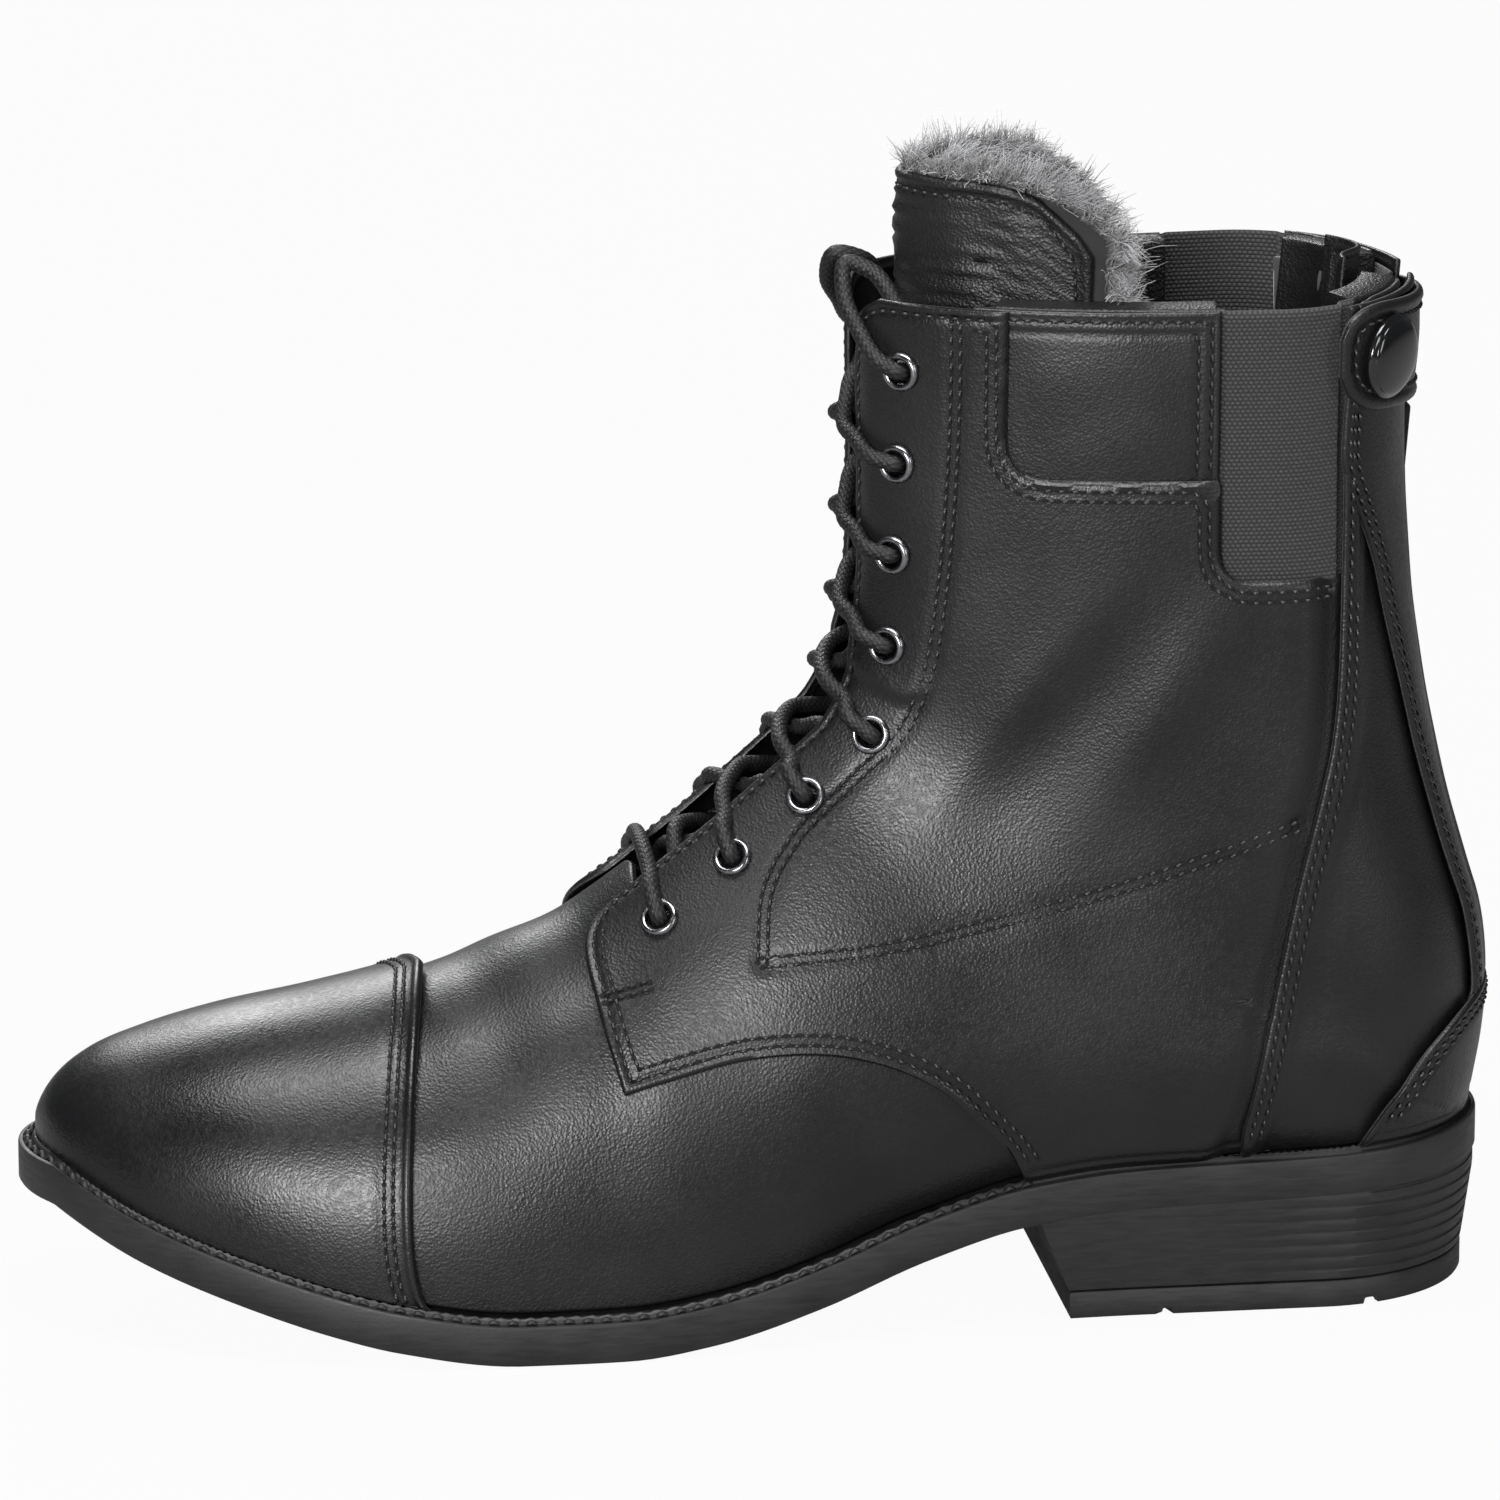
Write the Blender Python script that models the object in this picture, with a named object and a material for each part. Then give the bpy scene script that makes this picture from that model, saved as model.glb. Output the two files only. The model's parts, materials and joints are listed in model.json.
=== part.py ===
"""Lace-up riding ankle boot with a fleece lining, elastic gussets and a back zip under a snap tab.

Sizes are in millimetres and are scaled to metres when a mesh is made. The toe points to -X, the outer
(lateral) side of this left boot to -Y, and Z is up from the floor. Every piece of the upper is laid out on
one surface, the skin of the last, in chart coordinates: u runs from the toe tip over the instep to the
topline, and v from the sole and the back line (0) to the front ridge (1) on either side.
"""

import math

import bmesh
import bpy
import numpy as np
from mathutils import Matrix, Vector

MM = 0.001

# Overall sizes
LAST_LENGTH = 279.0
SHAFT_HEIGHT = 200.0
BALL_HALF_LATERAL = 42.5
BALL_HALF_MEDIAL = 41.0
HEEL_HALF = 29.5
SHAFT_HALF = 37.0
ANKLE_HALF = 34.5
INSTEP_HALF = 40.0
TOE_ROUND = 88.0
HEEL_ROUND = 31.0
BACK_ROUND = 30.0
HEEL_SWELL = 38.0

# Layers of the upper, outward from the skin
LEATHER = 1.4
CLEAR = 0.3
LAP = 0.6
STIFFENER = 1.0
FLEECE = 3.0
OVERLAY = LAP + LEATHER
STIFFENER_FACE = -LEATHER - 1.5
LINING_FACE = STIFFENER_FACE - STIFFENER - 1.0
TONGUE_FACE = -8.2
TONGUE_FLEECE = 4.0
UNDERLAP = 8.0

# Sole unit
SOLE_STACK = 9.0
SOLE_BED = 1.35
WELT_THICK = 3.2
WELT_TOE = 5.4
WELT_HEEL = 3.9
WELT_SEAT = 7.0
WELT_INSET = 0.2
WELT_REST = LEATHER - 0.5
WELT_FALL = 0.4
BOARD_THICK = 1.9
BOARD_TOP = 0.5
SHANK_THICK = 0.9
SHANK_WIDTH = 14.0
SHANK_FRONT_X = -105.0
SHANK_REAR_X = -15.0
SOCK_THICK = 3.2
SOCK_FIT = 1.5
BREAST_X = -46.3
BREAST_RAKE = 6.5
HEEL_TAPER = 2.2
TOP_PIECE = 5.4
TOP_PIECE_DRAFT = 0.3
TREAD_SLOT = 2.2
TREAD_DEPTH = 1.2
TREAD_SLOTS_X = (-27.0, 13.0)
LIFT_GROOVE = 0.3
LIFT_GROOVE_HALF = 0.5
LIFT_COUNT = 3
LIFT_TOP_CLEAR = 3.0
STACK_INSET = 0.4
STACK_SINK = 1.5

# Lacing
LACE = 3.2
LACE_FIT = 1.5
LACE_CLEAR = 1.1
EYELET_ROWS = 8
EYELET_BORE = LACE + LACE_FIT
EYELET_WALL = 0.4
EYELET_RIM = 1.3
EYELET_FLANGE = EYELET_BORE + 2 * EYELET_RIM
EYELET_DOME = 0.7
EYELET_FIT = 0.3
EYELET_REST = 0.7
EYELET_TOP_DROP = 13.3
LACE_TIP = 18.0
LACE_STEP = 9.5
THROAT_GAP = 10.6
SHAFT_GAP = 7.6
TONGUE_RISE = 17.0
TONGUE_FLEECE_RISE = 21.0
TONGUE_SLOPE = 17.0
TONGUE_WRAP = -44.0

# Back zip and snap tab
ZIP_ARC = 300.0
ZIP_ARC_X = 320.2
ZIP_ARC_Z = 172.0
ZIP_TAPE = 12.6
ZIP_TAPE_GAP = 0.8
ZIP_TAPE_LOW = 50.0
ZIP_TAPE_THICK = 0.8
STRIP_STEP = 9.0
ZIP_CORD = 2.6
ZIP_PITCH = 6.2
ZIP_LOW = 74.0
ZIP_TOP_DROP = 4.0
TOOTH_SHARE = 0.34
TOOTH_ROOT = 1.4
TOOTH_TIP = 1.05
CHAIN_FACE = 0.1
CHAIN_BACK = 1.5
STOP_DROP = 3.4
STOP_HALF_LONG = 1.6
STOP_HALF_WIDE = 2.4
STOP_TALL = 0.6
SLOT_HALF = 5.6
SLIDER_DROP = 21.5
SLIDER_LONG = 11.0
SLIDER_HALF = 4.4
SLIDER_TAPER = 0.9
SLIDER_PLATE = 1.1
PULL_LONG = 15.0
PULL_HALF = 2.4
PULL_THICK = 1.0
PULL_DROP = 1.1
PULL_LIFT = 3.0
PULL_HEAD = 0.8
GUARD_HALF = 14.0
GUARD_LOW = 64.0
GUARD_RISE = 3.0
TAB_DROP = 9.5
TAB_FALL = 8.0
TAB_HALF_TALL = 10.8
TAB_REACH = 2.0
TAB_FREE = 36.0
TAB_ROUND = 12.0
TAB_BLUNT = 0.35
TAB_CORNER_POWER = 2.8
TAB_ANCHOR = 10.0
CAP_DIAMETER = 16.4
CAP_TALL = 3.2
CAP_X = 11.0
CAP_DROP = 10.6
STUD_HALF = 4.2
STUD_FIT = 0.4
STUD_NECK = 1.8

# The sample size that the pattern points below were drawn for
SAMPLE_LENGTH = 279.0
SAMPLE_HEIGHT = 200.0
ANKLE_Z = 147.0
CHART_V_SCALE = 100.0
LEVEL_BAND = 0.05


def grade(x):
    return x * LAST_LENGTH / SAMPLE_LENGTH


def raised(z):
    if z <= ANKLE_Z:
        return z
    return ANKLE_Z + (z - ANKLE_Z) * (SHAFT_HEIGHT - ANKLE_Z) / (SAMPLE_HEIGHT - ANKLE_Z)


def pattern(points):
    return [(grade(x), raised(z)) for x, z in points]


def smooth(points):
    """A monotone cubic through (x, y) points, as a function of x."""
    xs, ys = np.array(points, float).T
    step = np.diff(xs)
    rise = np.diff(ys) / step
    slope = np.concatenate([rise[:1], np.zeros(len(xs) - 2), rise[-1:]])
    for i in range(1, len(xs) - 1):
        if rise[i - 1] * rise[i] > 0:
            near = 2 * step[i] + step[i - 1]
            far = step[i] + 2 * step[i - 1]
            slope[i] = (near + far) / (near / rise[i - 1] + far / rise[i])

    def value(x):
        x = np.clip(x, xs[0], xs[-1])
        i = np.clip(np.searchsorted(xs, x, side="right") - 1, 0, len(xs) - 2)
        t = (x - xs[i]) / step[i]
        start = (1 + 2 * t) * (1 - t) ** 2 * ys[i] + t * (1 - t) ** 2 * step[i] * slope[i]
        end = t * t * (3 - 2 * t) * ys[i + 1] + t * t * (t - 1) * step[i] * slope[i + 1]
        return start + end

    return value


def through(points, count, scale=None):
    """A smooth curve through points of any dimension, as count + 1 points at equal steps."""
    knots = np.array(points, float)
    weight = np.ones(knots.shape[1]) if scale is None else np.array(scale, float)
    gaps = np.linalg.norm(np.diff(knots * weight, axis=0), axis=1)
    at = np.concatenate([[0.0], np.cumsum(np.maximum(gaps, 1e-6))])
    slope = np.gradient(knots, at, axis=0)

    def place(t):
        i = np.clip(np.searchsorted(at, t, side="right") - 1, 0, len(at) - 2)
        step = (at[i + 1] - at[i])[:, None]
        k = ((t - at[i]) / (at[i + 1] - at[i]))[:, None]
        start = (1 + 2 * k) * (1 - k) ** 2 * knots[i] + k * (1 - k) ** 2 * step * slope[i]
        end = k * k * (3 - 2 * k) * knots[i + 1] + k * k * (k - 1) * step * slope[i + 1]
        return start + end

    fine = place(np.linspace(0, at[-1], 40 * len(at)))
    return resample(fine, count, weight)


def resample(line, count, weight):
    lengths = np.linalg.norm(np.diff(line * weight, axis=0), axis=1)
    along = np.concatenate([[0.0], np.cumsum(lengths)])
    targets = np.linspace(0, along[-1], count + 1)
    return np.stack([np.interp(targets, along, line[:, i]) for i in range(line.shape[1])], 1)


def rounding(share, power=2.0):
    return np.sqrt(1 - (1 - np.clip(share, 0.0, 1.0)) ** power)


# Profile of the last in side view, sample size
TOE_X = grade(-241.0)
HEEL_X = grade(34.8)
PIVOT_X = grade(-140.0)
PIVOT_Z = ANKLE_Z
FAN_RADIUS = 80.0
FEATHER_POINTS = [
    (-241, 33.5), (-226, 26.4), (-205, 19.2), (-190, 14.8), (-178, 12.0), (-154, 9.0), (-134, 9.0),
    (-118, 10.6), (-96, 16.0), (-75, 23.5), (-55, 29.0), (-35, 31.2), (0, 32.3), (41, 34.0),
]
RIDGE_POINTS = [
    (-241, 32.0), (-241.1, 37.0), (-239.5, 40.6), (-236, 44.8), (-231, 48.3), (-220.7, 52.4), (-207.8, 56.1),
    (-188, 60.2), (-172, 64.2), (-155, 70.6), (-139.5, 78.2), (-124, 91.2), (-109.5, 105.6), (-98.5, 119.0),
    (-91.5, 131.0), (-88.6, 144.0), (-88, 160.0), (-88, 185.0), (-88, 240.0),
]
HEEL_CURVE = [(34.8, 34.0), (36.0, 42.0), (37.3, 50.0), (38.0, 58.0), (37.7, 66.0)]
ARC_LOW = 76.0

feather_z = smooth(pattern(FEATHER_POINTS))
ridge_y = smooth(pattern([(-241, 9.0), (-200, 6.0), (-160, 2.5), (-120, 0.0), (60, 0.0)]))
body_lateral = smooth([
    (TOE_X, BALL_HALF_LATERAL + 2.5), (grade(-190), BALL_HALF_LATERAL + 2.0),
    (grade(-145), BALL_HALF_LATERAL), (grade(-110), 38.0), (grade(-70), 31.5),
    (grade(-30), HEEL_HALF), (grade(45), HEEL_HALF),
])
body_medial = smooth([
    (TOE_X, BALL_HALF_MEDIAL - 5.0), (grade(-200), BALL_HALF_MEDIAL - 3.0),
    (grade(-165), BALL_HALF_MEDIAL), (grade(-130), 37.5), (grade(-90), 28.5), (grade(-50), 26.5),
    (grade(0), HEEL_HALF), (grade(45), HEEL_HALF),
])


def arc_back(z):
    """The zip's arc: x of the back line at height z, sample size."""
    return ZIP_ARC_X - math.sqrt(ZIP_ARC**2 - (z - ZIP_ARC_Z) ** 2)


RIDGE = through(pattern(RIDGE_POINTS), 500)
ARC_POINTS = [(arc_back(z), z) for z in np.arange(ARC_LOW, 232.0, 4.0)]
BACK_RISE = through(pattern(HEEL_CURVE + ARC_POINTS), 500)
SEAT_X = np.linspace(TOE_X - 0.5, HEEL_X, 500)
SEAT = np.stack([SEAT_X, feather_z(SEAT_X)], 1)
UNDERSIDE = np.concatenate([SEAT[:-1], BACK_RISE])


def plan_half(x, side, grow_toe=0.0, grow_heel=None):
    """Half width of the plan outline at x, grown outward by the given margins."""
    grow_heel = grow_toe if grow_heel is None else grow_heel
    share = np.clip((x - TOE_X) / (HEEL_X - TOE_X), 0.0, 1.0)
    ease = share * share * (3 - 2 * share)
    grow = grow_toe + (grow_heel - grow_toe) * ease
    body = np.where(np.asarray(side) < 0, body_lateral(x), body_medial(x)) + grow
    toe = rounding((x - TOE_X + grow_toe) / (TOE_ROUND + grow_toe), 2.2)
    heel = rounding((HEEL_X + grow_heel - x) / (HEEL_ROUND + grow_heel))
    return body * toe * heel


def crossing(line, origin, direction):
    """The first point of a polyline on the ray from origin."""
    across = np.array([-direction[1], direction[0]])
    away = (line - origin) @ across
    found = []
    for i in np.nonzero((away[:-1] <= 0) != (away[1:] <= 0))[0]:
        share = away[i] / (away[i] - away[i + 1])
        point = line[i] + share * (line[i + 1] - line[i])
        along = float((point - origin) @ np.array(direction))
        if along > -1e-6:
            found.append((along, i, point))
    along, index, point = min(found, key=lambda item: item[0])
    return index, point


# Chart of the skin: cross-sections stand upright over the forefoot, fan round the pivot over the instep and
# lie level up the shaft
U_FAN = PIVOT_X - TOE_X
U_SHAFT = U_FAN + FAN_RADIUS * math.pi / 2
U_TOP = U_SHAFT + SHAFT_HEIGHT - PIVOT_Z


def section_ray(u):
    if u <= U_FAN:
        return np.array([TOE_X + u, PIVOT_Z]), (0.0, -1.0)
    if u <= U_SHAFT:
        angle = (u - U_FAN) / FAN_RADIUS - math.pi / 2
        return np.array([PIVOT_X, PIVOT_Z]), (math.cos(angle), math.sin(angle))
    return np.array([PIVOT_X, PIVOT_Z + u - U_SHAFT]), (1.0, 0.0)


def section_table():
    stations = np.concatenate([U_FAN * np.linspace(0, 1, 200) ** 2, np.linspace(U_FAN, U_TOP + 25, 500)[1:]])
    rows = []
    for u in stations:
        origin, direction = section_ray(u)
        front = crossing(RIDGE, origin, direction)[1]
        index, back = crossing(UNDERSIDE, origin, direction)
        seats = [0.0, 0.0]
        if index < len(SEAT) - 1:
            seats = [float(plan_half(back[0], side)) for side in (-1, 1)]
        rows.append((*front, *back, *seats, float(ridge_y(front[0]))))
    return stations, np.array(rows).T


STATIONS, TABLE = section_table()


def fan_u(degrees):
    return U_FAN + FAN_RADIUS * math.radians(degrees + 90)


width_lateral = smooth([
    (U_FAN, float(plan_half(PIVOT_X, -1))), (fan_u(-65), INSTEP_HALF + 0.5), (fan_u(-40), INSTEP_HALF - 3.0),
    (fan_u(-20), ANKLE_HALF), (U_SHAFT, ANKLE_HALF), (U_TOP + 30, SHAFT_HALF),
])
width_medial = smooth([
    (U_FAN, float(plan_half(PIVOT_X, 1))), (fan_u(-65), INSTEP_HALF - 3.0), (fan_u(-40), INSTEP_HALF - 5.0),
    (fan_u(-20), ANKLE_HALF), (U_SHAFT, ANKLE_HALF), (U_TOP + 30, SHAFT_HALF),
])
arch_power = smooth([(0, 2.3), (U_FAN, 2.3), (fan_u(-45), 2.6), (U_SHAFT, 3.0), (U_TOP + 30, 3.0)])
back_round = smooth([
    (U_FAN, HEEL_SWELL), (fan_u(-32), HEEL_SWELL), (U_SHAFT, BACK_ROUND), (U_TOP + 30, BACK_ROUND),
])


def section(u):
    return [np.interp(u, STATIONS, row) for row in TABLE]


def body_width(u, side):
    seat_lateral, seat_medial = section(u)[4:6]
    seat = np.where(np.asarray(side) < 0, seat_lateral, seat_medial)
    wide = np.where(np.asarray(side) < 0, width_lateral(u), width_medial(u))
    return seat, np.where(u <= U_FAN, seat, wide)


def skin(u, v, side):
    """Points of the last's skin, one for each (u, v)."""
    u = np.asarray(u, float)
    front_x, front_z, back_x, back_z, _, _, middle = section(u)
    seat, wide = body_width(u, side)
    share = 0.5 - 0.5 * np.cos(math.pi * np.clip(v, 0.0, 1.0))
    start = seat / np.maximum(wide, 1e-6)
    length = np.hypot(front_x - back_x, front_z - back_z)
    swell = np.sqrt(start**2 + (1 - start**2) * rounding(share * length / back_round(u)) ** 2)
    half = wide * np.sqrt(np.maximum(1 - share ** arch_power(u), 0.0)) * swell
    x = back_x + (front_x - back_x) * share
    z = back_z + (front_z - back_z) * share
    return np.stack([x, middle + np.asarray(side) * half, z], -1)


def outward(u, v, side):
    """Unit normals of the skin: level along the sole, with no sideways part where the two halves meet."""
    du, dv = 0.4, 0.004
    along = skin(u + du, v, side) - skin(np.maximum(u - du, 0.0), v, side)
    up = skin(u, np.minimum(v + dv, 1.0), side) - skin(u, np.maximum(v - dv, 0.0), side)
    normal = np.cross(along, up) * -np.asarray(side, float)[..., None]
    ridge = np.stack([-along[..., 2], np.zeros(u.shape), along[..., 0]], -1)
    normal = np.where((v > 1 - 1e-9)[..., None], ridge, normal)
    on_seat = body_width(u, side)[0] > 1e-6
    rise = skin(u + 2 * du, v, side) - skin(u, v, side)
    back = np.stack([rise[..., 2], np.zeros(u.shape), -rise[..., 0]], -1)
    normal = np.where(((v < 1e-9) & ~on_seat & (u > U_FAN))[..., None], back, normal)
    normal[..., 1] = np.where(u < 1e-6, 0.0, normal[..., 1])
    normal[..., 2] *= np.where(on_seat, np.clip(v / LEVEL_BAND, 0.0, 1.0), 1.0)
    return normal / np.linalg.norm(normal, axis=-1, keepdims=True)


def shell(u, v, side, offset):
    u, v = np.broadcast_arrays(np.asarray(u, float), np.asarray(v, float))
    side = np.broadcast_to(np.asarray(side, float), u.shape)
    normal = outward(u, v, side)
    return skin(u, v, side) + normal * np.asarray(offset, float)[..., None], normal


def share_to_v(share):
    return math.acos(1 - 2 * min(max(share, 0.0), 1.0)) / math.pi


def chart(x, z):
    """Chart place of a side-view point that is already graded."""
    if z >= PIVOT_Z:
        u = U_SHAFT + z - PIVOT_Z
    elif x <= PIVOT_X:
        u = x - TOE_X
    else:
        u = U_FAN + FAN_RADIUS * (math.atan2(z - PIVOT_Z, x - PIVOT_X) + math.pi / 2)
    front_x, front_z, back_x, back_z = section(u)[:4]
    dx, dz = front_x - back_x, front_z - back_z
    return u, share_to_v(((x - back_x) * dx + (z - back_z) * dz) / (dx * dx + dz * dz))


def seam(points):
    """Chart places of pattern points given in side view."""
    return [chart(x, z) for x, z in pattern(points)]


def from_ridge(u, side, reach):
    """The place at u that lies reach to the side of the front ridge."""
    wide = float(body_width(np.array(u), side)[1])
    return u, share_to_v((1 - min(reach / wide, 1.0) ** 2) ** (1 / float(arch_power(u))))


def from_back(u, side, reach):
    """The place at u that lies reach to the side of the back line."""
    front_x, front_z, back_x, back_z = section(u)[:4]
    wide = float(body_width(np.array(u), side)[1])
    length = math.hypot(front_x - back_x, front_z - back_z)
    return u, share_to_v((1 - math.sqrt(1 - min(reach / wide, 1.0) ** 2)) * float(back_round(u)) / length)


def back_u(z):
    """u of the section that meets the back line at height z."""
    return chart(float(np.interp(z, BACK_RISE[:, 1], BACK_RISE[:, 0])), z)[0]


def run(runs, count, side=-1):
    """One edge made of smooth stretches, as count + 1 chart places at equal steps on the skin."""
    line = np.concatenate([through(points, 80, (1.0, CHART_V_SCALE)) for points in runs])
    spots = skin(line[:, 0], line[:, 1], side)
    return resample(np.concatenate([line, spots], 1), count, np.array([0, 0, 1, 1, 1]))[:, :2]


def along_seat(start, end, count, side=-1):
    """Chart places along the sole's edge between two x, at equal steps."""
    turn = np.linspace(0, math.pi / 2, 60)
    ease = np.sin(turn) if end > start else 1 - np.cos(turn)
    xs = start + (end - start) * ease
    return run([[(chart(x, float(feather_z(x)))[0], 0.0) for x in xs]], count, side)


def patch(front, back, bottom, top):
    """A Coons patch of chart places between four edges. Front and back run upward, the others rearward."""
    s = np.linspace(0, 1, len(bottom))[:, None, None]
    t = np.linspace(0, 1, len(front))[None, :, None]
    across = (1 - s) * front[None] + s * back[None]
    upward = (1 - t) * bottom[:, None] + t * top[:, None]
    low = (1 - s) * bottom[0] + s * bottom[-1]
    high = (1 - s) * top[0] + s * top[-1]
    return across + upward - ((1 - t) * low + t * high)


def side_patch(front, back, bottom, top, side):
    """A patch like the one above, but blended in side view, which stays even round the heel."""
    drawn = [skin(edge[:, 0], edge[:, 1], side)[:, [0, 2]] for edge in (front, back, bottom, top)]
    grid = patch(*drawn)
    made = np.array([[chart(float(x), float(z)) for x, z in row] for row in grid])
    made[0], made[-1] = front, back
    made[:, 0], made[:, -1] = bottom, top
    return made


# Materials
def material(name, colour, roughness, metallic=0.0):
    made = bpy.data.materials.new(name)
    made.use_nodes = True
    shader = made.node_tree.nodes["Principled BSDF"]
    shader.inputs["Base Color"].default_value = (*colour, 1.0)
    shader.inputs["Roughness"].default_value = roughness
    shader.inputs["Metallic"].default_value = metallic
    return made


LOOKS = {
    "leather": ((0.012, 0.012, 0.013), 0.38, 0.0),
    "fleece": ((0.09, 0.09, 0.095), 0.95, 0.0),
    "elastic": ((0.02, 0.02, 0.021), 0.8, 0.0),
    "rubber": ((0.02, 0.02, 0.022), 0.55, 0.0),
    "board": ((0.25, 0.19, 0.13), 0.85, 0.0),
    "stiffener": ((0.3, 0.28, 0.25), 0.8, 0.0),
    "foam": ((0.08, 0.08, 0.08), 0.9, 0.0),
    "steel": ((0.5, 0.5, 0.52), 0.35, 1.0),
    "gunmetal": ((0.16, 0.16, 0.17), 0.28, 1.0),
    "lace": ((0.015, 0.015, 0.016), 0.7, 0.0),
    "tape": ((0.018, 0.018, 0.02), 0.85, 0.0),
    "cap": ((0.008, 0.008, 0.009), 0.12, 0.0),
    "tip": ((0.012, 0.012, 0.013), 0.3, 0.0),
}


# Mesh helpers
def new_object(name, mesh, look):
    made = bpy.data.objects.new(name, mesh)
    bpy.context.scene.collection.objects.link(made)
    mesh.materials.append(material(name, *LOOKS[look]))
    return made


def from_bmesh(name, bm, look):
    bmesh.ops.remove_doubles(bm, verts=bm.verts, dist=1e-5)
    mesh = bpy.data.meshes.new(name)
    bm.to_mesh(mesh)
    bm.free()
    return new_object(name, mesh, look)


def add_grid(bm, points, normals=None):
    """Quads over a grid of points in millimetres, facing along the normals."""
    rows, columns = points.shape[:2]
    verts = [[bm.verts.new(Vector(points[i, j]) * MM) for j in range(columns)] for i in range(rows)]
    flip = False
    if normals is not None:
        edge_a = points[1:, :-1] - points[:-1, :-1]
        edge_b = points[:-1, 1:] - points[:-1, :-1]
        flip = np.sum(np.cross(edge_a, edge_b) * normals[:-1, :-1]) < 0
    for i in range(rows - 1):
        for j in range(columns - 1):
            loop = [verts[i][j], verts[i + 1][j], verts[i + 1][j + 1], verts[i][j + 1]]
            bm.faces.new(loop[::-1] if flip else loop)
    return verts


def sheet(name, halves, outer, thickness, look):
    """A leather or cloth piece: chart grids laid at the outer offset and thickened inward. The offset is one
    number or a function of u."""
    bm = bmesh.new()
    for grid, side in halves:
        offset = outer(grid[..., 0]) if callable(outer) else outer
        points, normals = shell(grid[..., 0], grid[..., 1], side, offset)
        add_grid(bm, points, normals)
    made = from_bmesh(name, bm, look)
    thick = made.modifiers.new("thickness", "SOLIDIFY")
    thick.thickness = thickness * MM
    thick.offset = -1.0
    return made


def stack(name, levels, look):
    """A solid between grids of like shape, from the lowest to the highest, walled along their borders."""
    bm = bmesh.new()
    rows, columns = levels[0].shape[:2]
    border = [(i, 0) for i in range(rows)]
    border += [(rows - 1, j) for j in range(1, columns)]
    border += [(i, columns - 1) for i in range(rows - 2, -1, -1)]
    border += [(0, j) for j in range(columns - 2, 0, -1)]
    up = np.zeros((rows, columns, 3)) + (0, 0, 1)
    low = add_grid(bm, levels[0], -up)
    high = add_grid(bm, levels[-1], up)
    rings = [[low[i][j] for i, j in border]]
    for level in levels[1:-1]:
        rings.append([bm.verts.new(Vector(level[i, j]) * MM) for i, j in border])
    rings.append([high[i][j] for i, j in border])
    for below, above in zip(rings, rings[1:]):
        for k in range(len(border)):
            after = (k + 1) % len(border)
            bm.faces.new([below[k], below[after], above[after], above[k]])
    return from_bmesh(name, bm, look)


def helper(made):
    made.hide_render = True
    made.display_type = "WIRE"
    return made


def boolean(made, other, operation):
    for solid in (made, other):
        if "flat" not in solid.modifiers:
            solid.modifiers.new("flat", "TRIANGULATE")
    step = made.modifiers.new(other.name, "BOOLEAN")
    step.operation = operation
    step.solver = "EXACT"
    step.object = other


def close_ring(bm, loops):
    """Faces between like closed loops that follow each other round a ring."""
    for k, here in enumerate(loops):
        ahead = loops[(k + 1) % len(loops)]
        for i in range(len(here)):
            j = (i + 1) % len(here)
            bm.faces.new([here[i], here[j], ahead[j], ahead[i]])
    bmesh.ops.remove_doubles(bm, verts=bm.verts, dist=1e-6)
    bmesh.ops.recalc_face_normals(bm, faces=bm.faces)


def spun(name, profile, steps, frame, look):
    """A round piece spun from a closed (radius, height) profile about the frame's Z."""
    bm = bmesh.new()
    loops = []
    for k in range(steps):
        angle = 2 * math.pi * k / steps
        turn = (math.cos(angle), math.sin(angle))
        loops.append([bm.verts.new(frame @ Vector((r * turn[0], r * turn[1], h)) * MM) for r, h in profile])
    close_ring(bm, loops)
    return from_bmesh(name, bm, look)


def prism(bm, low, high):
    """Closes two like outlines, given as points in millimetres, into one solid."""
    loops = [[bm.verts.new(Vector(point) * MM) for point in outline] for outline in (low, high)]
    bm.faces.new(loops[0][::-1])
    bm.faces.new(loops[1])
    for k in range(len(low)):
        after = (k + 1) % len(low)
        bm.faces.new([loops[0][k], loops[0][after], loops[1][after], loops[1][k]])
    bmesh.ops.recalc_face_normals(bm, faces=bm.faces)


def plate(name, outline, frame, low, high, look):
    """A flat piece of one outline between two heights of a frame."""
    bm = bmesh.new()
    prism(bm, *[[frame @ Vector((x, y, h)) for x, y in outline] for h in (low, high)])
    return from_bmesh(name, bm, look)


def drill(bm, frame, radius, depth, segments):
    """Adds a round cutter, centred on a frame in millimetres, along its Z."""
    bmesh.ops.create_cone(bm, cap_ends=True, segments=segments, radius1=radius * MM, radius2=radius * MM,
                          depth=depth * MM, matrix=scaled(frame))


def frame_at(point, normal):
    """A frame in millimetres with its Z along the normal and its X as level as can be."""
    z = Vector(normal).normalized()
    x = Vector((0, 0, 1)).cross(z).normalized()
    return Matrix.Translation(Vector(point)) @ Matrix((x, z.cross(x), z)).transposed().to_4x4()


def scaled(frame):
    """The same frame in metres."""
    return Matrix.Translation(frame.translation * MM) @ frame.to_3x3().to_4x4()


def box(bm, frame, low, high):
    corners = [(x, y, z) for x in (low[0], high[0]) for y in (low[1], high[1]) for z in (low[2], high[2])]
    verts = [bm.verts.new(frame @ Vector(corner) * MM) for corner in corners]
    for loop in ((0, 1, 3, 2), (4, 6, 7, 5), (0, 4, 5, 1), (2, 3, 7, 6), (0, 2, 6, 4), (1, 5, 7, 3)):
        bm.faces.new([verts[i] for i in loop])


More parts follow.
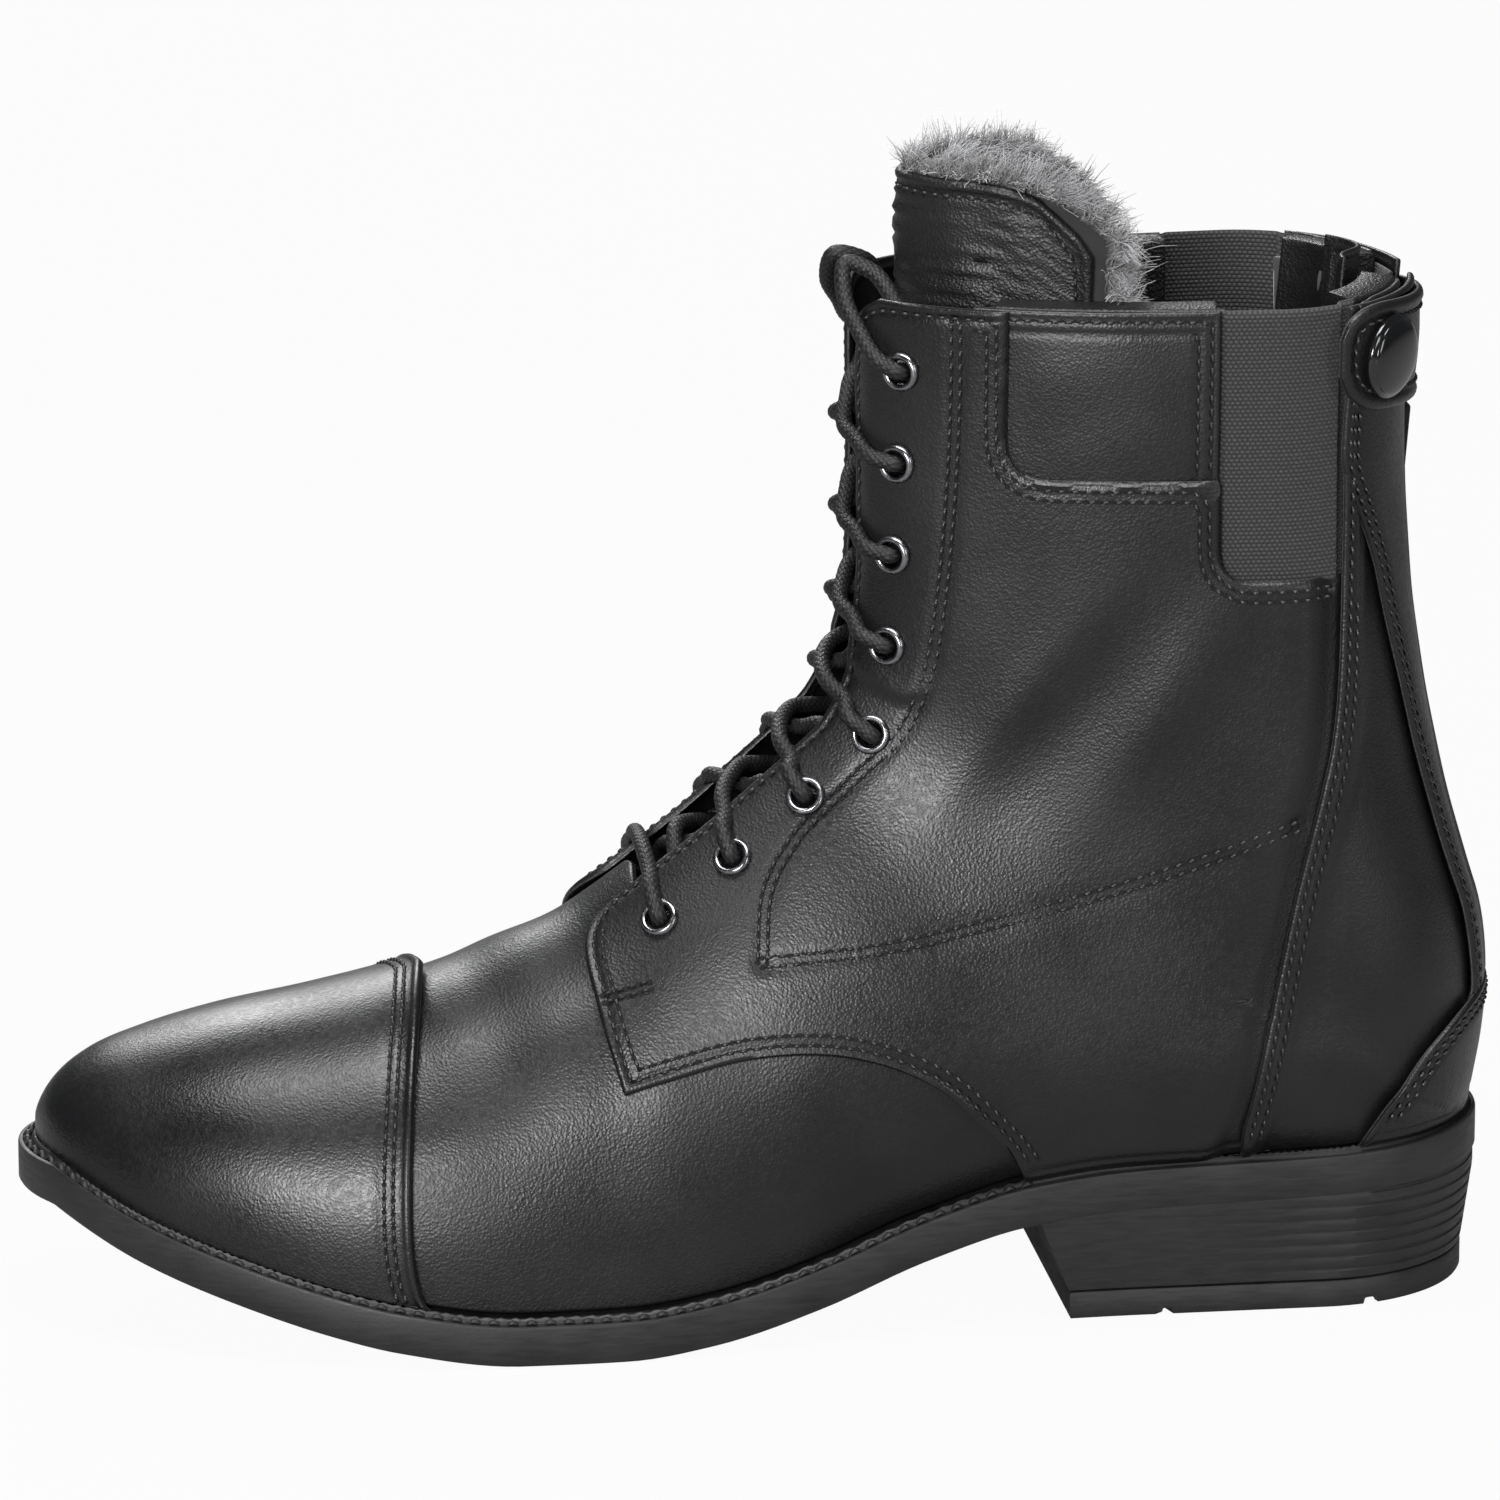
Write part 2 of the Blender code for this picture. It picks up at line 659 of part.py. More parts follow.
# Sole unit
def plan_grid(grow_toe, grow_heel, height, rows, columns, start=None):
    """A plate's grid: stations along the foot, points across it, at height(x) above the floor."""
    first = TOE_X - grow_toe if start is None else start
    last = HEEL_X + grow_heel
    turn = np.linspace(0.0 if start is None else math.pi / 2, math.pi, rows)
    reach = (1 - np.cos(turn)) / 2 if start is None else -np.cos(turn)
    grid = np.zeros((rows, columns, 3))
    for i, x in enumerate(first + (last - first) * reach):
        lateral = ridge_y(x) - plan_half(x, -1, grow_toe, grow_heel)
        medial = ridge_y(x) + plan_half(x, 1, grow_toe, grow_heel)
        grid[i, :, 0] = x
        grid[i, :, 1] = np.linspace(lateral, medial, columns)
        grid[i, :, 2] = height(x)
    return grid


def above_feather(drop):
    return lambda x: feather_z(x) - drop


def heel_level(z, inset, rows=11, columns=3):
    """One level of the heel block. The breast leans forward as it rises."""
    share = (z - TOP_PIECE) / (feather_z(grade(BREAST_X)) - SOLE_STACK - TOP_PIECE)
    start = grade(BREAST_X) - BREAST_RAKE * share
    grow = WELT_HEEL - HEEL_TAPER * max(1 - share, 0) - inset
    return plan_grid(grow, grow, lambda x: z, rows, columns, start=start + inset)


def make_outsole():
    """The sole plate and the heel block, moulded in one, with shallow grooves between the heel's lifts."""
    rows, columns = 29, 4
    bottom = plan_grid(WELT_TOE, WELT_HEEL, above_feather(SOLE_STACK), rows, columns)
    top = plan_grid(WELT_TOE, WELT_HEEL, above_feather(WELT_THICK + SOLE_BED), rows, columns)
    outsole = stack("outsole", [bottom, top], "rubber")
    low = TOP_PIECE + CLEAR
    high = float(feather_z(HEEL_X)) - SOLE_STACK
    levels = [heel_level(low, STACK_INSET)]
    for z in np.linspace(low, high - LIFT_TOP_CLEAR, LIFT_COUNT + 1)[1:]:
        levels.append(heel_level(z - LIFT_GROOVE_HALF, STACK_INSET))
        levels.append(heel_level(z, STACK_INSET + LIFT_GROOVE))
        levels.append(heel_level(z + LIFT_GROOVE_HALF, STACK_INSET))
    crown = heel_level(high, STACK_INSET)
    crown[..., 2] = feather_z(crown[..., 0]) - SOLE_STACK + STACK_SINK
    boolean(outsole, helper(stack("heel_stack", levels + [crown], "rubber")), "UNION")


def make_top_piece():
    """The heel's wearing layer, with two slots across its underside."""
    piece_top = heel_level(TOP_PIECE, 0.0)
    piece_low = heel_level(TOP_PIECE, TOP_PIECE_DRAFT)
    piece_low[..., 2] = 0.0
    top_piece = stack("heel_top_piece", [piece_low, piece_top], "rubber")
    slots = bmesh.new()
    half = TREAD_SLOT / 2
    across = 2 * HEEL_HALF
    for x in TREAD_SLOTS_X:
        box(slots, Matrix.Translation((grade(x), 0, 0)), (-half, -across, -1), (half, across, TREAD_DEPTH))
    boolean(top_piece, helper(from_bmesh("tread_slots", slots, "rubber")), "DIFFERENCE")


def make_insole():
    """The board that the upper is lasted over, the fleece sock on it and the steel shank under it."""
    rows, columns = 21, 4
    seat = -WELT_SEAT - 1
    board_low = plan_grid(seat, seat, above_feather(CLEAR + BOARD_THICK), rows, columns)
    board_top = plan_grid(seat, seat, above_feather(BOARD_TOP), rows, columns)
    stack("insole_board", [board_low, board_top], "board")
    edge = LINING_FACE - FLEECE - SOCK_FIT
    sock_low = plan_grid(edge, edge, above_feather(-CLEAR / 3), rows, columns)
    stack("insock", [sock_low, sock_low + (0, 0, SOCK_THICK)], "fleece")

    shank_low = np.zeros((12, 2, 3))
    shank_low[:, :, 0] = np.linspace(grade(SHANK_FRONT_X), grade(SHANK_REAR_X), 12)[:, None]
    shank_low[:, :, 1] = np.array([-SHANK_WIDTH / 2, SHANK_WIDTH / 2])[None]
    shank_low[:, :, 2] = feather_z(shank_low[:, :, 0]) - WELT_THICK - 2 * CLEAR
    stack("shank", [shank_low, shank_low + (0, 0, SHANK_THICK)], "steel")


def make_welt():
    """The welt goes all the way round: stitched round the forefoot and a plain rand round the heel."""
    bm = bmesh.new()
    half_steps = 23
    under = WELT_THICK + CLEAR
    rim_toe, rim_heel = WELT_TOE - WELT_INSET, WELT_HEEL - WELT_INSET
    rim = WELT_REST + WELT_FALL
    profile = ((-WELT_SEAT, -WELT_SEAT, WELT_REST), (0.0, 0.0, WELT_REST), (rim_toe, rim_heel, rim),
               (rim_toe, rim_heel, under), (0.0, 0.0, under), (-WELT_SEAT, -WELT_SEAT, under))
    loops = []
    for side, turns in ((-1, np.linspace(0, math.pi, half_steps + 1)[:-1]),
                        (1, np.linspace(math.pi, 0, half_steps + 1)[:-1])):
        for turn in turns:
            share = (1 - math.cos(turn)) / 2
            loop = []
            for toe, heel, drop in profile:
                x = TOE_X - toe + (HEEL_X + heel - TOE_X + toe) * share
                y = float(ridge_y(x)) + side * float(plan_half(x, side, toe, heel))
                loop.append(bm.verts.new(Vector((x, y, float(feather_z(x)) - drop)) * MM))
            loops.append(loop)
    close_ring(bm, loops)
    from_bmesh("welt", bm, "rubber")


# Upper pieces
CAP_EDGE_X = -171.5
CAP_BOW = 4.0


def cap_edge(v):
    return grade(CAP_EDGE_X) - TOE_X - CAP_BOW * np.sin(math.pi * np.clip(v, 0, 1))


def toe_half(rear, rows, columns):
    """Half of a piece that closes round the toe tip and ends at rear(v). Rows crowd towards the tip."""
    v = np.linspace(0, 1, columns)
    grid = np.zeros((rows, columns, 2))
    for i, share in enumerate(np.linspace(0, 1, rows)):
        grid[i, :, 0] = rear(v) * share**2
        grid[i, :, 1] = v
    return grid


def both(grid):
    return [(grid, -1), (grid, 1)]


QUARTER_LOW = [(-133.5, 50.0), (-124.9, 52.6), (-109.5, 56.6), (-91.1, 56.7), (-82.1, 54.3), (-72.8, 49.6),
               (-63.6, 41.1), (-55.6, 29.2)]
QUARTER_NOSE = [(-133.5, 50.0), (-136.2, 60.0), (-138.2, 70.0)]
VAMP_REAR = [(-46.0, 30.3), (-50.0, 38.0), (-58.0, 48.0), (-69.0, 57.5), (-80.0, 63.0), (-92.0, 65.5),
             (-108.0, 66.5), (-119.0, 67.0), (-125.0, 73.0), (-128.0, 82.0)]
BACK_SEAM = [(-14.6, 31.9), (-10.5, 50.0), (-7.2, 62.5), (-4.5, 86.0), (0.9, 103.4), (3.6, 115.0),
             (4.2, 135.0), (4.5, 150.0), (4.5, 200.0)]
BACK_PANEL_FRONT = [(-21.5, 31.9), (-17.5, 48.0), (-14.5, 62.0), (-11.5, 86.0), (-6.5, 103.0), (-3.5, 115.0),
                    (-2.5, 128.0), (3.3, 136.5), (3.4, 143.0), (3.4, 160.0), (3.4, 180.0), (3.4, 200.0)]
FOAM_FRONT = [(-110.0, 70.5), (-98.0, 90.0), (-81.0, 110.0), (-69.0, 128.0), (-66.0, 145.0), (-66.0, 158.0)]
FOAM_BACK = [(-26.0, 31.8), (-20.0, 62.0), (-17.5, 86.0), (-12.0, 103.0), (-8.5, 120.0), (-8.0, 138.0)]
FOAM_LOW = [(-110.0, 70.5), (-92.0, 69.5), (-77.0, 67.0), (-62.0, 58.5), (-47.0, 47.0), (-37.0, 31.1),
            (-26.0, 31.8)]
FOAM_TOP = [(-66.0, 158.0), (-45.0, 157.0), (-26.0, 141.0), (-8.0, 138.0)]


def gap_half(u):
    """Half the opening between the quarters' lacing edges."""
    return float(smooth([(U_FAN, THROAT_GAP), (fan_u(-28), THROAT_GAP + 0.4), (U_SHAFT, SHAFT_GAP),
                         (U_TOP + 30, SHAFT_GAP)])(u))


def make_forefoot():
    sheet("toe_cap", both(toe_half(cap_edge, 8, 8)), OVERLAY, LEATHER, "leather")
    sheet("toe_puff", both(toe_half(lambda v: cap_edge(v) - 22, 7, 7)), -0.3, STIFFENER, "stiffener")
    columns, rows = 8, 12
    v = np.linspace(0, 1, columns)
    front = np.stack([cap_edge(v) - 2 * UNDERLAP, v], 1)
    ridge_end = chart(*pattern([(-128.0, 87.9)])[0])[0]
    back = run([seam(VAMP_REAR) + [(ridge_end, 1.0)]], columns - 1)
    back[0, 1] = 0.0
    bottom = np.stack([np.linspace(front[0, 0], back[0, 0], rows), np.zeros(rows)], 1)
    top = np.stack([np.linspace(front[-1, 0], ridge_end, rows), np.ones(rows)], 1)
    sheet("vamp", both(patch(front, back, bottom, top)), -LAP, LEATHER, "leather")

    lining_end = chart(*pattern([(-144.0, 76.0)])[0])[0]
    lining_rear = run([seam([(-52.0, 29.4), (-62.0, 44.0), (-84.0, 58.0), (-110.0, 60.0), (-132.0, 64.0)])
                       + [(lining_end, 1.0)]], 6)
    lining_rear[0, 1] = 0.0
    toe_grid = toe_half(lambda v: cap_edge(v) - 30, 6, 7)
    rear_grid = patch(toe_grid[-1], lining_rear,
                      np.stack([np.linspace(toe_grid[-1, 0, 0], lining_rear[0, 0], 7), np.zeros(7)], 1),
                      np.stack([np.linspace(toe_grid[-1, -1, 0], lining_end, 7), np.ones(7)], 1))
    whole = np.concatenate([toe_grid[:-1], rear_grid])
    sheet("vamp_lining", both(whole), LINING_FACE, FLEECE, "fleece")


def lacing_edge(side):
    low = chart(*pattern([(-127.6, 86.5)])[0])[0]
    return [from_ridge(u, side, gap_half(u)) for u in np.linspace(low, U_TOP - 10, 9)]


def quarter_front(side):
    nose = chart(*pattern([(-137.0, 80.5)])[0])[0]
    throat = [from_ridge(nose, side, 13.5), from_ridge(nose + 5, side, 10.6)]
    corner = [from_ridge(U_TOP - 4, side, SHAFT_GAP + 1.6), from_ridge(U_TOP, side, SHAFT_GAP + 6.5)]
    return run([seam(QUARTER_NOSE) + throat + lacing_edge(side) + corner], 18, side)


def quarter_grid(side):
    front = quarter_front(side)
    back = run([seam(BACK_SEAM)], 18, side)
    seat = along_seat(grade(-55.6), grade(-14.6), 6, side)
    bottom = run([seam(QUARTER_LOW[:-1]) + [tuple(seat[0])], seat], 13, side)
    back[0] = bottom[-1]
    top = run([[tuple(front[-1]), tuple(back[-1])]], 13, side)
    return patch(front, back, bottom, top)


def eyelet_places(side):
    """Chart places of the eyelets of one side, from the lowest up, at equal steps along their row."""
    low = chart(*pattern([(-126.0, 88.5)])[0])[0]
    high = U_TOP - EYELET_TOP_DROP
    reach = smooth([(low, 21.0), (fan_u(-6), 16.6), (high, 18.2)])
    fine = np.array([from_ridge(u, side, float(reach(u))) for u in np.linspace(low, high, 120)])
    points = skin(fine[:, 0], fine[:, 1], side)
    return resample(np.concatenate([fine, points], 1), EYELET_ROWS - 1, np.array([0, 0, 1, 1, 1]))[:, :2]


def rounded(points, radius, steps=4):
    """A closed outline whose listed corners are rounded. A radius of 0 leaves a corner sharp."""
    made = []
    for i, (corner, r) in enumerate(zip(points, radius)):
        if r == 0:
            made.append(corner)
            continue
        before = Vector(points[i - 1]) - Vector(corner)
        after = Vector(points[(i + 1) % len(points)]) - Vector(corner)
        start = Vector(corner) + before.normalized() * r
        end = Vector(corner) + after.normalized() * r
        for k in range(steps + 1):
            t = k / steps
            made.append(tuple(start * (1 - t) ** 2 + Vector(corner) * 2 * t * (1 - t) + end * t**2))
    return made


COLLAR_FRONT = -59.5
COLLAR_LOW = 167.2
COLLAR_UNDERLAP = 6.0
GUSSET_FRONT = -19.4
GUSSET_BACK = 2.4
GUSSET_LOW = 147.2
GUSSET_UNDERLAP = 4.5


def window_prism(bm, outline, side):
    """An upright side-view outline pushed out sideways through one side of the shaft."""
    near, far = 6.0, 2 * SHAFT_HALF
    prism(bm, *[[(x, side * y, z) for x, z in outline] for y in (near, far)])


def window_outline(front, low, back):
    """The opening for the collar panel and the gusset together, or for the gusset alone."""
    over = SAMPLE_HEIGHT + 20
    if front < GUSSET_FRONT - 1:
        corners = [(front, over), (front, low), (GUSSET_FRONT, low), (GUSSET_FRONT, GUSSET_LOW),
                   (back, GUSSET_LOW), (back, over)]
        return rounded(pattern(corners), (0, 8.5, 0, 7.0, 0, 0))
    corners = [(front, over), (front, GUSSET_LOW - 5), (back, GUSSET_LOW - 5), (back, over)]
    return rounded(pattern(corners), (0, 0, 0, 0))


def name_of(stem, side):
    return stem + ("_lateral" if side < 0 else "_medial")


def place_frame(place, side, offset):
    """A frame on the upper at a chart place, with its Z outward."""
    point, normal = shell(np.array([place[0]]), np.array([place[1]]), side, offset)
    return frame_at(point[0], normal[0])


def make_quarter(side):
    """The quarter, with the window for the collar panel and gusset and a hole for each eyelet."""
    quarter = sheet(name_of("quarter", side), [(quarter_grid(side), side)], OVERLAY, LEATHER, "leather")
    cutter = bmesh.new()
    window_prism(cutter, window_outline(COLLAR_FRONT, COLLAR_LOW, 12.0), side)
    for place in eyelet_places(side):
        drill(cutter, place_frame(place, side, OVERLAY), EYELET_BORE / 2 + EYELET_WALL + EYELET_FIT, 10, 8)
    boolean(quarter, helper(from_bmesh(name_of("quarter_cuts", side), cutter, "leather")), "DIFFERENCE")


def panel(side, front, back, low, high, columns, rows):
    """A panel's chart grid between four side-view lines."""
    left = run([seam(front)], rows, side)
    right = run([seam(back)], rows, side)
    bottom = run([seam(low)], columns, side)
    top = run([seam(high)], columns, side)
    return [(side_patch(left, right, bottom, top, side), side)]


def upright_panel(side, front_x, back_x, low_z, columns, rows):
    """A panel from a level line up to the topline, with upright ends."""
    heights = np.linspace(low_z, SAMPLE_HEIGHT, 6)
    lengths = np.linspace(front_x, back_x, 6)
    return panel(side, [(front_x, z) for z in heights], [(back_x, z) for z in heights],
                 [(x, low_z) for x in lengths], [(x, SAMPLE_HEIGHT) for x in lengths], columns, rows)


def make_side_panels(side):
    """The collar panel and the elastic in the quarter's window, and the foam behind the ankle."""
    collar = upright_panel(side, COLLAR_FRONT - COLLAR_UNDERLAP, GUSSET_FRONT - 0.2,
                           COLLAR_LOW - COLLAR_UNDERLAP - 0.5, 8, 4)
    sheet(name_of("collar_panel", side), collar, 0.0, LEATHER, "leather")
    gusset = upright_panel(side, GUSSET_FRONT + CLEAR, GUSSET_BACK, GUSSET_LOW - GUSSET_UNDERLAP, 4, 6)
    sheet(name_of("gusset", side), gusset, -0.1, LEATHER - 0.2, "elastic")
    foam = panel(side, FOAM_FRONT, FOAM_BACK, FOAM_LOW, FOAM_TOP, 8, 9)
    sheet(name_of("interlining", side), foam, -0.5, LEATHER + CLEAR, "foam")


def back_strip(side, inner, outer, low, high, columns):
    """A strip along the back line between two reaches from it. Each reach is a function of u."""
    rows = 1 + round((high - low) / STRIP_STEP)
    us = np.linspace(back_u(low), back_u(high), rows)
    grid = np.zeros((columns, rows, 2))
    for j, u in enumerate(us):
        a = from_back(u, side, inner(u))[1]
        b = from_back(u, side, outer(u))[1]
        grid[:, j, 0] = u
        grid[:, j, 1] = np.linspace(a, b, columns)
    return [(grid, side)]


def seat_end(reach):
    """x on the sole's edge where it lies reach to the side of the back line."""
    return HEEL_X - HEEL_ROUND * (1 - math.sqrt(1 - (reach / HEEL_HALF) ** 2))


def make_back_side(side):
    """The back panel, and the placket and zip tape along the opening."""
    edge = ZIP_TAPE + ZIP_TAPE_GAP
    front = run([seam(BACK_PANEL_FRONT)], 17, side)
    bottom = along_seat(grade(BACK_PANEL_FRONT[0][0]), seat_end(edge), 10, side)
    rise = [from_back(u, side, edge) for u in np.linspace(back_u(38.0), U_TOP, 17)]
    back = run([[tuple(bottom[-1])] + rise], 17, side)
    top = run([[tuple(front[-1]), tuple(back[-1])]], 10, side)
    front[0] = bottom[0]
    sheet(name_of("back_panel", side), [(side_patch(front, back, bottom, top, side), side)], 0.0, LEATHER,
          "leather")

    reach = smooth([(back_u(60), 17.5), (back_u(110), 20.5), (back_u(150), 26.0), (back_u(172), 31.0),
                    (U_TOP, 31.0)])
    placket = back_strip(side, lambda u: SLOT_HALF, lambda u: float(reach(u)), 61.5, SHAFT_HEIGHT, 4)
    sheet(name_of("zip_placket", side), placket, OVERLAY, LEATHER, "leather")
    tape = back_strip(side, lambda u: ZIP_CORD + CLEAR, lambda u: ZIP_TAPE, ZIP_TAPE_LOW, SHAFT_HEIGHT - 2, 3)
    sheet(name_of("zip_tape", side), tape, -0.3, ZIP_TAPE_THICK, "tape")


def make_quarter_lining(side):
    edge = SLOT_HALF + 3.0
    bottom = along_seat(grade(-50.0), seat_end(edge), 9, side)
    low = chart(*pattern([(-110.0, 106.0)])[0])[0]
    reach = smooth([(low, 29.0), (fan_u(-6), 27.0), (U_TOP, 27.0)])
    rise = [from_ridge(u, side, float(reach(u))) for u in np.linspace(low, U_TOP - 4, 8)]
    front = run([seam([(-50.0, 29.9), (-60.0, 46.0), (-82.0, 63.5), (-100.0, 70.0)]) + rise], 12, side)
    back = run([[tuple(bottom[-1])] + [from_back(u, side, edge) for u in
                                       np.linspace(back_u(38.0), U_TOP - 4, 12)]], 12, side)
    front[0] = bottom[0]
    top = run([[tuple(front[-1]), tuple(back[-1])]], 9, side)
    lining = sheet(name_of("quarter_lining", side), [(side_patch(front, back, bottom, top, side), side)],
                   LINING_FACE, FLEECE, "fleece")
    window = bmesh.new()
    window_prism(window, window_outline(GUSSET_FRONT - 0.5, GUSSET_LOW, 3.0), side)
    boolean(lining, helper(from_bmesh(name_of("lining_window", side), window, "fleece")), "DIFFERENCE")


def heel_half(side, rim, columns, rows):
    """Half of a piece round the heel, from the back line to where its rim meets the sole. The rim is given as
    (distance forward of the back line, height)."""
    reach = grade(rim[-1][0])
    height = smooth([(grade(forward), z) for forward, z in rim])
    grid = np.zeros((columns + 1, rows + 1, 2))
    for i in range(columns + 1):
        forward = reach * (i / columns) ** 2
        low = float(feather_z(HEEL_X - forward))
        for j in range(rows + 1):
            z = low + (float(height(forward)) - low) * j / rows * (i < columns)
            u, v = chart(float(np.interp(z, BACK_RISE[:, 1], BACK_RISE[:, 0])) - forward, z)
            grid[i, j] = (u, v if i and j and i < columns else 0.0)
    return grid, side


def make_heel():
    rim = [(0.0, 60.0), (4.0, 58.8), (14.0, 52.0), (20.5, 42.5), (24.7, 33.2)]
    halves = [heel_half(side, rim, 8, 4) for side in (-1, 1)]
    sheet("heel_patch", halves, OVERLAY + CLEAR, LEATHER, "leather")
    rim = [(0.0, 66.0), (10.0, 66.0), (24.0, 62.0), (38.0, 54.0), (50.0, 43.0), (57.0, 31.9)]
    halves = [heel_half(side, rim, 10, 4) for side in (-1, 1)]
    sheet("heel_counter", halves, STIFFENER_FACE, STIFFENER, "stiffener")


def make_tongue():
    """The tongue's leather face and its fleece, which stands above the leather at the top."""
    low = chart(*pattern([(-134.0, 83.0)])[0])[0]
    high = U_TOP + TONGUE_RISE
    rows, columns = 14, 6
    reach = smooth([(low, 24.0), (fan_u(-10), 26.0), (high, 26.0)])
    depth = smooth([(low, TONGUE_FACE), (U_SHAFT - 10, TONGUE_FACE), (U_SHAFT + 14, TONGUE_FACE - 1.8),
                    (U_TOP, TONGUE_FACE - 2.5), (high, TONGUE_FACE - 3.0)])
    spread = smooth([(low, 0.0), (U_SHAFT + 10, 0.0), (U_TOP - 4, 1.0), (high, 1.0)])

    def edge(u, side):
        """v of the tongue's edge, which wraps further round the leg towards the top."""
        narrow = from_ridge(u, side, float(reach(u)))[1]
        wide = chart(grade(TONGUE_WRAP), PIVOT_Z + u - U_SHAFT)[1]
        return narrow + (wide - narrow) * float(spread(u))

    def halves(start, end):
        grids = []
        for side in (-1, 1):
            grid = np.zeros((rows, columns, 2))
            for j, share in enumerate(np.linspace(0, 1, columns)):
                us = np.linspace(start, end - TONGUE_SLOPE * share**1.6, rows)
                grid[:, j, 0] = us
                grid[:, j, 1] = [1.0 + (edge(u, side) - 1.0) * share for u in us]
            grids.append((grid, side))
        return grids

    sheet("tongue", halves(low, high), depth, LEATHER, "leather")
    fleece = halves(low + UNDERLAP, U_TOP + TONGUE_FLEECE_RISE)
    sheet("tongue_fleece", fleece, lambda u: depth(u) - LEATHER - 3 * CLEAR, TONGUE_FLEECE, "fleece")


# Lacing
def make_eyelets():
    bore = EYELET_BORE / 2
    wall = bore + EYELET_WALL
    low = -LEATHER - CLEAR
    profile = [(bore, low), (wall, low), (wall, EYELET_REST), (EYELET_FLANGE / 2, EYELET_REST),
               (bore + 0.5, EYELET_REST + EYELET_DOME)]
    for side in (-1, 1):
        for i, place in enumerate(eyelet_places(side)):
            name = name_of("eyelet", side) + "_" + str(EYELET_ROWS - i)
            spun(name, profile, 8, place_frame(place, side, OVERLAY), "gunmetal")


def ridge_point(u, y, offset):
    """A point over the lacing gap or a quarter: y is signed and measured from the front ridge."""
    side = -1 if y < 0 else 1
    place = from_ridge(u, side, abs(y))
    return tuple(shell(np.array([place[0]]), np.array([place[1]]), side, offset)[0][0])


BENEATH = -LACE / 2 - LACE_CLEAR
CREST = OVERLAY + CLEAR + EYELET_DOME + LACE / 2 + LACE_CLEAR


def eyelet_reach(side):
    """(u, y from the front ridge, signed) of each eyelet of one side, from the lowest up."""
    found = []
    for u, v in eyelet_places(side):
        point = skin(np.array([u]), np.array([v]), side)[0]
        middle = float(section(u)[6])
        found.append((u, float(point[1]) - middle))
    return found


def bore_points(u, y):
    """The lace's way through an eyelet, from inside to outside."""
    return [ridge_point(u, y, offset) for offset in (-0.2, 1.1, OVERLAY + 0.8)]


def strand(start, end):
    """Out of one eyelet, over its own edge, across the gap and under the other edge to the next eyelet. The
    lateral strands pass over the medial ones."""
    u0, y0 = start
    u1, y1 = end
    side = -1 if y0 < 0 else 1
    climb = u1 - u0
    edge = gap_half(u0 + climb / 3)
    rest = OVERLAY + LACE / 2
    if side < 0:
        middle = [(0.26, edge - 2.0, rest - 0.4), (0.50, 0.0, 1.9), (0.63, -0.45 * edge, 0.6)]
    else:
        middle = [(0.25, edge - 1.2, rest - 0.2), (0.31, edge - 3.2, 0.6), (0.40, 0.3 * edge, -2.2),
                  (0.50, 0.0, -4.2)]
    route = [(0.02, abs(y0) - 0.9, CREST - 0.8), (0.06, abs(y0) - 2.9, CREST), (0.18, edge + 2.2, rest + 1.0)]
    route += middle
    route += [(0.75, 1.2 - edge, BENEATH), (0.85, -edge - 2.5, BENEATH), (0.95, 2.6 - abs(y1), BENEATH)]
    points = bore_points(u0, y0)
    for share, y, offset in route:
        points.append(ridge_point(u0 + climb * share, side * y, offset))
    return points


def first_cross(start, end, centre):
    """From inside a lowest eyelet, under both edges, to the next eyelet up on the other side."""
    u0, y0 = start
    u1, y1 = end
    side = -1 if y0 < 0 else 1
    climb = u1 - u0
    edge = gap_half(u0)
    return [
        ridge_point(u0 + 0.08 * climb, y0 - side * 2.4, BENEATH),
        ridge_point(u0 + 0.28 * climb, side * (edge - 1.0), BENEATH - 0.2),
        ridge_point(u0 + 0.50 * climb, 0.0, centre),
        ridge_point(u0 + 0.72 * climb, -side * (edge - 1.0), BENEATH - 0.2),
        ridge_point(u1 - 0.05 * climb, y1 + side * 2.6, BENEATH),
    ]


# How far each end's loop over the top edge stands out, and each tucked end's way down beside the tongue
LACE_PEAK = {-1: 1.2, 1: 3.0}
TUCK = [(4.5, 18.5), (-2.0, 22.2), (-14.0, 22.6), (-30.0, 22.6), (-46.0, 22.2), (-62.0, 22.0)]


def lace_half(side, rows):
    """Half of the lace, from the bar across the throat up through every row to its tucked end."""
    points = []
    here = side
    u, y = rows[here][0]
    edge = gap_half(u)
    points += [
        ridge_point(u + 2.0, side * (edge - 3.0), OVERLAY + LACE / 2 + 1.0),
        ridge_point(u + 1.5, side * (edge + 2.0), OVERLAY + LACE / 2 + 1.2),
        ridge_point(u + 0.6, y - side * 2.9, CREST),
        ridge_point(u + 0.2, y - side * 0.9, CREST - 0.8),
        *bore_points(u, y)[::-1],
    ]
    points += first_cross(rows[here][0], rows[-here][1], -1.2 if side < 0 else -5.1)
    here = -here
    for i in range(1, EYELET_ROWS - 1):
        points += strand(rows[here][i], rows[-here][i + 1])
        here = -here
    u, y = rows[here][-1]
    edge = gap_half(u)
    points += [
        *bore_points(u, y),
        ridge_point(u + 0.6, y - here * 0.8, CREST - 0.8),
        ridge_point(u + 2.2, y - here * 2.4, CREST),
        ridge_point(u + 7.0, here * (edge + 3.5), OVERLAY + LACE / 2 + 0.9),
    ]
    peak = LACE_PEAK[here]
    points += [
        ridge_point(u + 12.5, here * (edge - 0.5), peak + 2.2),
        ridge_point(u + 18.0, here * (edge - 3.5), peak),
        ridge_point(u + 16.5, here * (edge - 1.0), -3.6),
        ridge_point(u + 10.0, here * (edge + 6.0), -4.8),
    ]
    for climb, reach in TUCK:
        points.append(ridge_point(u + climb, here * reach, -4.0))
    return points


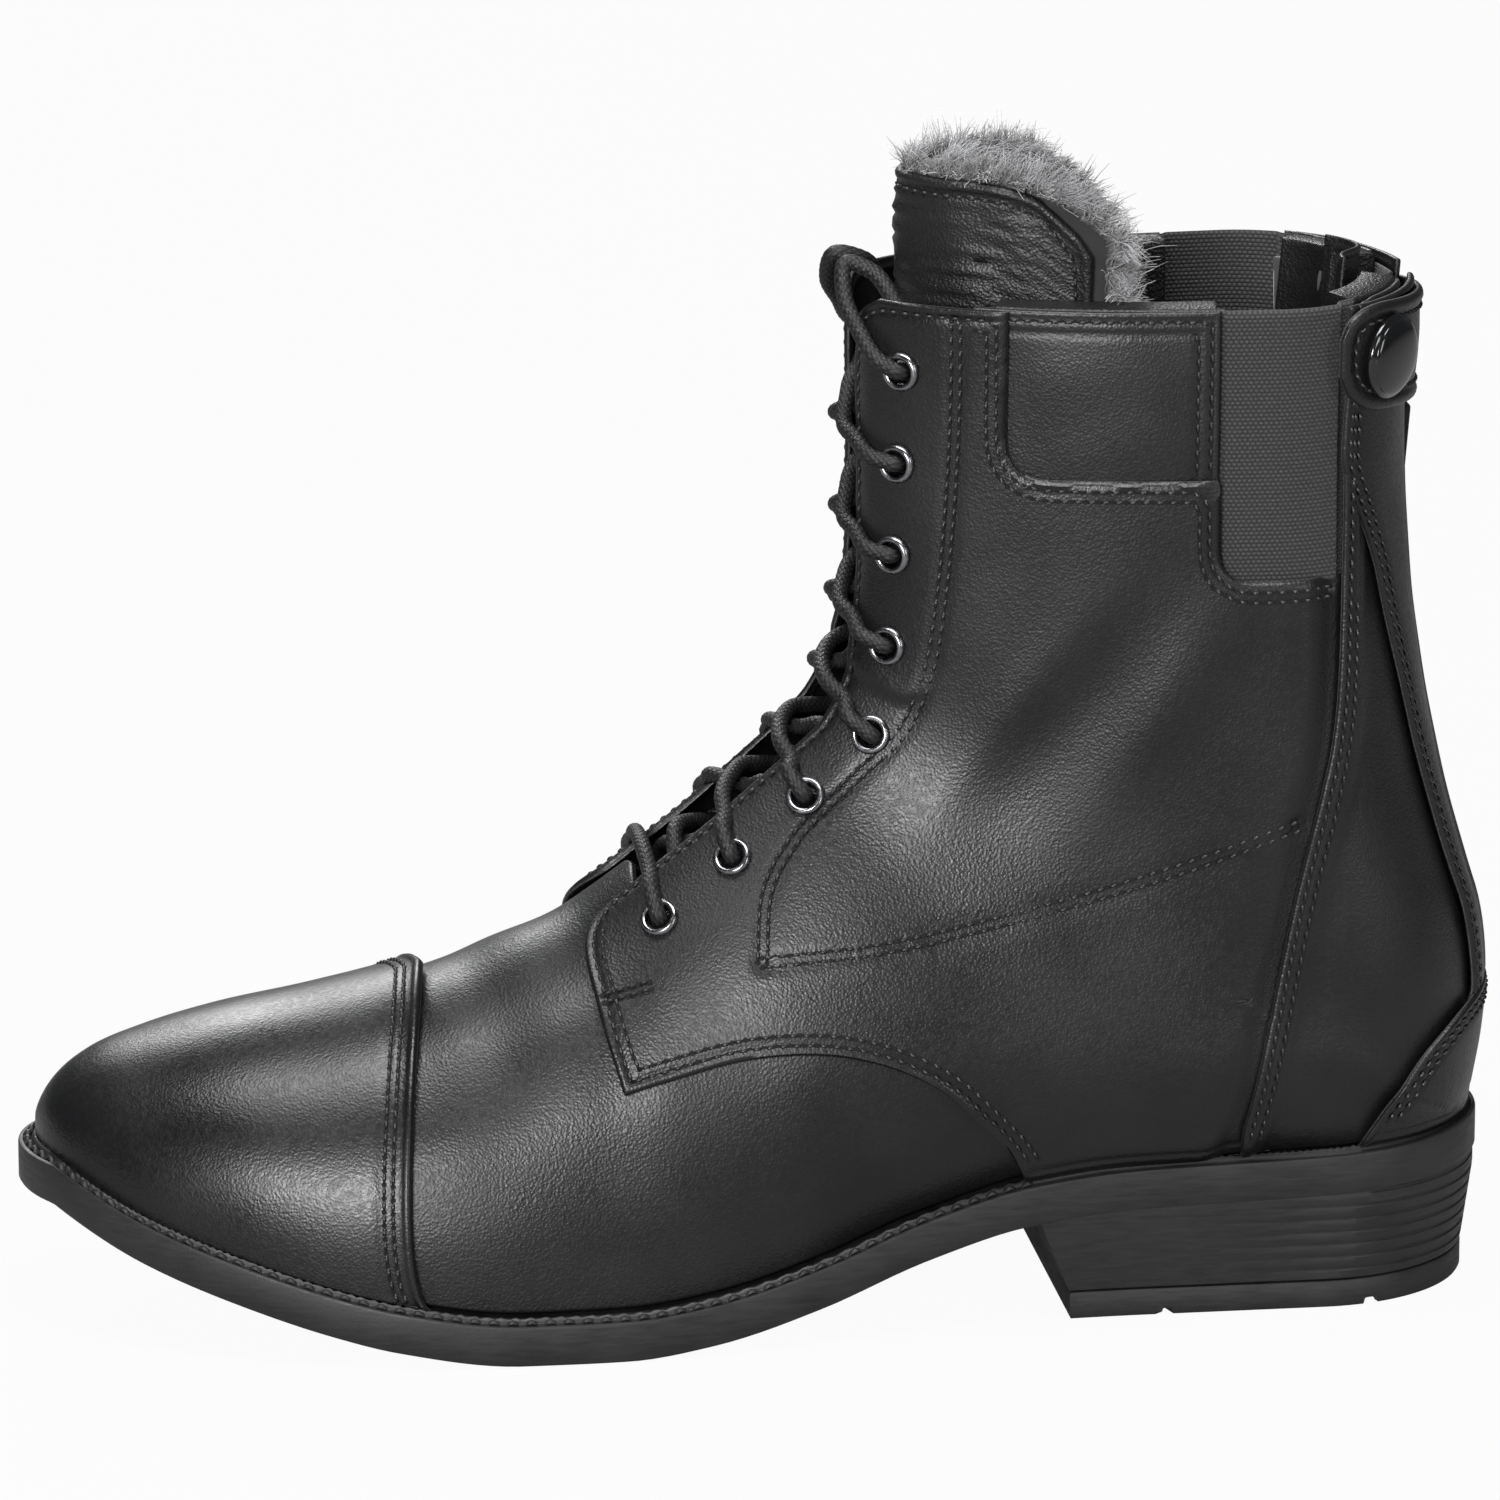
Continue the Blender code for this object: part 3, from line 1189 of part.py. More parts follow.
def make_lace():
    rows = {side: eyelet_reach(side) for side in (-1, 1)}
    knots = lace_half(-1, rows)[::-1] + lace_half(1, rows)
    path = np.array(smooth_path(knots))
    report_gap(path)
    curve = bpy.data.curves.new("lace", "CURVE")
    curve.dimensions = "3D"
    curve.bevel_depth = LACE / 2 * MM
    curve.bevel_resolution = 1
    curve.use_fill_caps = True
    line = curve.splines.new("POLY")
    line.points.add(len(path) - 1)
    for spot, point in zip(line.points, path):
        spot.co = (*(point * MM), 1.0)
    made = bpy.data.objects.new("lace", curve)
    bpy.context.scene.collection.objects.link(made)
    curve.materials.append(material("lace", *LOOKS["lace"]))


def smooth_path(knots):
    """The knots with one point more in each long stretch between them, on a smooth curve."""
    knots = np.array(knots)
    gaps = np.linalg.norm(np.diff(knots, axis=0), axis=1)
    at = np.concatenate([[0.0], np.cumsum(gaps)])
    slope = np.gradient(knots, at, axis=0)
    path = []
    for i, gap in enumerate(gaps):
        path.append(knots[i])
        extra = int(gap / LACE_STEP)
        for k in range(1, extra + 1):
            t = k / (extra + 1)
            start = (1 + 2 * t) * (1 - t) ** 2 * knots[i] + t * (1 - t) ** 2 * gap * slope[i]
            end = t * t * (3 - 2 * t) * knots[i + 1] + t * t * (t - 1) * gap * slope[i + 1]
            path.append(start + end)
    return path + [knots[-1]]


def report_gap(path):
    """Prints the lace's length and its least gap to itself between stretches that aren't neighbours."""
    steps = np.linalg.norm(np.diff(path, axis=0), axis=1)
    along = np.concatenate([[0.0], np.cumsum(steps)])
    apart = np.linalg.norm(path[:, None] - path[None], axis=2)
    apart[np.abs(along[:, None] - along[None]) < 3 * LACE] = np.inf
    print("lace length", round(float(along[-1]), 1), "least gap", round(float(apart.min()) - LACE, 2))


# Back zip
def back_x(z):
    """x of the back line at height z."""
    return float(np.interp(z, BACK_RISE[:, 1], BACK_RISE[:, 0]))


def back_frame(z):
    """A frame on the back line: X along it downwards, Y across the boot, Z outward."""
    down = Vector((back_x(z - 0.5) - back_x(z + 0.5), 0.0, -1.0)).normalized()
    across = Vector((0.0, 1.0, 0.0))
    out = down.cross(across)
    return Matrix.Translation((back_x(z), 0.0, z)) @ Matrix((down, across, out)).transposed().to_4x4()


def make_zip_teeth(side):
    """A cord along the tape's edge with a tooth at every pitch. The two sides mesh half a pitch apart."""
    bm = bmesh.new()
    top = SHAFT_HEIGHT - ZIP_TOP_DROP
    count = int((top - ZIP_LOW) / ZIP_PITCH)
    tooth = ZIP_PITCH * TOOTH_SHARE
    low, high = -CHAIN_BACK, CHAIN_FACE
    corners = ((TOOTH_ROOT, low), (ZIP_CORD, low), (ZIP_CORD, high), (TOOTH_ROOT, high))
    stations = []
    for k in range(count):
        centre = top - 2 - k * ZIP_PITCH - (ZIP_PITCH / 2 if side > 0 else 0)
        stations += [(centre + tooth / 2, True), (centre - tooth / 2, False)]
    rings = []
    for z, _ in stations:
        frame = back_frame(z)
        rings.append([bm.verts.new(frame @ Vector((0, side * y, h)) * MM) for y, h in corners])
    for k, (here, ahead) in enumerate(zip(rings, rings[1:])):
        for i in range(4):
            if i == 3 and stations[k][1]:
                continue
            j = (i + 1) % 4
            bm.faces.new([here[i], here[j], ahead[j], ahead[i]])
        if stations[k][1]:
            tips = []
            for z in (stations[k][0], stations[k + 1][0]):
                frame = back_frame(z)
                tips.append([bm.verts.new(frame @ Vector((0, -side * TOOTH_TIP, h)) * MM) for h in (low, high)])
            (a_low, a_high), (b_low, b_high) = tips
            bm.faces.new([here[0], a_low, b_low, ahead[0]])
            bm.faces.new([here[3], ahead[3], b_high, a_high])
            bm.faces.new([here[0], here[3], a_high, a_low])
            bm.faces.new([ahead[0], b_low, b_high, ahead[3]])
            bm.faces.new([a_low, a_high, b_high, b_low])
    bm.faces.new(rings[0])
    bm.faces.new(rings[-1][::-1])
    bmesh.ops.recalc_face_normals(bm, faces=bm.faces)
    from_bmesh(name_of("zip_teeth", side), bm, "tape")


def make_slider():
    """Two plates, in front of the chain and behind it, that run along the zip's arc."""
    frame = back_frame(SHAFT_HEIGHT - SLIDER_DROP)
    half = SLIDER_LONG / 2
    narrow = SLIDER_HALF - SLIDER_TAPER
    corners = [(-half, -SLIDER_HALF), (half, -narrow), (half, narrow), (-half, SLIDER_HALF)]
    outline = rounded(corners, (2.0, 1.2, 1.2, 2.0), 3)
    face = CHAIN_FACE + CLEAR
    back = -CHAIN_BACK - CLEAR
    axis = Vector((grade(ZIP_ARC_X), 0.0, raised(ZIP_ARC_Z)))
    on_axis(plate("zip_slider", outline, frame, face, face + SLIDER_PLATE, "gunmetal"), axis)
    on_axis(plate("zip_slider_back", outline, frame, back - SLIDER_PLATE, back, "gunmetal"), axis)


def make_pull():
    """The tag that hangs from the slider's lower end, clear of the teeth."""
    frame = back_frame(SHAFT_HEIGHT - SLIDER_DROP)
    pivot = frame @ Vector((SLIDER_LONG / 2 + PULL_DROP, 0.0, PULL_LIFT))
    corners = [(-PULL_HEAD, -PULL_HALF), (PULL_LONG, -PULL_HALF), (PULL_LONG, PULL_HALF),
               (-PULL_HEAD, PULL_HALF)]
    outline = rounded(corners, (0.5, 2.2, 2.2, 0.5), 3)
    hinge = Matrix.Translation(pivot) @ back_frame(pivot.z - PULL_LONG / 2).to_3x3().to_4x4()
    on_axis(plate("zip_pull", outline, hinge, -PULL_THICK / 2, PULL_THICK / 2, "gunmetal"), pivot)
    print("pull hinge", [round(c, 3) for c in pivot])


def on_axis(made, place):
    """Moves the object's origin to a place in millimetres and leaves its shape where it is."""
    place = Vector(place) * MM
    made.data.transform(Matrix.Translation(-place))
    made.location = place


def make_zip():
    for side in (-1, 1):
        make_zip_teeth(side)
    make_slider()
    make_pull()
    bm = bmesh.new()
    box(bm, back_frame(ZIP_LOW - STOP_DROP), (-STOP_HALF_LONG, -STOP_HALF_WIDE, -CHAIN_BACK),
        (STOP_HALF_LONG, STOP_HALF_WIDE, STOP_TALL))
    bmesh.ops.recalc_face_normals(bm, faces=bm.faces)
    from_bmesh("zip_stop", bm, "gunmetal")

    halves = []
    for side in (-1, 1):
        halves += back_strip(side, lambda u: 0.0, lambda u: GUARD_HALF, GUARD_LOW, SHAFT_HEIGHT + GUARD_RISE, 4)
    sheet("zip_guard", halves, LINING_FACE - FLEECE - SOCK_FIT, LEATHER - CLEAR, "leather")


# Snap tab
def tab_height(share, side):
    """Share of the tab's full height at a share of its length. The free end has round corners."""
    past = 1 - (1 - share) * TAB_FREE / TAB_ROUND
    if side > 0 or past <= 0:
        return 1.0
    return max((1 - past**TAB_CORNER_POWER) ** (1 / TAB_CORNER_POWER), TAB_BLUNT)


def tab_middle(share, side):
    """Height of the tab's middle line, which falls from the lateral end round the back to the medial end."""
    return SHAFT_HEIGHT - TAB_DROP - TAB_FALL * (1 + side * share) / 2


def tab_grid(side, end_x, columns, rows):
    """Half of the tab, from the back line to its end."""
    grid = np.zeros((columns, rows, 2))
    for i, share in enumerate(np.linspace(0, 1, columns)):
        for j, height in enumerate(np.linspace(-TAB_HALF_TALL, TAB_HALF_TALL, rows)):
            z = tab_middle(share, side) + height * tab_height(float(share), side)
            grid[i, j] = (U_SHAFT + z - PIVOT_Z, chart(grade(end_x), z)[1] * share)
    return grid, side


def make_tab():
    """The tab swings on its stitched medial end and snaps down on the lateral placket."""
    face = OVERLAY + CLEAR + LEATHER
    halves = [tab_grid(-1, TAB_REACH, 10, 5), tab_grid(1, TAB_ANCHOR, 8, 5)]
    tab = sheet("snap_tab", halves, face + 0.1, LEATHER + 0.1, "leather")
    hinge = place_frame(chart(grade(TAB_ANCHOR), tab_middle(1, 1)), 1, face).translation
    print("tab hinge", [round(c, 3) for c in hinge])

    spot = chart(grade(CAP_X), SHAFT_HEIGHT - CAP_DROP)
    radius = CAP_DIAMETER / 2
    profile = [(0.0, 0.0), (radius, 0.0), (radius, 0.9), (radius * 0.93, 1.7), (radius * 0.7, 2.6),
               (0.0, CAP_TALL)]
    cap = spun("snap_cap", profile, 18, place_frame(spot, -1, face + CLEAR + 0.2), "cap")
    for made in (tab, cap):
        on_axis(made, hinge)

    frame = place_frame(spot, -1, OVERLAY)
    cutter = bmesh.new()
    drill(cutter, frame, STUD_HALF + STUD_FIT, 8, 12)
    hole = helper(from_bmesh("stud_hole", cutter, "leather"))
    boolean(bpy.data.objects["zip_placket_lateral"], hole, "DIFFERENCE")
    low = -LEATHER + 0.2
    profile = [(0.0, low), (STUD_HALF, low), (STUD_HALF, -0.2), (STUD_NECK, -0.2), (STUD_NECK - CLEAR, 0.1),
               (0.0, 0.1)]
    spun("snap_stud", profile, 12, frame, "gunmetal")


def make_lace_tips():
    """The stiff tips continue the lace's ends."""
    rows = {side: eyelet_reach(side) for side in (-1, 1)}
    for side in (-1, 1):
        knots = lace_half(side, rows)
        end, before = Vector(knots[-1]), Vector(knots[-2])
        aim = (end - before).normalized()
        profile = [(0.0, 0.0), (LACE / 2 - 0.2, 0.0), (LACE / 2 - 0.4, LACE_TIP), (0.0, LACE_TIP)]
        name = "lace_tip_" + ("a" if side < 0 else "b")
        spun(name, profile, 8, frame_at(end + aim * CLEAR, aim), "tip")


def main():
    for old in list(bpy.data.objects):
        bpy.data.objects.remove(old, do_unlink=True)
    make_outsole()
    make_top_piece()
    make_insole()
    make_welt()
    make_forefoot()
    for side in (-1, 1):
        make_quarter(side)
        make_side_panels(side)
        make_back_side(side)
        make_quarter_lining(side)
    make_heel()
    make_tongue()
    make_eyelets()
    make_lace()
    make_lace_tips()
    make_zip()
    make_tab()


main()
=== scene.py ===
"""Looks of a black lace-up riding ankle boot with a fleece lining and a back zip under a snap tab.

Pieces are laid out in millimetres on the same skin of the last as the CAD model, so each one lies where the
node that it replaces is. The toe points to -X, the outer (lateral) side to -Y, and Z is up. In chart
coordinates, u runs from the toe tip over the instep to the topline, and v from the sole and the back line (0)
to the front ridge (1) on either side.
"""

import json
import math
from collections import namedtuple

import bpy
import numpy as np
from mathutils import Matrix, Vector, kdtree


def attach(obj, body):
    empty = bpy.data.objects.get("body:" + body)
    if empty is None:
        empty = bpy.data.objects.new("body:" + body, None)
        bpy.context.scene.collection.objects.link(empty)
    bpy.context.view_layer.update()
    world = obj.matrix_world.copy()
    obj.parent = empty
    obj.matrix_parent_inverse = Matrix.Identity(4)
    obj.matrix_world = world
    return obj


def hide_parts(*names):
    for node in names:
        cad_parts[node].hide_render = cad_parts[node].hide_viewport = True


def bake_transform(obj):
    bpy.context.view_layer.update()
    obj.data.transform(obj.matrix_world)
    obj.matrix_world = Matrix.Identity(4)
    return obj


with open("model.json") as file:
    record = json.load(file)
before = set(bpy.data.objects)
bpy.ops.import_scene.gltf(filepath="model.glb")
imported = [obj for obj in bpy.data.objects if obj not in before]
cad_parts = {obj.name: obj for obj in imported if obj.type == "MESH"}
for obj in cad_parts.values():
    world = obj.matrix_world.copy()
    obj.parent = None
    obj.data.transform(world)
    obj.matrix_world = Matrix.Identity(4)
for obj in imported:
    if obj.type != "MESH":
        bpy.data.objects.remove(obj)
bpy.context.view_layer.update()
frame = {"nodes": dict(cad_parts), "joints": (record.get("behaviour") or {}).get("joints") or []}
MM = 0.001
SIDES = (-1, 1)

# Sizes, most of them shared with the CAD model
BALL_HALF_LATERAL = 42.5
BALL_HALF_MEDIAL = 41.0
HEEL_HALF = 29.5
SHAFT_HALF = 37.0
ANKLE_HALF = 34.5
INSTEP_HALF = 40.0
TOE_ROUND = 88.0
HEEL_ROUND = 31.0
BACK_ROUND = 30.0
HEEL_SWELL = 38.0
TOPLINE = 200.0
LEATHER = 1.4
OVERLAY = 2.0
UNDERLAY = -0.6
LINING_FACE = -4.9
FLEECE = 3.0
TONGUE_FACE = -8.2
SOLE_STACK = 9.0
WELT_TOE = 5.4
WELT_HEEL = 3.9
WELT_SEAT = 7.0
BREAST_X = -46.3
BREAST_RAKE = 6.5
HEEL_TAPER = 2.2
TOP_PIECE = 5.4
EYELET_ROWS = 8
EYELET_BORE = 4.7
EYELET_FLANGE = 7.3
LACE = 3.2
THROAT_GAP = 10.2
EDGE_DIP = 1.5
SHAFT_GAP = 7.6
ZIP_TAPE = 12.6
SLOT_HALF = 5.6
TAB_DROP = 9.5
TAB_FALL = 8.0
TAB_HALF_TALL = 10.8
TAB_FREE = 36.0
TAB_ROUND = 12.0
TAB_FACE = 3.8
CAP_DIAMETER = 16.4

# Grid rows at these distances from an edge, for its rounding and its stitched rows
EDGE_STEPS = (0.0, 0.15, 0.45, 0.9, 1.5, 2.0, 2.5, 3.1, 3.7, 4.3, 5.0)


def smooth(points):
    """A monotone cubic through (x, y) points, as a function of x."""
    xs, ys = np.array(points, float).T
    step = np.diff(xs)
    rise = np.diff(ys) / step
    slope = np.concatenate([rise[:1], np.zeros(len(xs) - 2), rise[-1:]])
    for i in range(1, len(xs) - 1):
        if rise[i - 1] * rise[i] > 0:
            near = 2 * step[i] + step[i - 1]
            far = step[i] + 2 * step[i - 1]
            slope[i] = (near + far) / (near / rise[i - 1] + far / rise[i])

    def value(x):
        x = np.clip(x, xs[0], xs[-1])
        i = np.clip(np.searchsorted(xs, x, side="right") - 1, 0, len(xs) - 2)
        t = (x - xs[i]) / step[i]
        start = (1 + 2 * t) * (1 - t) ** 2 * ys[i] + t * (1 - t) ** 2 * step[i] * slope[i]
        end = t * t * (3 - 2 * t) * ys[i + 1] + t * t * (t - 1) * step[i] * slope[i + 1]
        return start + end

    return value


def unit(vectors):
    """Vectors brought to length 1."""
    return vectors / np.linalg.norm(vectors, axis=-1, keepdims=True)


def steps(line):
    """Distances between neighbouring points of a line."""
    return np.linalg.norm(np.diff(line, axis=0), axis=1)


def running(gaps):
    """Distances from the start of a line."""
    return np.concatenate([[0.0], np.cumsum(gaps)])


def hermite(knots, at, slope, t):
    """Points at t of a cubic with the given knots and slopes."""
    i = np.clip(np.searchsorted(at, t, side="right") - 1, 0, len(at) - 2)
    step = (at[i + 1] - at[i])[:, None]
    k = ((t - at[i]) / (at[i + 1] - at[i]))[:, None]
    start = (1 + 2 * k) * (1 - k) ** 2 * knots[i] + k * (1 - k) ** 2 * step * slope[i]
    end = k * k * (3 - 2 * k) * knots[i + 1] + k * k * (k - 1) * step * slope[i + 1]
    return start + end


def through(points, count, scale=None):
    """A smooth curve through points of any dimension, as count + 1 points at equal steps."""
    knots = np.array(points, float)
    weight = np.ones(knots.shape[1]) if scale is None else np.array(scale, float)
    at = running(np.maximum(steps(knots * weight), 1e-6))
    slope = np.gradient(knots, at, axis=0)
    fine = hermite(knots, at, slope, np.linspace(0, at[-1], 40 * len(at)))
    return resample(fine, count, weight)


def resample(line, count, weight):
    """count + 1 points at equal steps along a line, measured with a weight on each coordinate."""
    along = running(steps(line * weight))
    targets = np.linspace(0, along[-1], count + 1)
    return np.stack([np.interp(targets, along, line[:, i]) for i in range(line.shape[1])], 1)


def rounding(share, power=2.0):
    """Rise of a rounded end, from 0 to 1."""
    return np.sqrt(1 - (1 - np.clip(share, 0.0, 1.0)) ** power)


def ease(x, low, high):
    """0 below low, 1 above high, smooth in between."""
    t = np.clip((x - low) / (high - low), 0.0, 1.0)
    return t * t * (3 - 2 * t)


def bump(x, centre, width):
    """A smooth hump of height 1."""
    return np.exp(-((x - centre) / width) ** 2)


# Profile of the last in side view
TOE_X = -241.0
HEEL_X = 34.8
PIVOT_X = -140.0
PIVOT_Z = 147.0
FAN_RADIUS = 80.0
CHART_V_SCALE = 100.0
LEVEL_BAND = 0.05
FEATHER_POINTS = [
    (-241, 33.5), (-226, 26.4), (-205, 19.2), (-190, 14.8), (-178, 12.0), (-154, 9.0), (-134, 9.0),
    (-118, 10.6), (-96, 16.0), (-75, 23.5), (-55, 29.0), (-35, 31.2), (0, 32.3), (41, 34.0),
]
RIDGE_POINTS = [
    (-241, 32.0), (-241.1, 37.0), (-239.5, 40.6), (-236, 44.8), (-231, 48.3), (-220.7, 52.4), (-207.8, 56.1),
    (-188, 60.2), (-172, 64.2), (-155, 70.6), (-139.5, 78.2), (-122.8, 91.2), (-107.0, 105.6), (-95.9, 119.0),
    (-89.3, 131.0), (-86.8, 144.0), (-86.5, 160.0), (-86.5, 185.0), (-86.5, 240.0),
]
HEEL_CURVE = [(34.8, 34.0), (36.0, 42.0), (37.3, 50.0), (38.0, 58.0), (37.7, 66.0)]
ZIP_ARC = 300.0
ZIP_ARC_X = 320.2
ZIP_ARC_Z = 172.0

feather_z = smooth(FEATHER_POINTS)
ridge_y = smooth([(-241, 9.0), (-200, 6.0), (-160, 2.5), (-120, 0.0), (60, 0.0)])
body_lateral = smooth([
    (TOE_X, BALL_HALF_LATERAL + 2.5), (-190, BALL_HALF_LATERAL + 2.0), (-145, BALL_HALF_LATERAL),
    (-110, 38.0), (-70, 31.5), (-30, HEEL_HALF), (45, HEEL_HALF),
])
body_medial = smooth([
    (TOE_X, BALL_HALF_MEDIAL - 5.0), (-200, BALL_HALF_MEDIAL - 3.0), (-165, BALL_HALF_MEDIAL), (-130, 37.5),
    (-90, 28.5), (-50, 26.5), (0, HEEL_HALF), (45, HEEL_HALF),
])
RIDGE = through(RIDGE_POINTS, 500)
ARC_HEIGHTS = np.arange(76.0, 232.0, 4.0)
ARC_POINTS = [(ZIP_ARC_X - math.sqrt(ZIP_ARC**2 - (z - ZIP_ARC_Z) ** 2), z) for z in ARC_HEIGHTS]
BACK_RISE = through(HEEL_CURVE + ARC_POINTS, 500)
SEAT_X = np.linspace(TOE_X - 0.5, HEEL_X, 500)
SEAT = np.stack([SEAT_X, feather_z(SEAT_X)], 1)
UNDERSIDE = np.concatenate([SEAT[:-1], BACK_RISE])


def plan_half(x, side, grow_toe=0.0, grow_heel=None):
    """Half width of the plan outline at x, grown outward by the given margins."""
    grow_heel = grow_toe if grow_heel is None else grow_heel
    grow = grow_toe + (grow_heel - grow_toe) * ease(x, TOE_X, HEEL_X)
    body = np.where(np.asarray(side) < 0, body_lateral(x), body_medial(x)) + grow
    toe = rounding((x - TOE_X + grow_toe) / (TOE_ROUND + grow_toe), 2.2)
    heel = rounding((HEEL_X + grow_heel - x) / (HEEL_ROUND + grow_heel))
    return body * toe * heel


def crossing(line, origin, direction):
    """The first point of a polyline on the ray from origin."""
    across = np.array([-direction[1], direction[0]])
    away = (line - origin) @ across
    found = []
    for i in np.nonzero((away[:-1] <= 0) != (away[1:] <= 0))[0]:
        share = away[i] / (away[i] - away[i + 1])
        point = line[i] + share * (line[i + 1] - line[i])
        along = float((point - origin) @ np.array(direction))
        if along > -1e-6:
            found.append((along, i, point))
    along, index, point = min(found, key=lambda item: item[0])
    return index, point


# Chart of the skin: cross-sections stand upright over the forefoot, fan round the pivot over the instep and
# lie level up the shaft
U_FAN = PIVOT_X - TOE_X
U_SHAFT = U_FAN + FAN_RADIUS * math.pi / 2
U_TOP = U_SHAFT + TOPLINE - PIVOT_Z


def section_ray(u):
    """Where the ray of a section starts, and its direction."""
    if u <= U_FAN:
        return np.array([TOE_X + u, PIVOT_Z]), (0.0, -1.0)
    if u <= U_SHAFT:
        angle = (u - U_FAN) / FAN_RADIUS - math.pi / 2
        return np.array([PIVOT_X, PIVOT_Z]), (math.cos(angle), math.sin(angle))
    return np.array([PIVOT_X, PIVOT_Z + u - U_SHAFT]), (1.0, 0.0)


def section_table():
    """Stations along u, and each section's front and back ends, seat half widths and middle."""
    stations = np.concatenate([U_FAN * np.linspace(0, 1, 200) ** 2, np.linspace(U_FAN, U_TOP + 25, 500)[1:]])
    rows = []
    for u in stations:
        origin, direction = section_ray(u)
        front = crossing(RIDGE, origin, direction)[1]
        index, back = crossing(UNDERSIDE, origin, direction)
        seats = [0.0, 0.0]
        if index < len(SEAT) - 1:
            seats = [float(plan_half(back[0], side)) for side in SIDES]
        rows.append((*front, *back, *seats, float(ridge_y(front[0]))))
    return stations, np.array(rows).T


EVEN_REACH = 28.0
STATIONS, TABLE = section_table()


def even_length():
    """Lengths of the sections, evened out where their rear ends turn the corner of the heel."""
    length = np.hypot(TABLE[0] - TABLE[2], TABLE[1] - TABLE[3])
    fan = ease(STATIONS, U_FAN + EVEN_REACH / 2, U_FAN + EVEN_REACH)
    step = STATIONS[-1] - STATIONS[-2]
    reach = np.arange(-EVEN_REACH, EVEN_REACH + step, step)
    weight = bump(reach, 0.0, EVEN_REACH / 2.5)
    padded = np.pad(length, len(reach) // 2, mode="edge")
    even = np.convolve(padded, weight / weight.sum(), mode="valid")[:len(length)]
    return length + fan * (even - length)


EVEN_LENGTH = even_length()


def fan_u(degrees):
    """u of the section whose ray points at an angle above level."""
    return U_FAN + FAN_RADIUS * math.radians(degrees + 90)


width_lateral = smooth([
    (U_FAN, float(plan_half(PIVOT_X, -1))), (fan_u(-65), INSTEP_HALF + 0.5), (fan_u(-40), INSTEP_HALF - 3.0),
    (fan_u(-20), ANKLE_HALF), (U_SHAFT, ANKLE_HALF), (U_TOP + 30, SHAFT_HALF),
])
width_medial = smooth([
    (U_FAN, float(plan_half(PIVOT_X, 1))), (fan_u(-65), INSTEP_HALF - 3.0), (fan_u(-40), INSTEP_HALF - 5.0),
    (fan_u(-20), ANKLE_HALF), (U_SHAFT, ANKLE_HALF), (U_TOP + 30, SHAFT_HALF),
])
arch_power = smooth([(0, 2.3), (U_FAN, 2.3), (fan_u(-45), 2.6), (U_SHAFT, 3.0), (U_TOP + 30, 3.0)])
back_round = smooth([
    (U_FAN, HEEL_SWELL), (fan_u(-32), HEEL_SWELL), (U_SHAFT, BACK_ROUND), (U_TOP + 30, BACK_ROUND),
])


def section(u):
    """The rows of the table at u."""
    return [np.interp(u, STATIONS, row) for row in TABLE]


def body_width(u, side):
    """Half widths of a section at the sole and at its widest."""
    seat_lateral, seat_medial = section(u)[4:6]
    seat = np.where(np.asarray(side) < 0, seat_lateral, seat_medial)
    wide = np.where(np.asarray(side) < 0, width_lateral(u), width_medial(u))
    return seat, np.where(u <= U_FAN, seat, wide)


def skin(u, v, side):
    """Points of the last's skin, one for each (u, v)."""
    u = np.asarray(u, float)
    front_x, front_z, back_x, back_z, _, _, middle = section(u)
    seat, wide = body_width(u, side)
    share = 0.5 - 0.5 * np.cos(math.pi * np.clip(v, 0.0, 1.0))
    start = seat / np.maximum(wide, 1e-6)
    length = np.hypot(front_x - back_x, front_z - back_z)
    swell = np.sqrt(start**2 + (1 - start**2) * rounding(share * length / back_round(u)) ** 2)
    arch = np.clip(1 - (1 - share) * length / np.interp(u, STATIONS, EVEN_LENGTH), 0.0, 1.0)
    half = wide * np.sqrt(np.maximum(1 - arch ** arch_power(u), 0.0)) * swell
    x = back_x + (front_x - back_x) * share
    z = back_z + (front_z - back_z) * share
    return np.stack([x, middle + np.asarray(side) * half, z], -1)


def outward(u, v, side):
    """Unit normals of the skin: level along the sole, with no sideways part where the two halves meet."""
    du, dv = 0.4, 0.004
    along = skin(u + du, v, side) - skin(np.maximum(u - du, 0.0), v, side)
    up = skin(u, np.minimum(v + dv, 1.0), side) - skin(u, np.maximum(v - dv, 0.0), side)
    normal = np.cross(along, up) * -np.asarray(side, float)[..., None]
    ridge = np.stack([-along[..., 2], np.zeros(u.shape), along[..., 0]], -1)
    normal = np.where((v > 1 - 1e-9)[..., None], ridge, normal)
    on_seat = body_width(u, side)[0] > 1e-6
    rise = skin(u + 2 * du, v, side) - skin(u, v, side)
    back = np.stack([rise[..., 2], np.zeros(u.shape), -rise[..., 0]], -1)
    normal = np.where(((v < 1e-9) & ~on_seat & (u > U_FAN))[..., None], back, normal)
    normal[..., 1] = np.where(u < 1e-6, 0.0, normal[..., 1])
    normal[..., 2] *= np.where(on_seat, np.clip(v / LEVEL_BAND, 0.0, 1.0), 1.0)
    return unit(normal)


def shell(u, v, side, offset):
    """Points at an offset from the skin, and their normals."""
    u, v = np.broadcast_arrays(np.asarray(u, float), np.asarray(v, float))
    side = np.broadcast_to(np.asarray(side, float), u.shape)
    normal = outward(u, v, side)
    return skin(u, v, side) + normal * np.asarray(offset, float)[..., None], normal


def share_to_v(share):
    """v at a share of the way from the back to the front of a section."""
    return np.arccos(1 - 2 * np.clip(share, 0.0, 1.0)) / math.pi


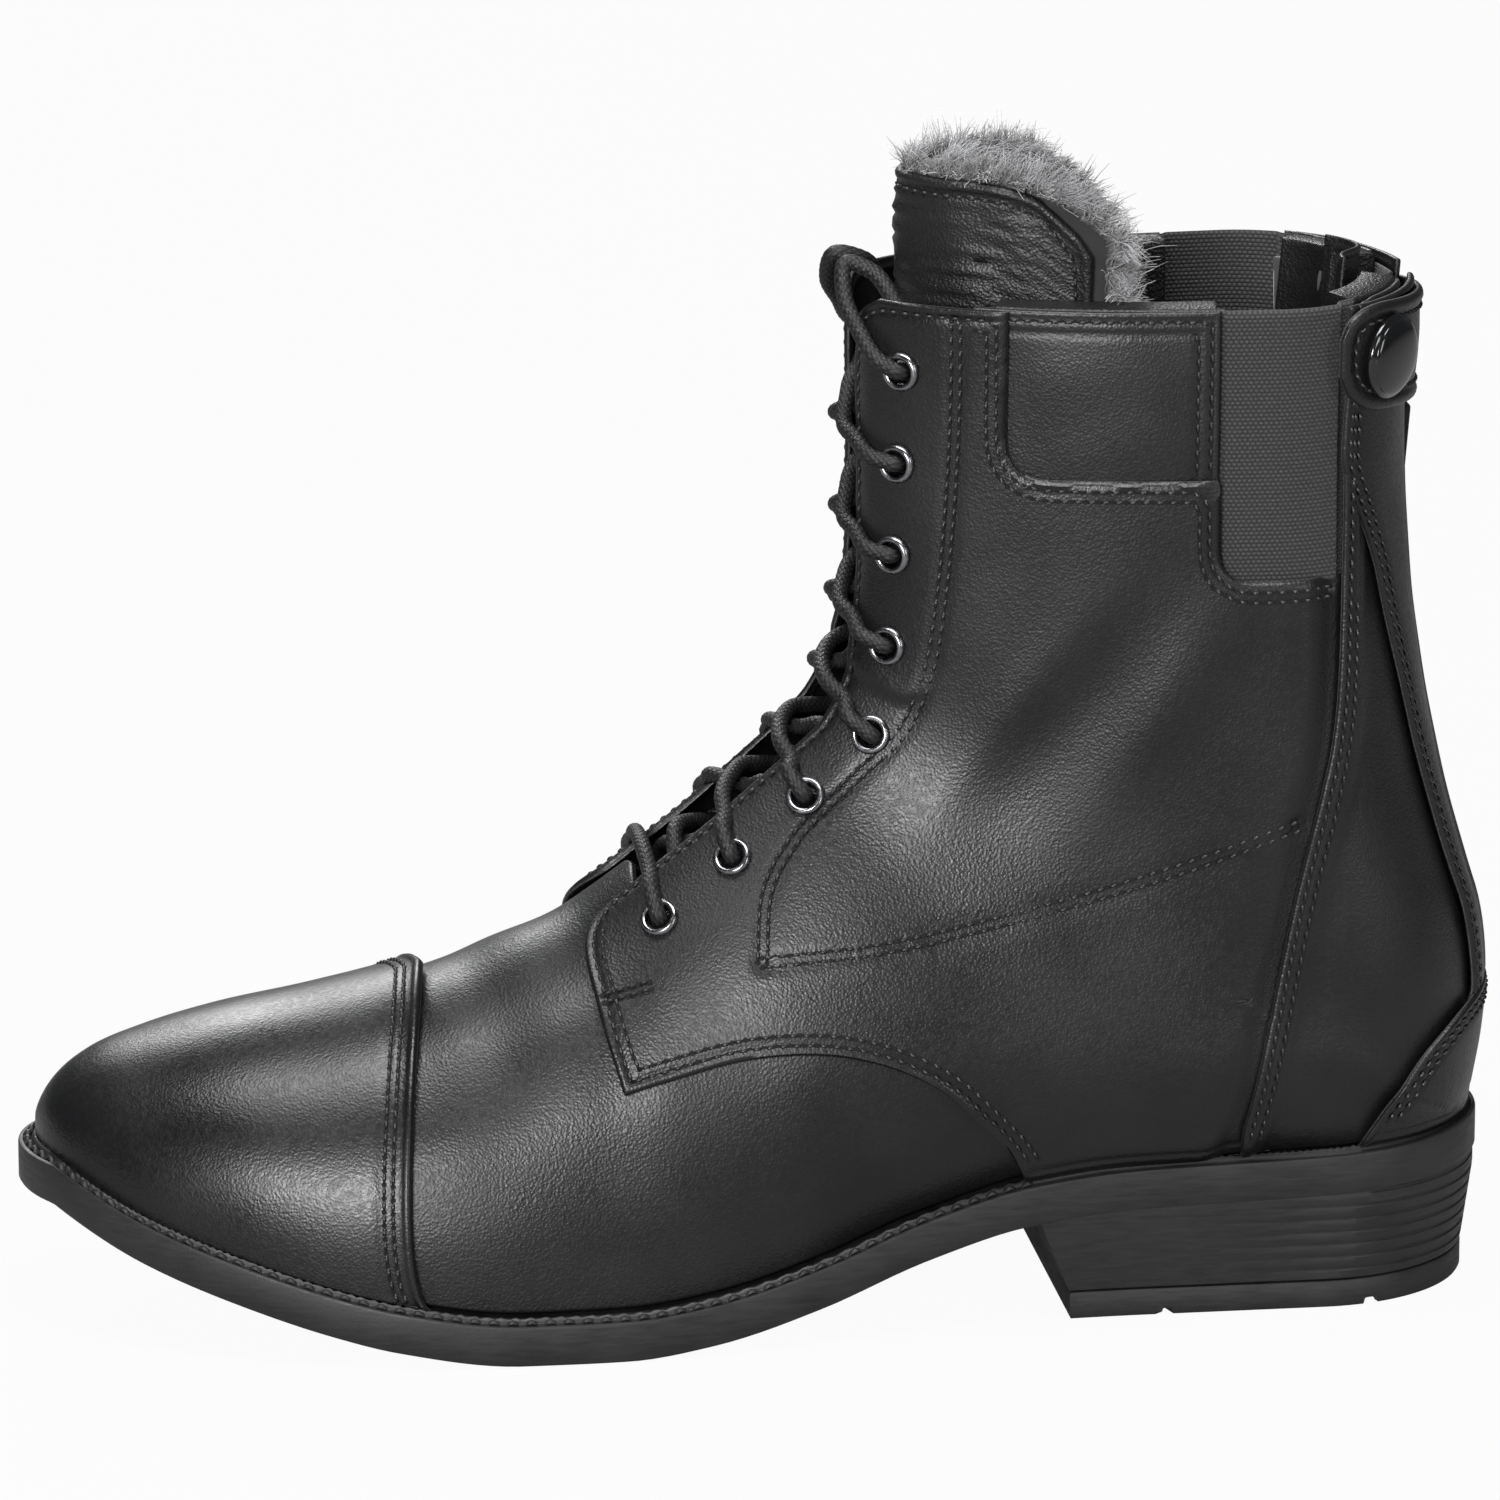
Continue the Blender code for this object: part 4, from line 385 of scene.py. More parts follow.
def chart(x, z):
    """Chart places of side-view points."""
    x, z = np.asarray(x, float), np.asarray(z, float)
    fan = U_FAN + FAN_RADIUS * (np.arctan2(z - PIVOT_Z, x - PIVOT_X) + math.pi / 2)
    u = np.where(z >= PIVOT_Z, U_SHAFT + z - PIVOT_Z, np.where(x <= PIVOT_X, x - TOE_X, fan))
    front_x, front_z, back_x, back_z = section(u)[:4]
    dx, dz = front_x - back_x, front_z - back_z
    return u, share_to_v(((x - back_x) * dx + (z - back_z) * dz) / (dx * dx + dz * dz))


def seam(points):
    """Chart places along a smooth curve through side-view points."""
    dense = through(points, 14 * len(points))
    return np.stack(chart(dense[:, 0], dense[:, 1]), 1).tolist()


def from_ridge(u, side, reach):
    """The place at u that lies reach to the side of the front ridge."""
    wide = float(body_width(np.array(u), side)[1])
    return u, float(share_to_v((1 - min(reach / wide, 1.0) ** 2) ** (1 / float(arch_power(u)))))


def from_back(u, side, reach):
    """The place at u that lies reach to the side of the back line."""
    front_x, front_z, back_x, back_z = section(u)[:4]
    wide = float(body_width(np.array(u), side)[1])
    length = math.hypot(front_x - back_x, front_z - back_z)
    share = (1 - math.sqrt(1 - min(reach / wide, 1.0) ** 2)) * float(back_round(u)) / length
    return u, float(share_to_v(share))


def back_x(z):
    return float(np.interp(z, BACK_RISE[:, 1], BACK_RISE[:, 0]))


def back_u(z):
    """u of the section that meets the back line at height z."""
    return float(chart(back_x(z), z)[0])


def run(runs, side=-1, count=300):
    """One edge made of smooth stretches, as chart places at equal steps on the skin."""
    line = np.concatenate([through(points, 160, (1.0, CHART_V_SCALE)) for points in runs])
    spots = skin(line[:, 0], line[:, 1], side)
    return resample(np.concatenate([line, spots], 1), count, np.array([0, 0, 1, 1, 1]))[:, :2]


def along_seat(start, end, side=-1, count=300):
    """Chart places along the sole's edge between two x, at equal steps."""
    turn = np.linspace(0, math.pi / 2, 60)
    reach = np.sin(turn) if end > start else 1 - np.cos(turn)
    xs = start + (end - start) * reach
    return run([[(float(chart(x, float(feather_z(x)))[0]), 0.0) for x in xs]], side, count)


def spaced(length, step):
    """Shares of a length at even steps, crowded towards both ends."""
    ends = np.array(EDGE_STEPS) * min(1.0, length / (4 * EDGE_STEPS[-1]))
    count = max(int((length - 2 * ends[-1]) / step), 2)
    middle = np.linspace(ends[-1], length - ends[-1], count + 1)
    return np.concatenate([ends[:-1], middle, length - ends[-2::-1]]) / length


def pick(edge, shares):
    """Points of an edge at shares of its length."""
    at = np.linspace(0, 1, len(edge))
    return np.stack([np.interp(shares, at, edge[:, k]) for k in range(edge.shape[1])], 1)


def span(edge, side):
    """Length of an edge on the skin."""
    return float(steps(skin(edge[:, 0], edge[:, 1], side)).sum())


def coons(front, back, bottom, top, s, t):
    """Places between four edges, sampled at shares s rearward and t upward."""
    ends = [pick(front, t), pick(back, t), pick(bottom, s), pick(top, s)]
    s, t = s[:, None, None], t[None, :, None]
    across = (1 - s) * ends[0][None] + s * ends[1][None]
    upward = (1 - t) * ends[2][:, None] + t * ends[3][:, None]
    low = (1 - s) * ends[2][0] + s * ends[2][-1]
    high = (1 - s) * ends[3][0] + s * ends[3][-1]
    return across + upward - ((1 - t) * low + t * high)


def quilt(front, back, bottom, top, side, step, drawn=False):
    """Chart grid between four edges. A drawn one is blended in side view, which stays even round the heel."""
    s = spaced((span(bottom, side) + span(top, side)) / 2, step)
    t = spaced((span(front, side) + span(back, side)) / 2, step)
    if not drawn:
        return coons(front, back, bottom, top, s, t)
    flat = [skin(edge[:, 0], edge[:, 1], side)[:, [0, 2]] for edge in (front, back, bottom, top)]
    view = coons(*flat, s, t)
    grid = np.stack(chart(view[..., 0], view[..., 1]), -1)
    grid[0], grid[-1] = pick(front, t), pick(back, t)
    grid[:, 0], grid[:, -1] = pick(bottom, s), pick(top, s)
    return grid


def bridge(front, back, side):
    """The top edge between the upper ends of two others."""
    return run([[tuple(front[-1]), tuple(back[-1])]], side)


def both(grid):
    """A half grid on both sides."""
    return [(grid, side) for side in SIDES]


def name_of(stem, side):
    """A name with its side."""
    return stem + ("_lateral" if side < 0 else "_medial")


# Materials
def put(tree, kind, inputs=None, **settings):
    """Adds a shader node. Inputs are constants or the outputs of other nodes."""
    made = tree.nodes.new("ShaderNode" + kind)
    for key, value in settings.items():
        setattr(made, key, value)
    for key, value in (inputs or {}).items():
        if isinstance(value, bpy.types.NodeSocket):
            tree.links.new(value, made.inputs[key])
        else:
            made.inputs[key].default_value = value
    return made


def surface(name, colour, roughness, **more):
    """A Principled material, its tree and its shader."""
    made = bpy.data.materials.new(name)
    made.use_nodes = True
    shader = made.node_tree.nodes["Principled BSDF"]
    shader.inputs["Base Color"].default_value = (*colour, 1.0)
    shader.inputs["Roughness"].default_value = roughness
    for key, value in more.items():
        shader.inputs[key.replace("_", " ")].default_value = value
    return made, made.node_tree, shader


def wire(tree, shader, **sockets):
    """Links results to inputs of a shader."""
    for key, value in sockets.items():
        tree.links.new(value, shader.inputs[key.replace("_", " ")])


def maths(tree, operation, *values, **settings):
    """The result of a math node."""
    return put(tree, "Math", dict(enumerate(values)), operation=operation, **settings).outputs[0]


def rib(tree, turn):
    """Round ribs, one for each half turn."""
    return maths(tree, "ABSOLUTE", maths(tree, "SINE", turn))


def spot_of(tree):
    return put(tree, "TexCoord").outputs["Object"]


def noise(tree, spot, scale, detail=3.0):
    return put(tree, "TexNoise", {"Vector": spot, "Scale": scale, "Detail": detail}).outputs["Fac"]


def between(tree, value, low, high, start=0.3, end=0.7):
    """Maps a value that runs from start to end onto low to high."""
    inputs = {"Value": value, "From Min": start, "From Max": end, "To Min": low, "To Max": high}
    return put(tree, "MapRange", inputs).outputs["Result"]


def blend_colour(tree, share, dark, light):
    mixed = put(tree, "Mix", {"Factor": share}, data_type="RGBA")
    mixed.inputs[6].default_value = (*dark, 1.0)
    mixed.inputs[7].default_value = (*light, 1.0)
    return mixed.outputs[2]


def rise(tree, height, strength, depth, normal=None):
    """A bump of the given depth in millimetres, on top of another one."""
    inputs = {"Height": height, "Strength": strength, "Distance": depth * MM}
    if normal is not None:
        inputs["Normal"] = normal
    return put(tree, "Bump", inputs).outputs["Normal"]


def leather(name, gloss, grain, dark=(0.0035, 0.0035, 0.0038), light=(0.0075, 0.0075, 0.008)):
    """Black aniline leather: fine pebbles and hair-thin creases, with clouds in tone and gloss."""
    made, tree, shader = surface(name, dark, gloss, Specular_IOR_Level=0.42)
    spot = spot_of(tree)
    clouds = noise(tree, spot, 38.0, 4.0)
    tone = blend_colour(tree, between(tree, clouds, 0.0, 1.0), dark, light)
    cloudy = between(tree, clouds, gloss - 0.05, gloss + 0.06)
    rough = maths(tree, "ADD", cloudy, between(tree, noise(tree, spot, 900.0, 2.0), -0.05, 0.05))
    cells = {"Vector": spot, "Scale": 1900.0, "Smoothness": 0.7}
    pebbles = put(tree, "TexVoronoi", cells, feature="SMOOTH_F1").outputs["Distance"]
    normal = rise(tree, pebbles, grain, 0.14)
    normal = rise(tree, noise(tree, spot, 1900.0, 4.0), grain * 0.6, 0.12, normal)
    wire(tree, shader, Base_Color=tone, Roughness=rough, Normal=normal)
    return made


def cut_edge(name):
    """Raw edge of leather: fibrous and matt."""
    made, tree, shader = surface(name, (0.02, 0.019, 0.018), 0.8)
    grain = noise(tree, spot_of(tree), 1800.0, 4.0)
    tone = blend_colour(tree, between(tree, grain, 0.0, 1.0), (0.012, 0.012, 0.012), (0.05, 0.05, 0.05))
    wire(tree, shader, Base_Color=tone, Normal=rise(tree, grain, 0.5, 0.2))
    return made


def rubber(name, dark, light, gloss):
    """Moulded rubber with a fine matt skin, faint mould clouds and scuffs."""
    made, tree, shader = surface(name, dark, gloss, Specular_IOR_Level=0.4)
    spot = spot_of(tree)
    clouds = noise(tree, spot, 70.0, 5.0)
    stretched = put(tree, "Mapping", {"Vector": spot, "Scale": (1.0, 1.0, 9.0)}).outputs[0]
    scuffs = noise(tree, stretched, 160.0, 6.0)
    share = maths(tree, "ADD", between(tree, clouds, 0.0, 0.6), between(tree, scuffs, 0.0, 0.5))
    normal = rise(tree, noise(tree, spot, 1500.0, 3.0), 0.25, 0.1)
    wire(tree, shader, Base_Color=blend_colour(tree, share, dark, light),
         Roughness=between(tree, scuffs, gloss - 0.08, gloss + 0.1),
         Normal=rise(tree, scuffs, 0.2, 0.12, normal))
    return made


def fleece_look(name):
    """Wool pile with mottled tufts, grey at the tips. Each fibre is painted darker towards its root, as
    painted shade deep in the pile, and pieces without fibres take that dark root colour, as painted shade
    under the pile. The mesh's tip attribute says how far up a fibre a point is."""
    made, tree, shader = surface(name, (0.03, 0.03, 0.032), 0.9, Sheen_Weight=0.35, Sheen_Roughness=0.5)
    tip = put(tree, "Attribute", attribute_name="tip").outputs["Fac"]
    tufts = between(tree, noise(tree, spot_of(tree), 260.0, 4.0), 0.25, 1.1)
    share = maths(tree, "MULTIPLY", tip, tufts, use_clamp=True)
    # Painted shade: fibres run from near-black at the root to grey at the tip
    wire(tree, shader, Base_Color=blend_colour(tree, share, (0.02, 0.02, 0.021), (0.5, 0.5, 0.51)))
    return made


def woven(name, across, up, dark, light, axes=("X", "Z")):
    """Woven tape or elastic: ribs across and picks up, at pitches in millimetres along two axes. Each row of
    picks is shifted by half a rib from the last.
    The colour is painted dark in the hollows between ribs and picks, as painted shade, and lighter on their
    crowns."""
    made, tree, shader = surface(name, dark, 0.75, Sheen_Weight=0.15)
    parts = put(tree, "SeparateXYZ", {0: spot_of(tree)}).outputs
    row = maths(tree, "MULTIPLY", parts[axes[1]], 1 / (up * MM))
    shift = maths(tree, "MULTIPLY", maths(tree, "FLOOR", row), math.pi / 2)
    ribs = rib(tree, maths(tree, "MULTIPLY_ADD", parts[axes[0]], math.pi / (across * MM), shift))
    picks = rib(tree, maths(tree, "MULTIPLY_ADD", parts[axes[1]], math.pi / (up * MM), 0.0))
    fuzz = between(tree, noise(tree, spot_of(tree), 2200.0, 3.0), 0.6, 1.1)
    # Painted shade: the colour darkens into the hollows between ribs and picks
    tone = maths(tree, "MULTIPLY", maths(tree, "MULTIPLY", ribs, picks), fuzz)
    wire(tree, shader, Base_Color=blend_colour(tree, tone, dark, light), Normal=rise(tree, tone, 0.8, 0.25))
    return made


def metal(name, colour, gloss):
    """Dark plated metal with faint wear."""
    made, tree, shader = surface(name, colour, gloss, Metallic=1.0)
    spot = spot_of(tree)
    wear = noise(tree, spot, 700.0, 4.0)
    light = tuple(c * 1.5 for c in colour)
    wire(tree, shader, Base_Color=blend_colour(tree, between(tree, wear, 0.0, 1.0), colour, light),
         Roughness=between(tree, wear, gloss - 0.08, gloss + 0.12),
         Normal=rise(tree, noise(tree, spot, 2500.0), 0.1, 0.03))
    return made


def lacquer(name):
    """Glossy black enamel with the slightest orange peel."""
    made, tree, shader = surface(name, (0.004, 0.004, 0.0045), 0.14, Coat_Weight=0.5, Coat_Roughness=0.08)
    peel = noise(tree, spot_of(tree), 300.0, 2.0)
    wire(tree, shader, Roughness=between(tree, peel, 0.12, 0.2), Normal=rise(tree, peel, 0.08, 0.05))
    return made


# Yarns of each family round the lace, and half turns of a yarn in each millimetre along it
YARNS = 8.0
YARN_LEAN = 0.62


def braid(name):
    """Waxed round cord: two families of yarn that cross round it, painted dark in the hollows between the
    yarns as painted shade. UV is (turns round, millimetres along).
    """
    made, tree, shader = surface(name, (0.006, 0.006, 0.0065), 0.55, Specular_IOR_Level=0.35)
    parts = put(tree, "SeparateXYZ", {0: put(tree, "TexCoord").outputs["UV"]}).outputs
    families = []
    for sign in SIDES:
        lean = maths(tree, "MULTIPLY", parts["Y"], sign * YARN_LEAN)
        turn = maths(tree, "MULTIPLY_ADD", parts["X"], YARNS, lean)
        families.append(rib(tree, maths(tree, "MULTIPLY", turn, math.pi)))
    yarn = maths(tree, "MULTIPLY", *families)
    # Painted shade: the colour darkens into the hollows between the yarns
    wire(tree, shader, Base_Color=blend_colour(tree, yarn, (0.0035, 0.0035, 0.004), (0.014, 0.014, 0.015)),
         Roughness=between(tree, noise(tree, spot_of(tree), 500.0), 0.45, 0.65),
         Normal=rise(tree, yarn, 0.55, 0.22))
    return made


def thread_look(name):
    """Bonded thread with a slight twist."""
    made, tree, shader = surface(name, (0.006, 0.006, 0.0065), 0.45)
    twist = noise(tree, spot_of(tree), 2600.0, 2.0)
    wire(tree, shader, Base_Color=blend_colour(tree, twist, (0.003, 0.003, 0.003), (0.009, 0.009, 0.0095)),
         Normal=rise(tree, twist, 0.4, 0.12))
    return made


def fibre(name, dark, light, gloss):
    """Pressed fibre or foam: a mottled matt board."""
    made, tree, shader = surface(name, dark, gloss)
    grain = noise(tree, spot_of(tree), 800.0, 6.0)
    wire(tree, shader, Base_Color=blend_colour(tree, between(tree, grain, 0.0, 1.0), dark, light),
         Normal=rise(tree, grain, 0.4, 0.3))
    return made


HIDE = leather("upper_leather", 0.39, 0.48)
CAP_HIDE = leather("toe_leather", 0.35, 0.35)
SOFT_HIDE = leather("tongue_leather", 0.42, 0.9)
EDGE = cut_edge("leather_edge")
THREAD = thread_look("thread")
# Painted shade: a near-black matt look for the discs that stand for the shade in needle holes
HOLE_SHADE = fibre("painted_hole_shade", (0.0008, 0.0008, 0.0008), (0.002, 0.002, 0.002), 0.95)
SOLE = rubber("sole_rubber", (0.007, 0.007, 0.0075), (0.018, 0.018, 0.019), 0.5)
WELT = rubber("welt_rubber", (0.006, 0.006, 0.0065), (0.016, 0.016, 0.017), 0.5)
WOOL = fleece_look("fleece")
ELASTIC = woven("elastic", 1.0, 0.8, (0.001, 0.001, 0.001), (0.045, 0.045, 0.047))
TAPE = woven("zip_tape", 0.5, 0.7, (0.004, 0.004, 0.0045), (0.02, 0.02, 0.022), ("Y", "Z"))
GUNMETAL = metal("gunmetal", (0.2, 0.2, 0.21), 0.24)
ZIP_METAL = metal("zip_metal", (0.025, 0.025, 0.027), 0.35)
STEEL = metal("steel", (0.45, 0.45, 0.47), 0.35)
ENAMEL = lacquer("cap_enamel")
CORD = braid("lace_cord")
TIP = lacquer("lace_tip")
BOARD = fibre("board", (0.12, 0.09, 0.06), (0.26, 0.2, 0.14), 0.85)
PUFF = fibre("stiffener", (0.18, 0.17, 0.15), (0.32, 0.3, 0.27), 0.8)
FOAM = fibre("foam", (0.03, 0.03, 0.03), (0.09, 0.09, 0.09), 0.95)


# Mesh helpers
Surface = namedtuple("Surface", "made points normals depth faces")


def add(name, data):
    """A new object in the scene."""
    made = bpy.data.objects.new(name, data)
    bpy.context.scene.collection.objects.link(made)
    return made


def mesh_object(name, points, faces, looks, picks=None, sharp=55.0):
    """A smooth-shaded object from points in millimetres."""
    mesh = bpy.data.meshes.new(name)
    mesh.from_pydata((np.asarray(points) * MM).tolist(), [], faces)
    for look in looks:
        mesh.materials.append(look)
    if picks is not None:
        mesh.polygons.foreach_set("material_index", picks)
    mesh.polygons.foreach_set("use_smooth", [True] * len(mesh.polygons))
    mesh.set_sharp_from_angle(angle=math.radians(sharp))
    mesh.update()
    return add(name, mesh)


def settle(made, slot, *nodes, body="boot"):
    """Ties a piece to its body and hides the CAD nodes that it stands for. The slot is not used."""
    if nodes:
        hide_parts(*nodes)
    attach(made, body)
    return made


def finder(points):
    """A search tree over points."""
    tree = kdtree.KDTree(len(points))
    for k, point in enumerate(points):
        tree.insert(point, k)
    tree.balance()
    return tree


def weld(points, digits):
    """The first of each set of equal points, and the number in that list of every point."""
    _, first, same = np.unique(np.round(points, digits), axis=0, return_index=True, return_inverse=True)
    return first, same.reshape(-1)


def welded(name, points, quads, looks, sharp):
    """An object whose equal points are joined."""
    first, same = weld(points, 4)
    return mesh_object(name, points[first], as_faces(same[np.asarray(quads)]), looks, sharp=sharp)


def tubes(count, rings, sides):
    """Faces of count open tubes, each of several rings of points."""
    tube = []
    for ring in range(0, (rings - 1) * sides, sides):
        for k in range(sides):
            after = (k + 1) % sides
            tube.append((ring + k, ring + after, ring + sides + after, ring + sides + k))
    return (np.arange(count)[:, None, None] * rings * sides + np.array(tube)[None]).reshape(-1, 4).tolist()


def circles(centre, level, other, radius, angles):
    """Rings of points round centres, in the plane of two directions."""
    return np.stack([centre + (level * math.cos(a) + other * math.sin(a)) * radius for a in angles], 1)


def grid_quads(rows, columns, start=0):
    """Faces of a grid of points."""
    index = start + np.arange(rows * columns).reshape(rows, columns)
    return np.stack([index[:-1, :-1], index[1:, :-1], index[1:, 1:], index[:-1, 1:]], -1).reshape(-1, 4)


def as_faces(quads):
    """Quads as lists, with repeated corners left out."""
    loops = [list(dict.fromkeys(loop)) for loop in np.asarray(quads).tolist()]
    return [loop for loop in loops if len(loop) > 2]


def to_line(flat, line):
    """Distance of side-view points from a polyline, and the nearest points on it."""
    best = np.full(len(flat), np.inf)
    spot = np.zeros_like(flat)
    for a, b in zip(line[:-1], line[1:]):
        along = b - a
        t = np.clip((flat - a) @ along / max(float(along @ along), 1e-12), 0.0, 1.0)
        near = a + t[:, None] * along
        away = np.linalg.norm(flat - near, axis=1)
        closer = away < best
        best[closer] = away[closer]
        spot[closer] = near[closer]
    return best, spot


def within(flat, outline):
    """Whether side-view points lie inside a closed outline."""
    inside = np.zeros(len(flat), bool)
    for (x0, z0), (x1, z1) in zip(outline, np.roll(outline, -1, axis=0)):
        crossed = (z0 > flat[:, 1]) != (z1 > flat[:, 1])
        reach = x0 + (flat[:, 1] - z0) / (z1 - z0 + 1e-12) * (x1 - x0)
        inside ^= crossed & (flat[:, 0] < reach)
    return inside


def outline_cut(outline):
    """Trims a sheet along an outline in side view: what lies inside it, and where its rim goes."""
    outline = np.array(outline, float)
    closed = np.concatenate([outline, outline[:1]])

    def cut(points, normals):
        flat = points[:, [0, 2]]
        move = to_line(flat, closed)[1] - flat
        slope = np.where(np.abs(normals[:, 1]) < 0.2, 1.0, normals[:, 1])
        aside = -(normals[:, 0] * move[:, 0] + normals[:, 2] * move[:, 1]) / slope
        return within(flat, outline), points + np.stack([move[:, 0], aside, move[:, 1]], 1)

    return cut


def bore_cut(place, radius):
    """Trims a sheet round a bore along a frame's Z."""
    turn = np.array(place.to_3x3())
    centre = np.array(place.translation)

    def cut(points, normals):
        local = (points - centre) @ turn
        reach = np.maximum(np.hypot(local[:, 0], local[:, 1]), 1e-6)
        inside = (reach < radius) & (np.abs(local[:, 2]) < 5.0)
        local[:, :2] *= (radius / reach)[:, None]
        return inside, centre + local @ turn.T

    return cut


# The first row of points round a window lies this far from its rim
WINDOW_RING = 0.9


def lay(halves, outer):
    """Points, normals, chart places and faces of chart grids at an offset, joined where they meet."""
    points, normals, places, quads = [], [], [], []
    start = 0
    for grid, side in halves:
        offset = outer(grid[..., 0], grid[..., 1], side) if callable(outer) else outer
        spot, normal = shell(grid[..., 0], grid[..., 1], side, offset)
        loops = grid_quads(*grid.shape[:2], start)
        facing = np.cross(spot[1:, :-1] - spot[:-1, :-1], spot[:-1, 1:] - spot[:-1, :-1])
        if np.sum(facing * normal[:-1, :-1]) < 0:
            loops = loops[:, ::-1]
        points.append(spot.reshape(-1, 3))
        normals.append(normal.reshape(-1, 3))
        places.append(np.concatenate([grid.reshape(-1, 2), np.full((grid[..., 0].size, 1), side)], 1))
        quads.append(loops)
        start += grid[..., 0].size
    points, normals = np.concatenate(points), np.concatenate(normals)
    first, same = weld(points, 3)
    return points[first], normals[first], np.concatenate(places)[first], same[np.concatenate(quads)]


def trim(points, normals, quads, window, bores):
    """Cuts a window and bores out of a sheet and moves its points to their rims. Returns the faces that are
    left and which points lie on the rim of a bore."""
    bored = np.zeros(len(points), bool)
    for cut, quiet in [(window, False)] * bool(window) + [(bore, True) for bore in bores]:
        lost = cut(points[quads].mean(1), normals[quads[:, 0]])[0]
        rim = np.intersect1d(quads[lost], quads[~lost])
        points[rim] = cut(points[rim], normals[rim])[1]
        bored[rim] |= quiet
        quads = quads[~lost]
        if not quiet:
            ring = np.setdiff1d(quads[np.isin(quads, rim).any(1)], rim)
            away = cut(points[ring], normals[ring])[1] - points[ring]
            far = np.maximum(np.linalg.norm(away, axis=1, keepdims=True), 0.3)
            points[ring] += away * (1 - WINDOW_RING / far)
    return quads, bored


def hide(name, halves, outer, thick, looks, relief=None, window=None, bores=()):
    """A piece of leather, cloth or pile: chart grids at an offset, thickened inward, with rounded edges. The
    offset is a number or a function of (u, v, side). Relief gives lifts from (places, points, depth), where
    depth is the distance from the piece's edge. A second look goes on the cut edge."""
    points, normals, places, quads = lay(halves, outer)
    quads, bored = trim(points, normals, quads, window, bores)
    edges = np.concatenate([quads[:, [0, 1]], quads[:, [1, 2]], quads[:, [2, 3]], quads[:, [3, 0]]])
    count = len(points)
    border = edges[~np.isin(edges[:, 0] * count + edges[:, 1], edges[:, 1] * count + edges[:, 0])]
    rim = np.unique(border)
    tree = finder(points[rim[~bored[rim]]])
    depth = np.array([tree.find(point)[2] for point in points])
    lift = relief(places, points, depth) if relief else np.zeros(count)
    turn = min(0.5 * thick, 0.7)
    fall = turn - np.sqrt(turn**2 - (turn - np.minimum(depth, turn)) ** 2)
    top = points + normals * (lift - fall)[:, None]
    low = points + normals * (lift - thick + 0.6 * fall)[:, None]
    wall = np.stack([border[:, 1], border[:, 0], border[:, 0] + count, border[:, 1] + count], 1)
    used, packed = np.unique(np.concatenate([quads, quads[:, ::-1] + count, wall]), return_inverse=True)
    made = mesh_object(name, np.concatenate([top, low])[used], as_faces(packed.reshape(-1, 4)), looks)
    if len(looks) > 1:
        picks = np.zeros(len(made.data.polygons), int)
        picks[-len(wall):] = 1
        made.data.polygons.foreach_set("material_index", picks)
    return Surface(made, top, normals, depth, quads)


def cover(node, kind, halves, outer, thick, looks, relief=None, window=None, bores=(), slot=None):
    """A piece that stands for one CAD node, named after it and its kind."""
    piece = hide(node + "_" + kind, halves, outer, thick, looks, relief, window, bores)
    settle(piece.made, slot or kind, node)
    return piece


def panel(node, halves, outer, relief, look=HIDE, thick=LEATHER, window=None, bores=()):
    """A leather piece with raw edges that stands for one CAD node."""
    return cover(node, "leather", halves, outer, thick, [look, EDGE], relief, window, bores)


def split(points, normals, mask):
    """The stretches of a line where the mask holds."""
    lines = []
    runs = np.split(np.arange(len(points)), np.nonzero(np.diff(mask.astype(int)))[0] + 1)
    for part in runs:
        if mask[part[0]] and len(part) > 3:
            lines.append((points[part], normals[part]))
    return lines


def contour(piece, level, chosen):
    """Lines on a piece at one distance from its edge, as (points, normals), where chosen(points) holds."""
    over = piece.depth > level
    mixed = over[piece.faces].any(1) & ~over[piece.faces].all(1)
    links = {}
    for loop in piece.faces[mixed].tolist():
        pairs = zip(loop, loop[1:] + loop[:1])
        cuts = [(min(a, b), max(a, b)) for a, b in pairs if over[a] != over[b]]
        if len(cuts) == 2:
            links.setdefault(cuts[0], []).append(cuts[1])
            links.setdefault(cuts[1], []).append(cuts[0])
    lines = []
    while links:
        here = next((key for key, ends in links.items() if len(ends) == 1), next(iter(links)))
        chain = []
        while here is not None:
            chain.append(here)
            ends = links.pop(here)
            here = next((key for key in ends if key in links), None)
        if chain[0] in ends and len(chain) > 2:
            chain.append(chain[0])
        a, b = np.array(chain).T
        share = ((level - piece.depth[a]) / (piece.depth[b] - piece.depth[a]))[:, None]
        points = piece.points[a] + share * (piece.points[b] - piece.points[a])
        normals = piece.normals[a] + share * (piece.normals[b] - piece.normals[a])
        lines += split(points, normals, chosen(points))
    return lines


def drawn_line(points, side, offset, lift=0.0):
    """A line on the upper through side-view points, as (points, normals)."""
    line = run([seam(points)], side, 240)
    spot, normal = shell(line[:, 0], line[:, 1], side, offset)
    return spot + normal * lift, normal


def beside(line, reach):
    """A line moved sideways along its surface."""
    points, normals = line
    along = np.gradient(points, axis=0)
    return points + unit(np.cross(normals, along)) * reach, normals


# Rings of a stitch: share of its length, height and radius, the last two in gauges
STITCH_RINGS = ((-0.5, -0.55, 0.6), (-0.3, 0.3, 0.95), (0.0, 0.5, 1.0), (0.3, 0.3, 0.95), (0.5, -0.55, 0.6))
STITCH_SIDES = 6
# Discs at the needle holes, painted near-black as the shade in them: radius in gauges and lift above the
# surface
HOLE_SHADE_RADIUS = 0.85
HOLE_SHADE_LIFT = 0.04


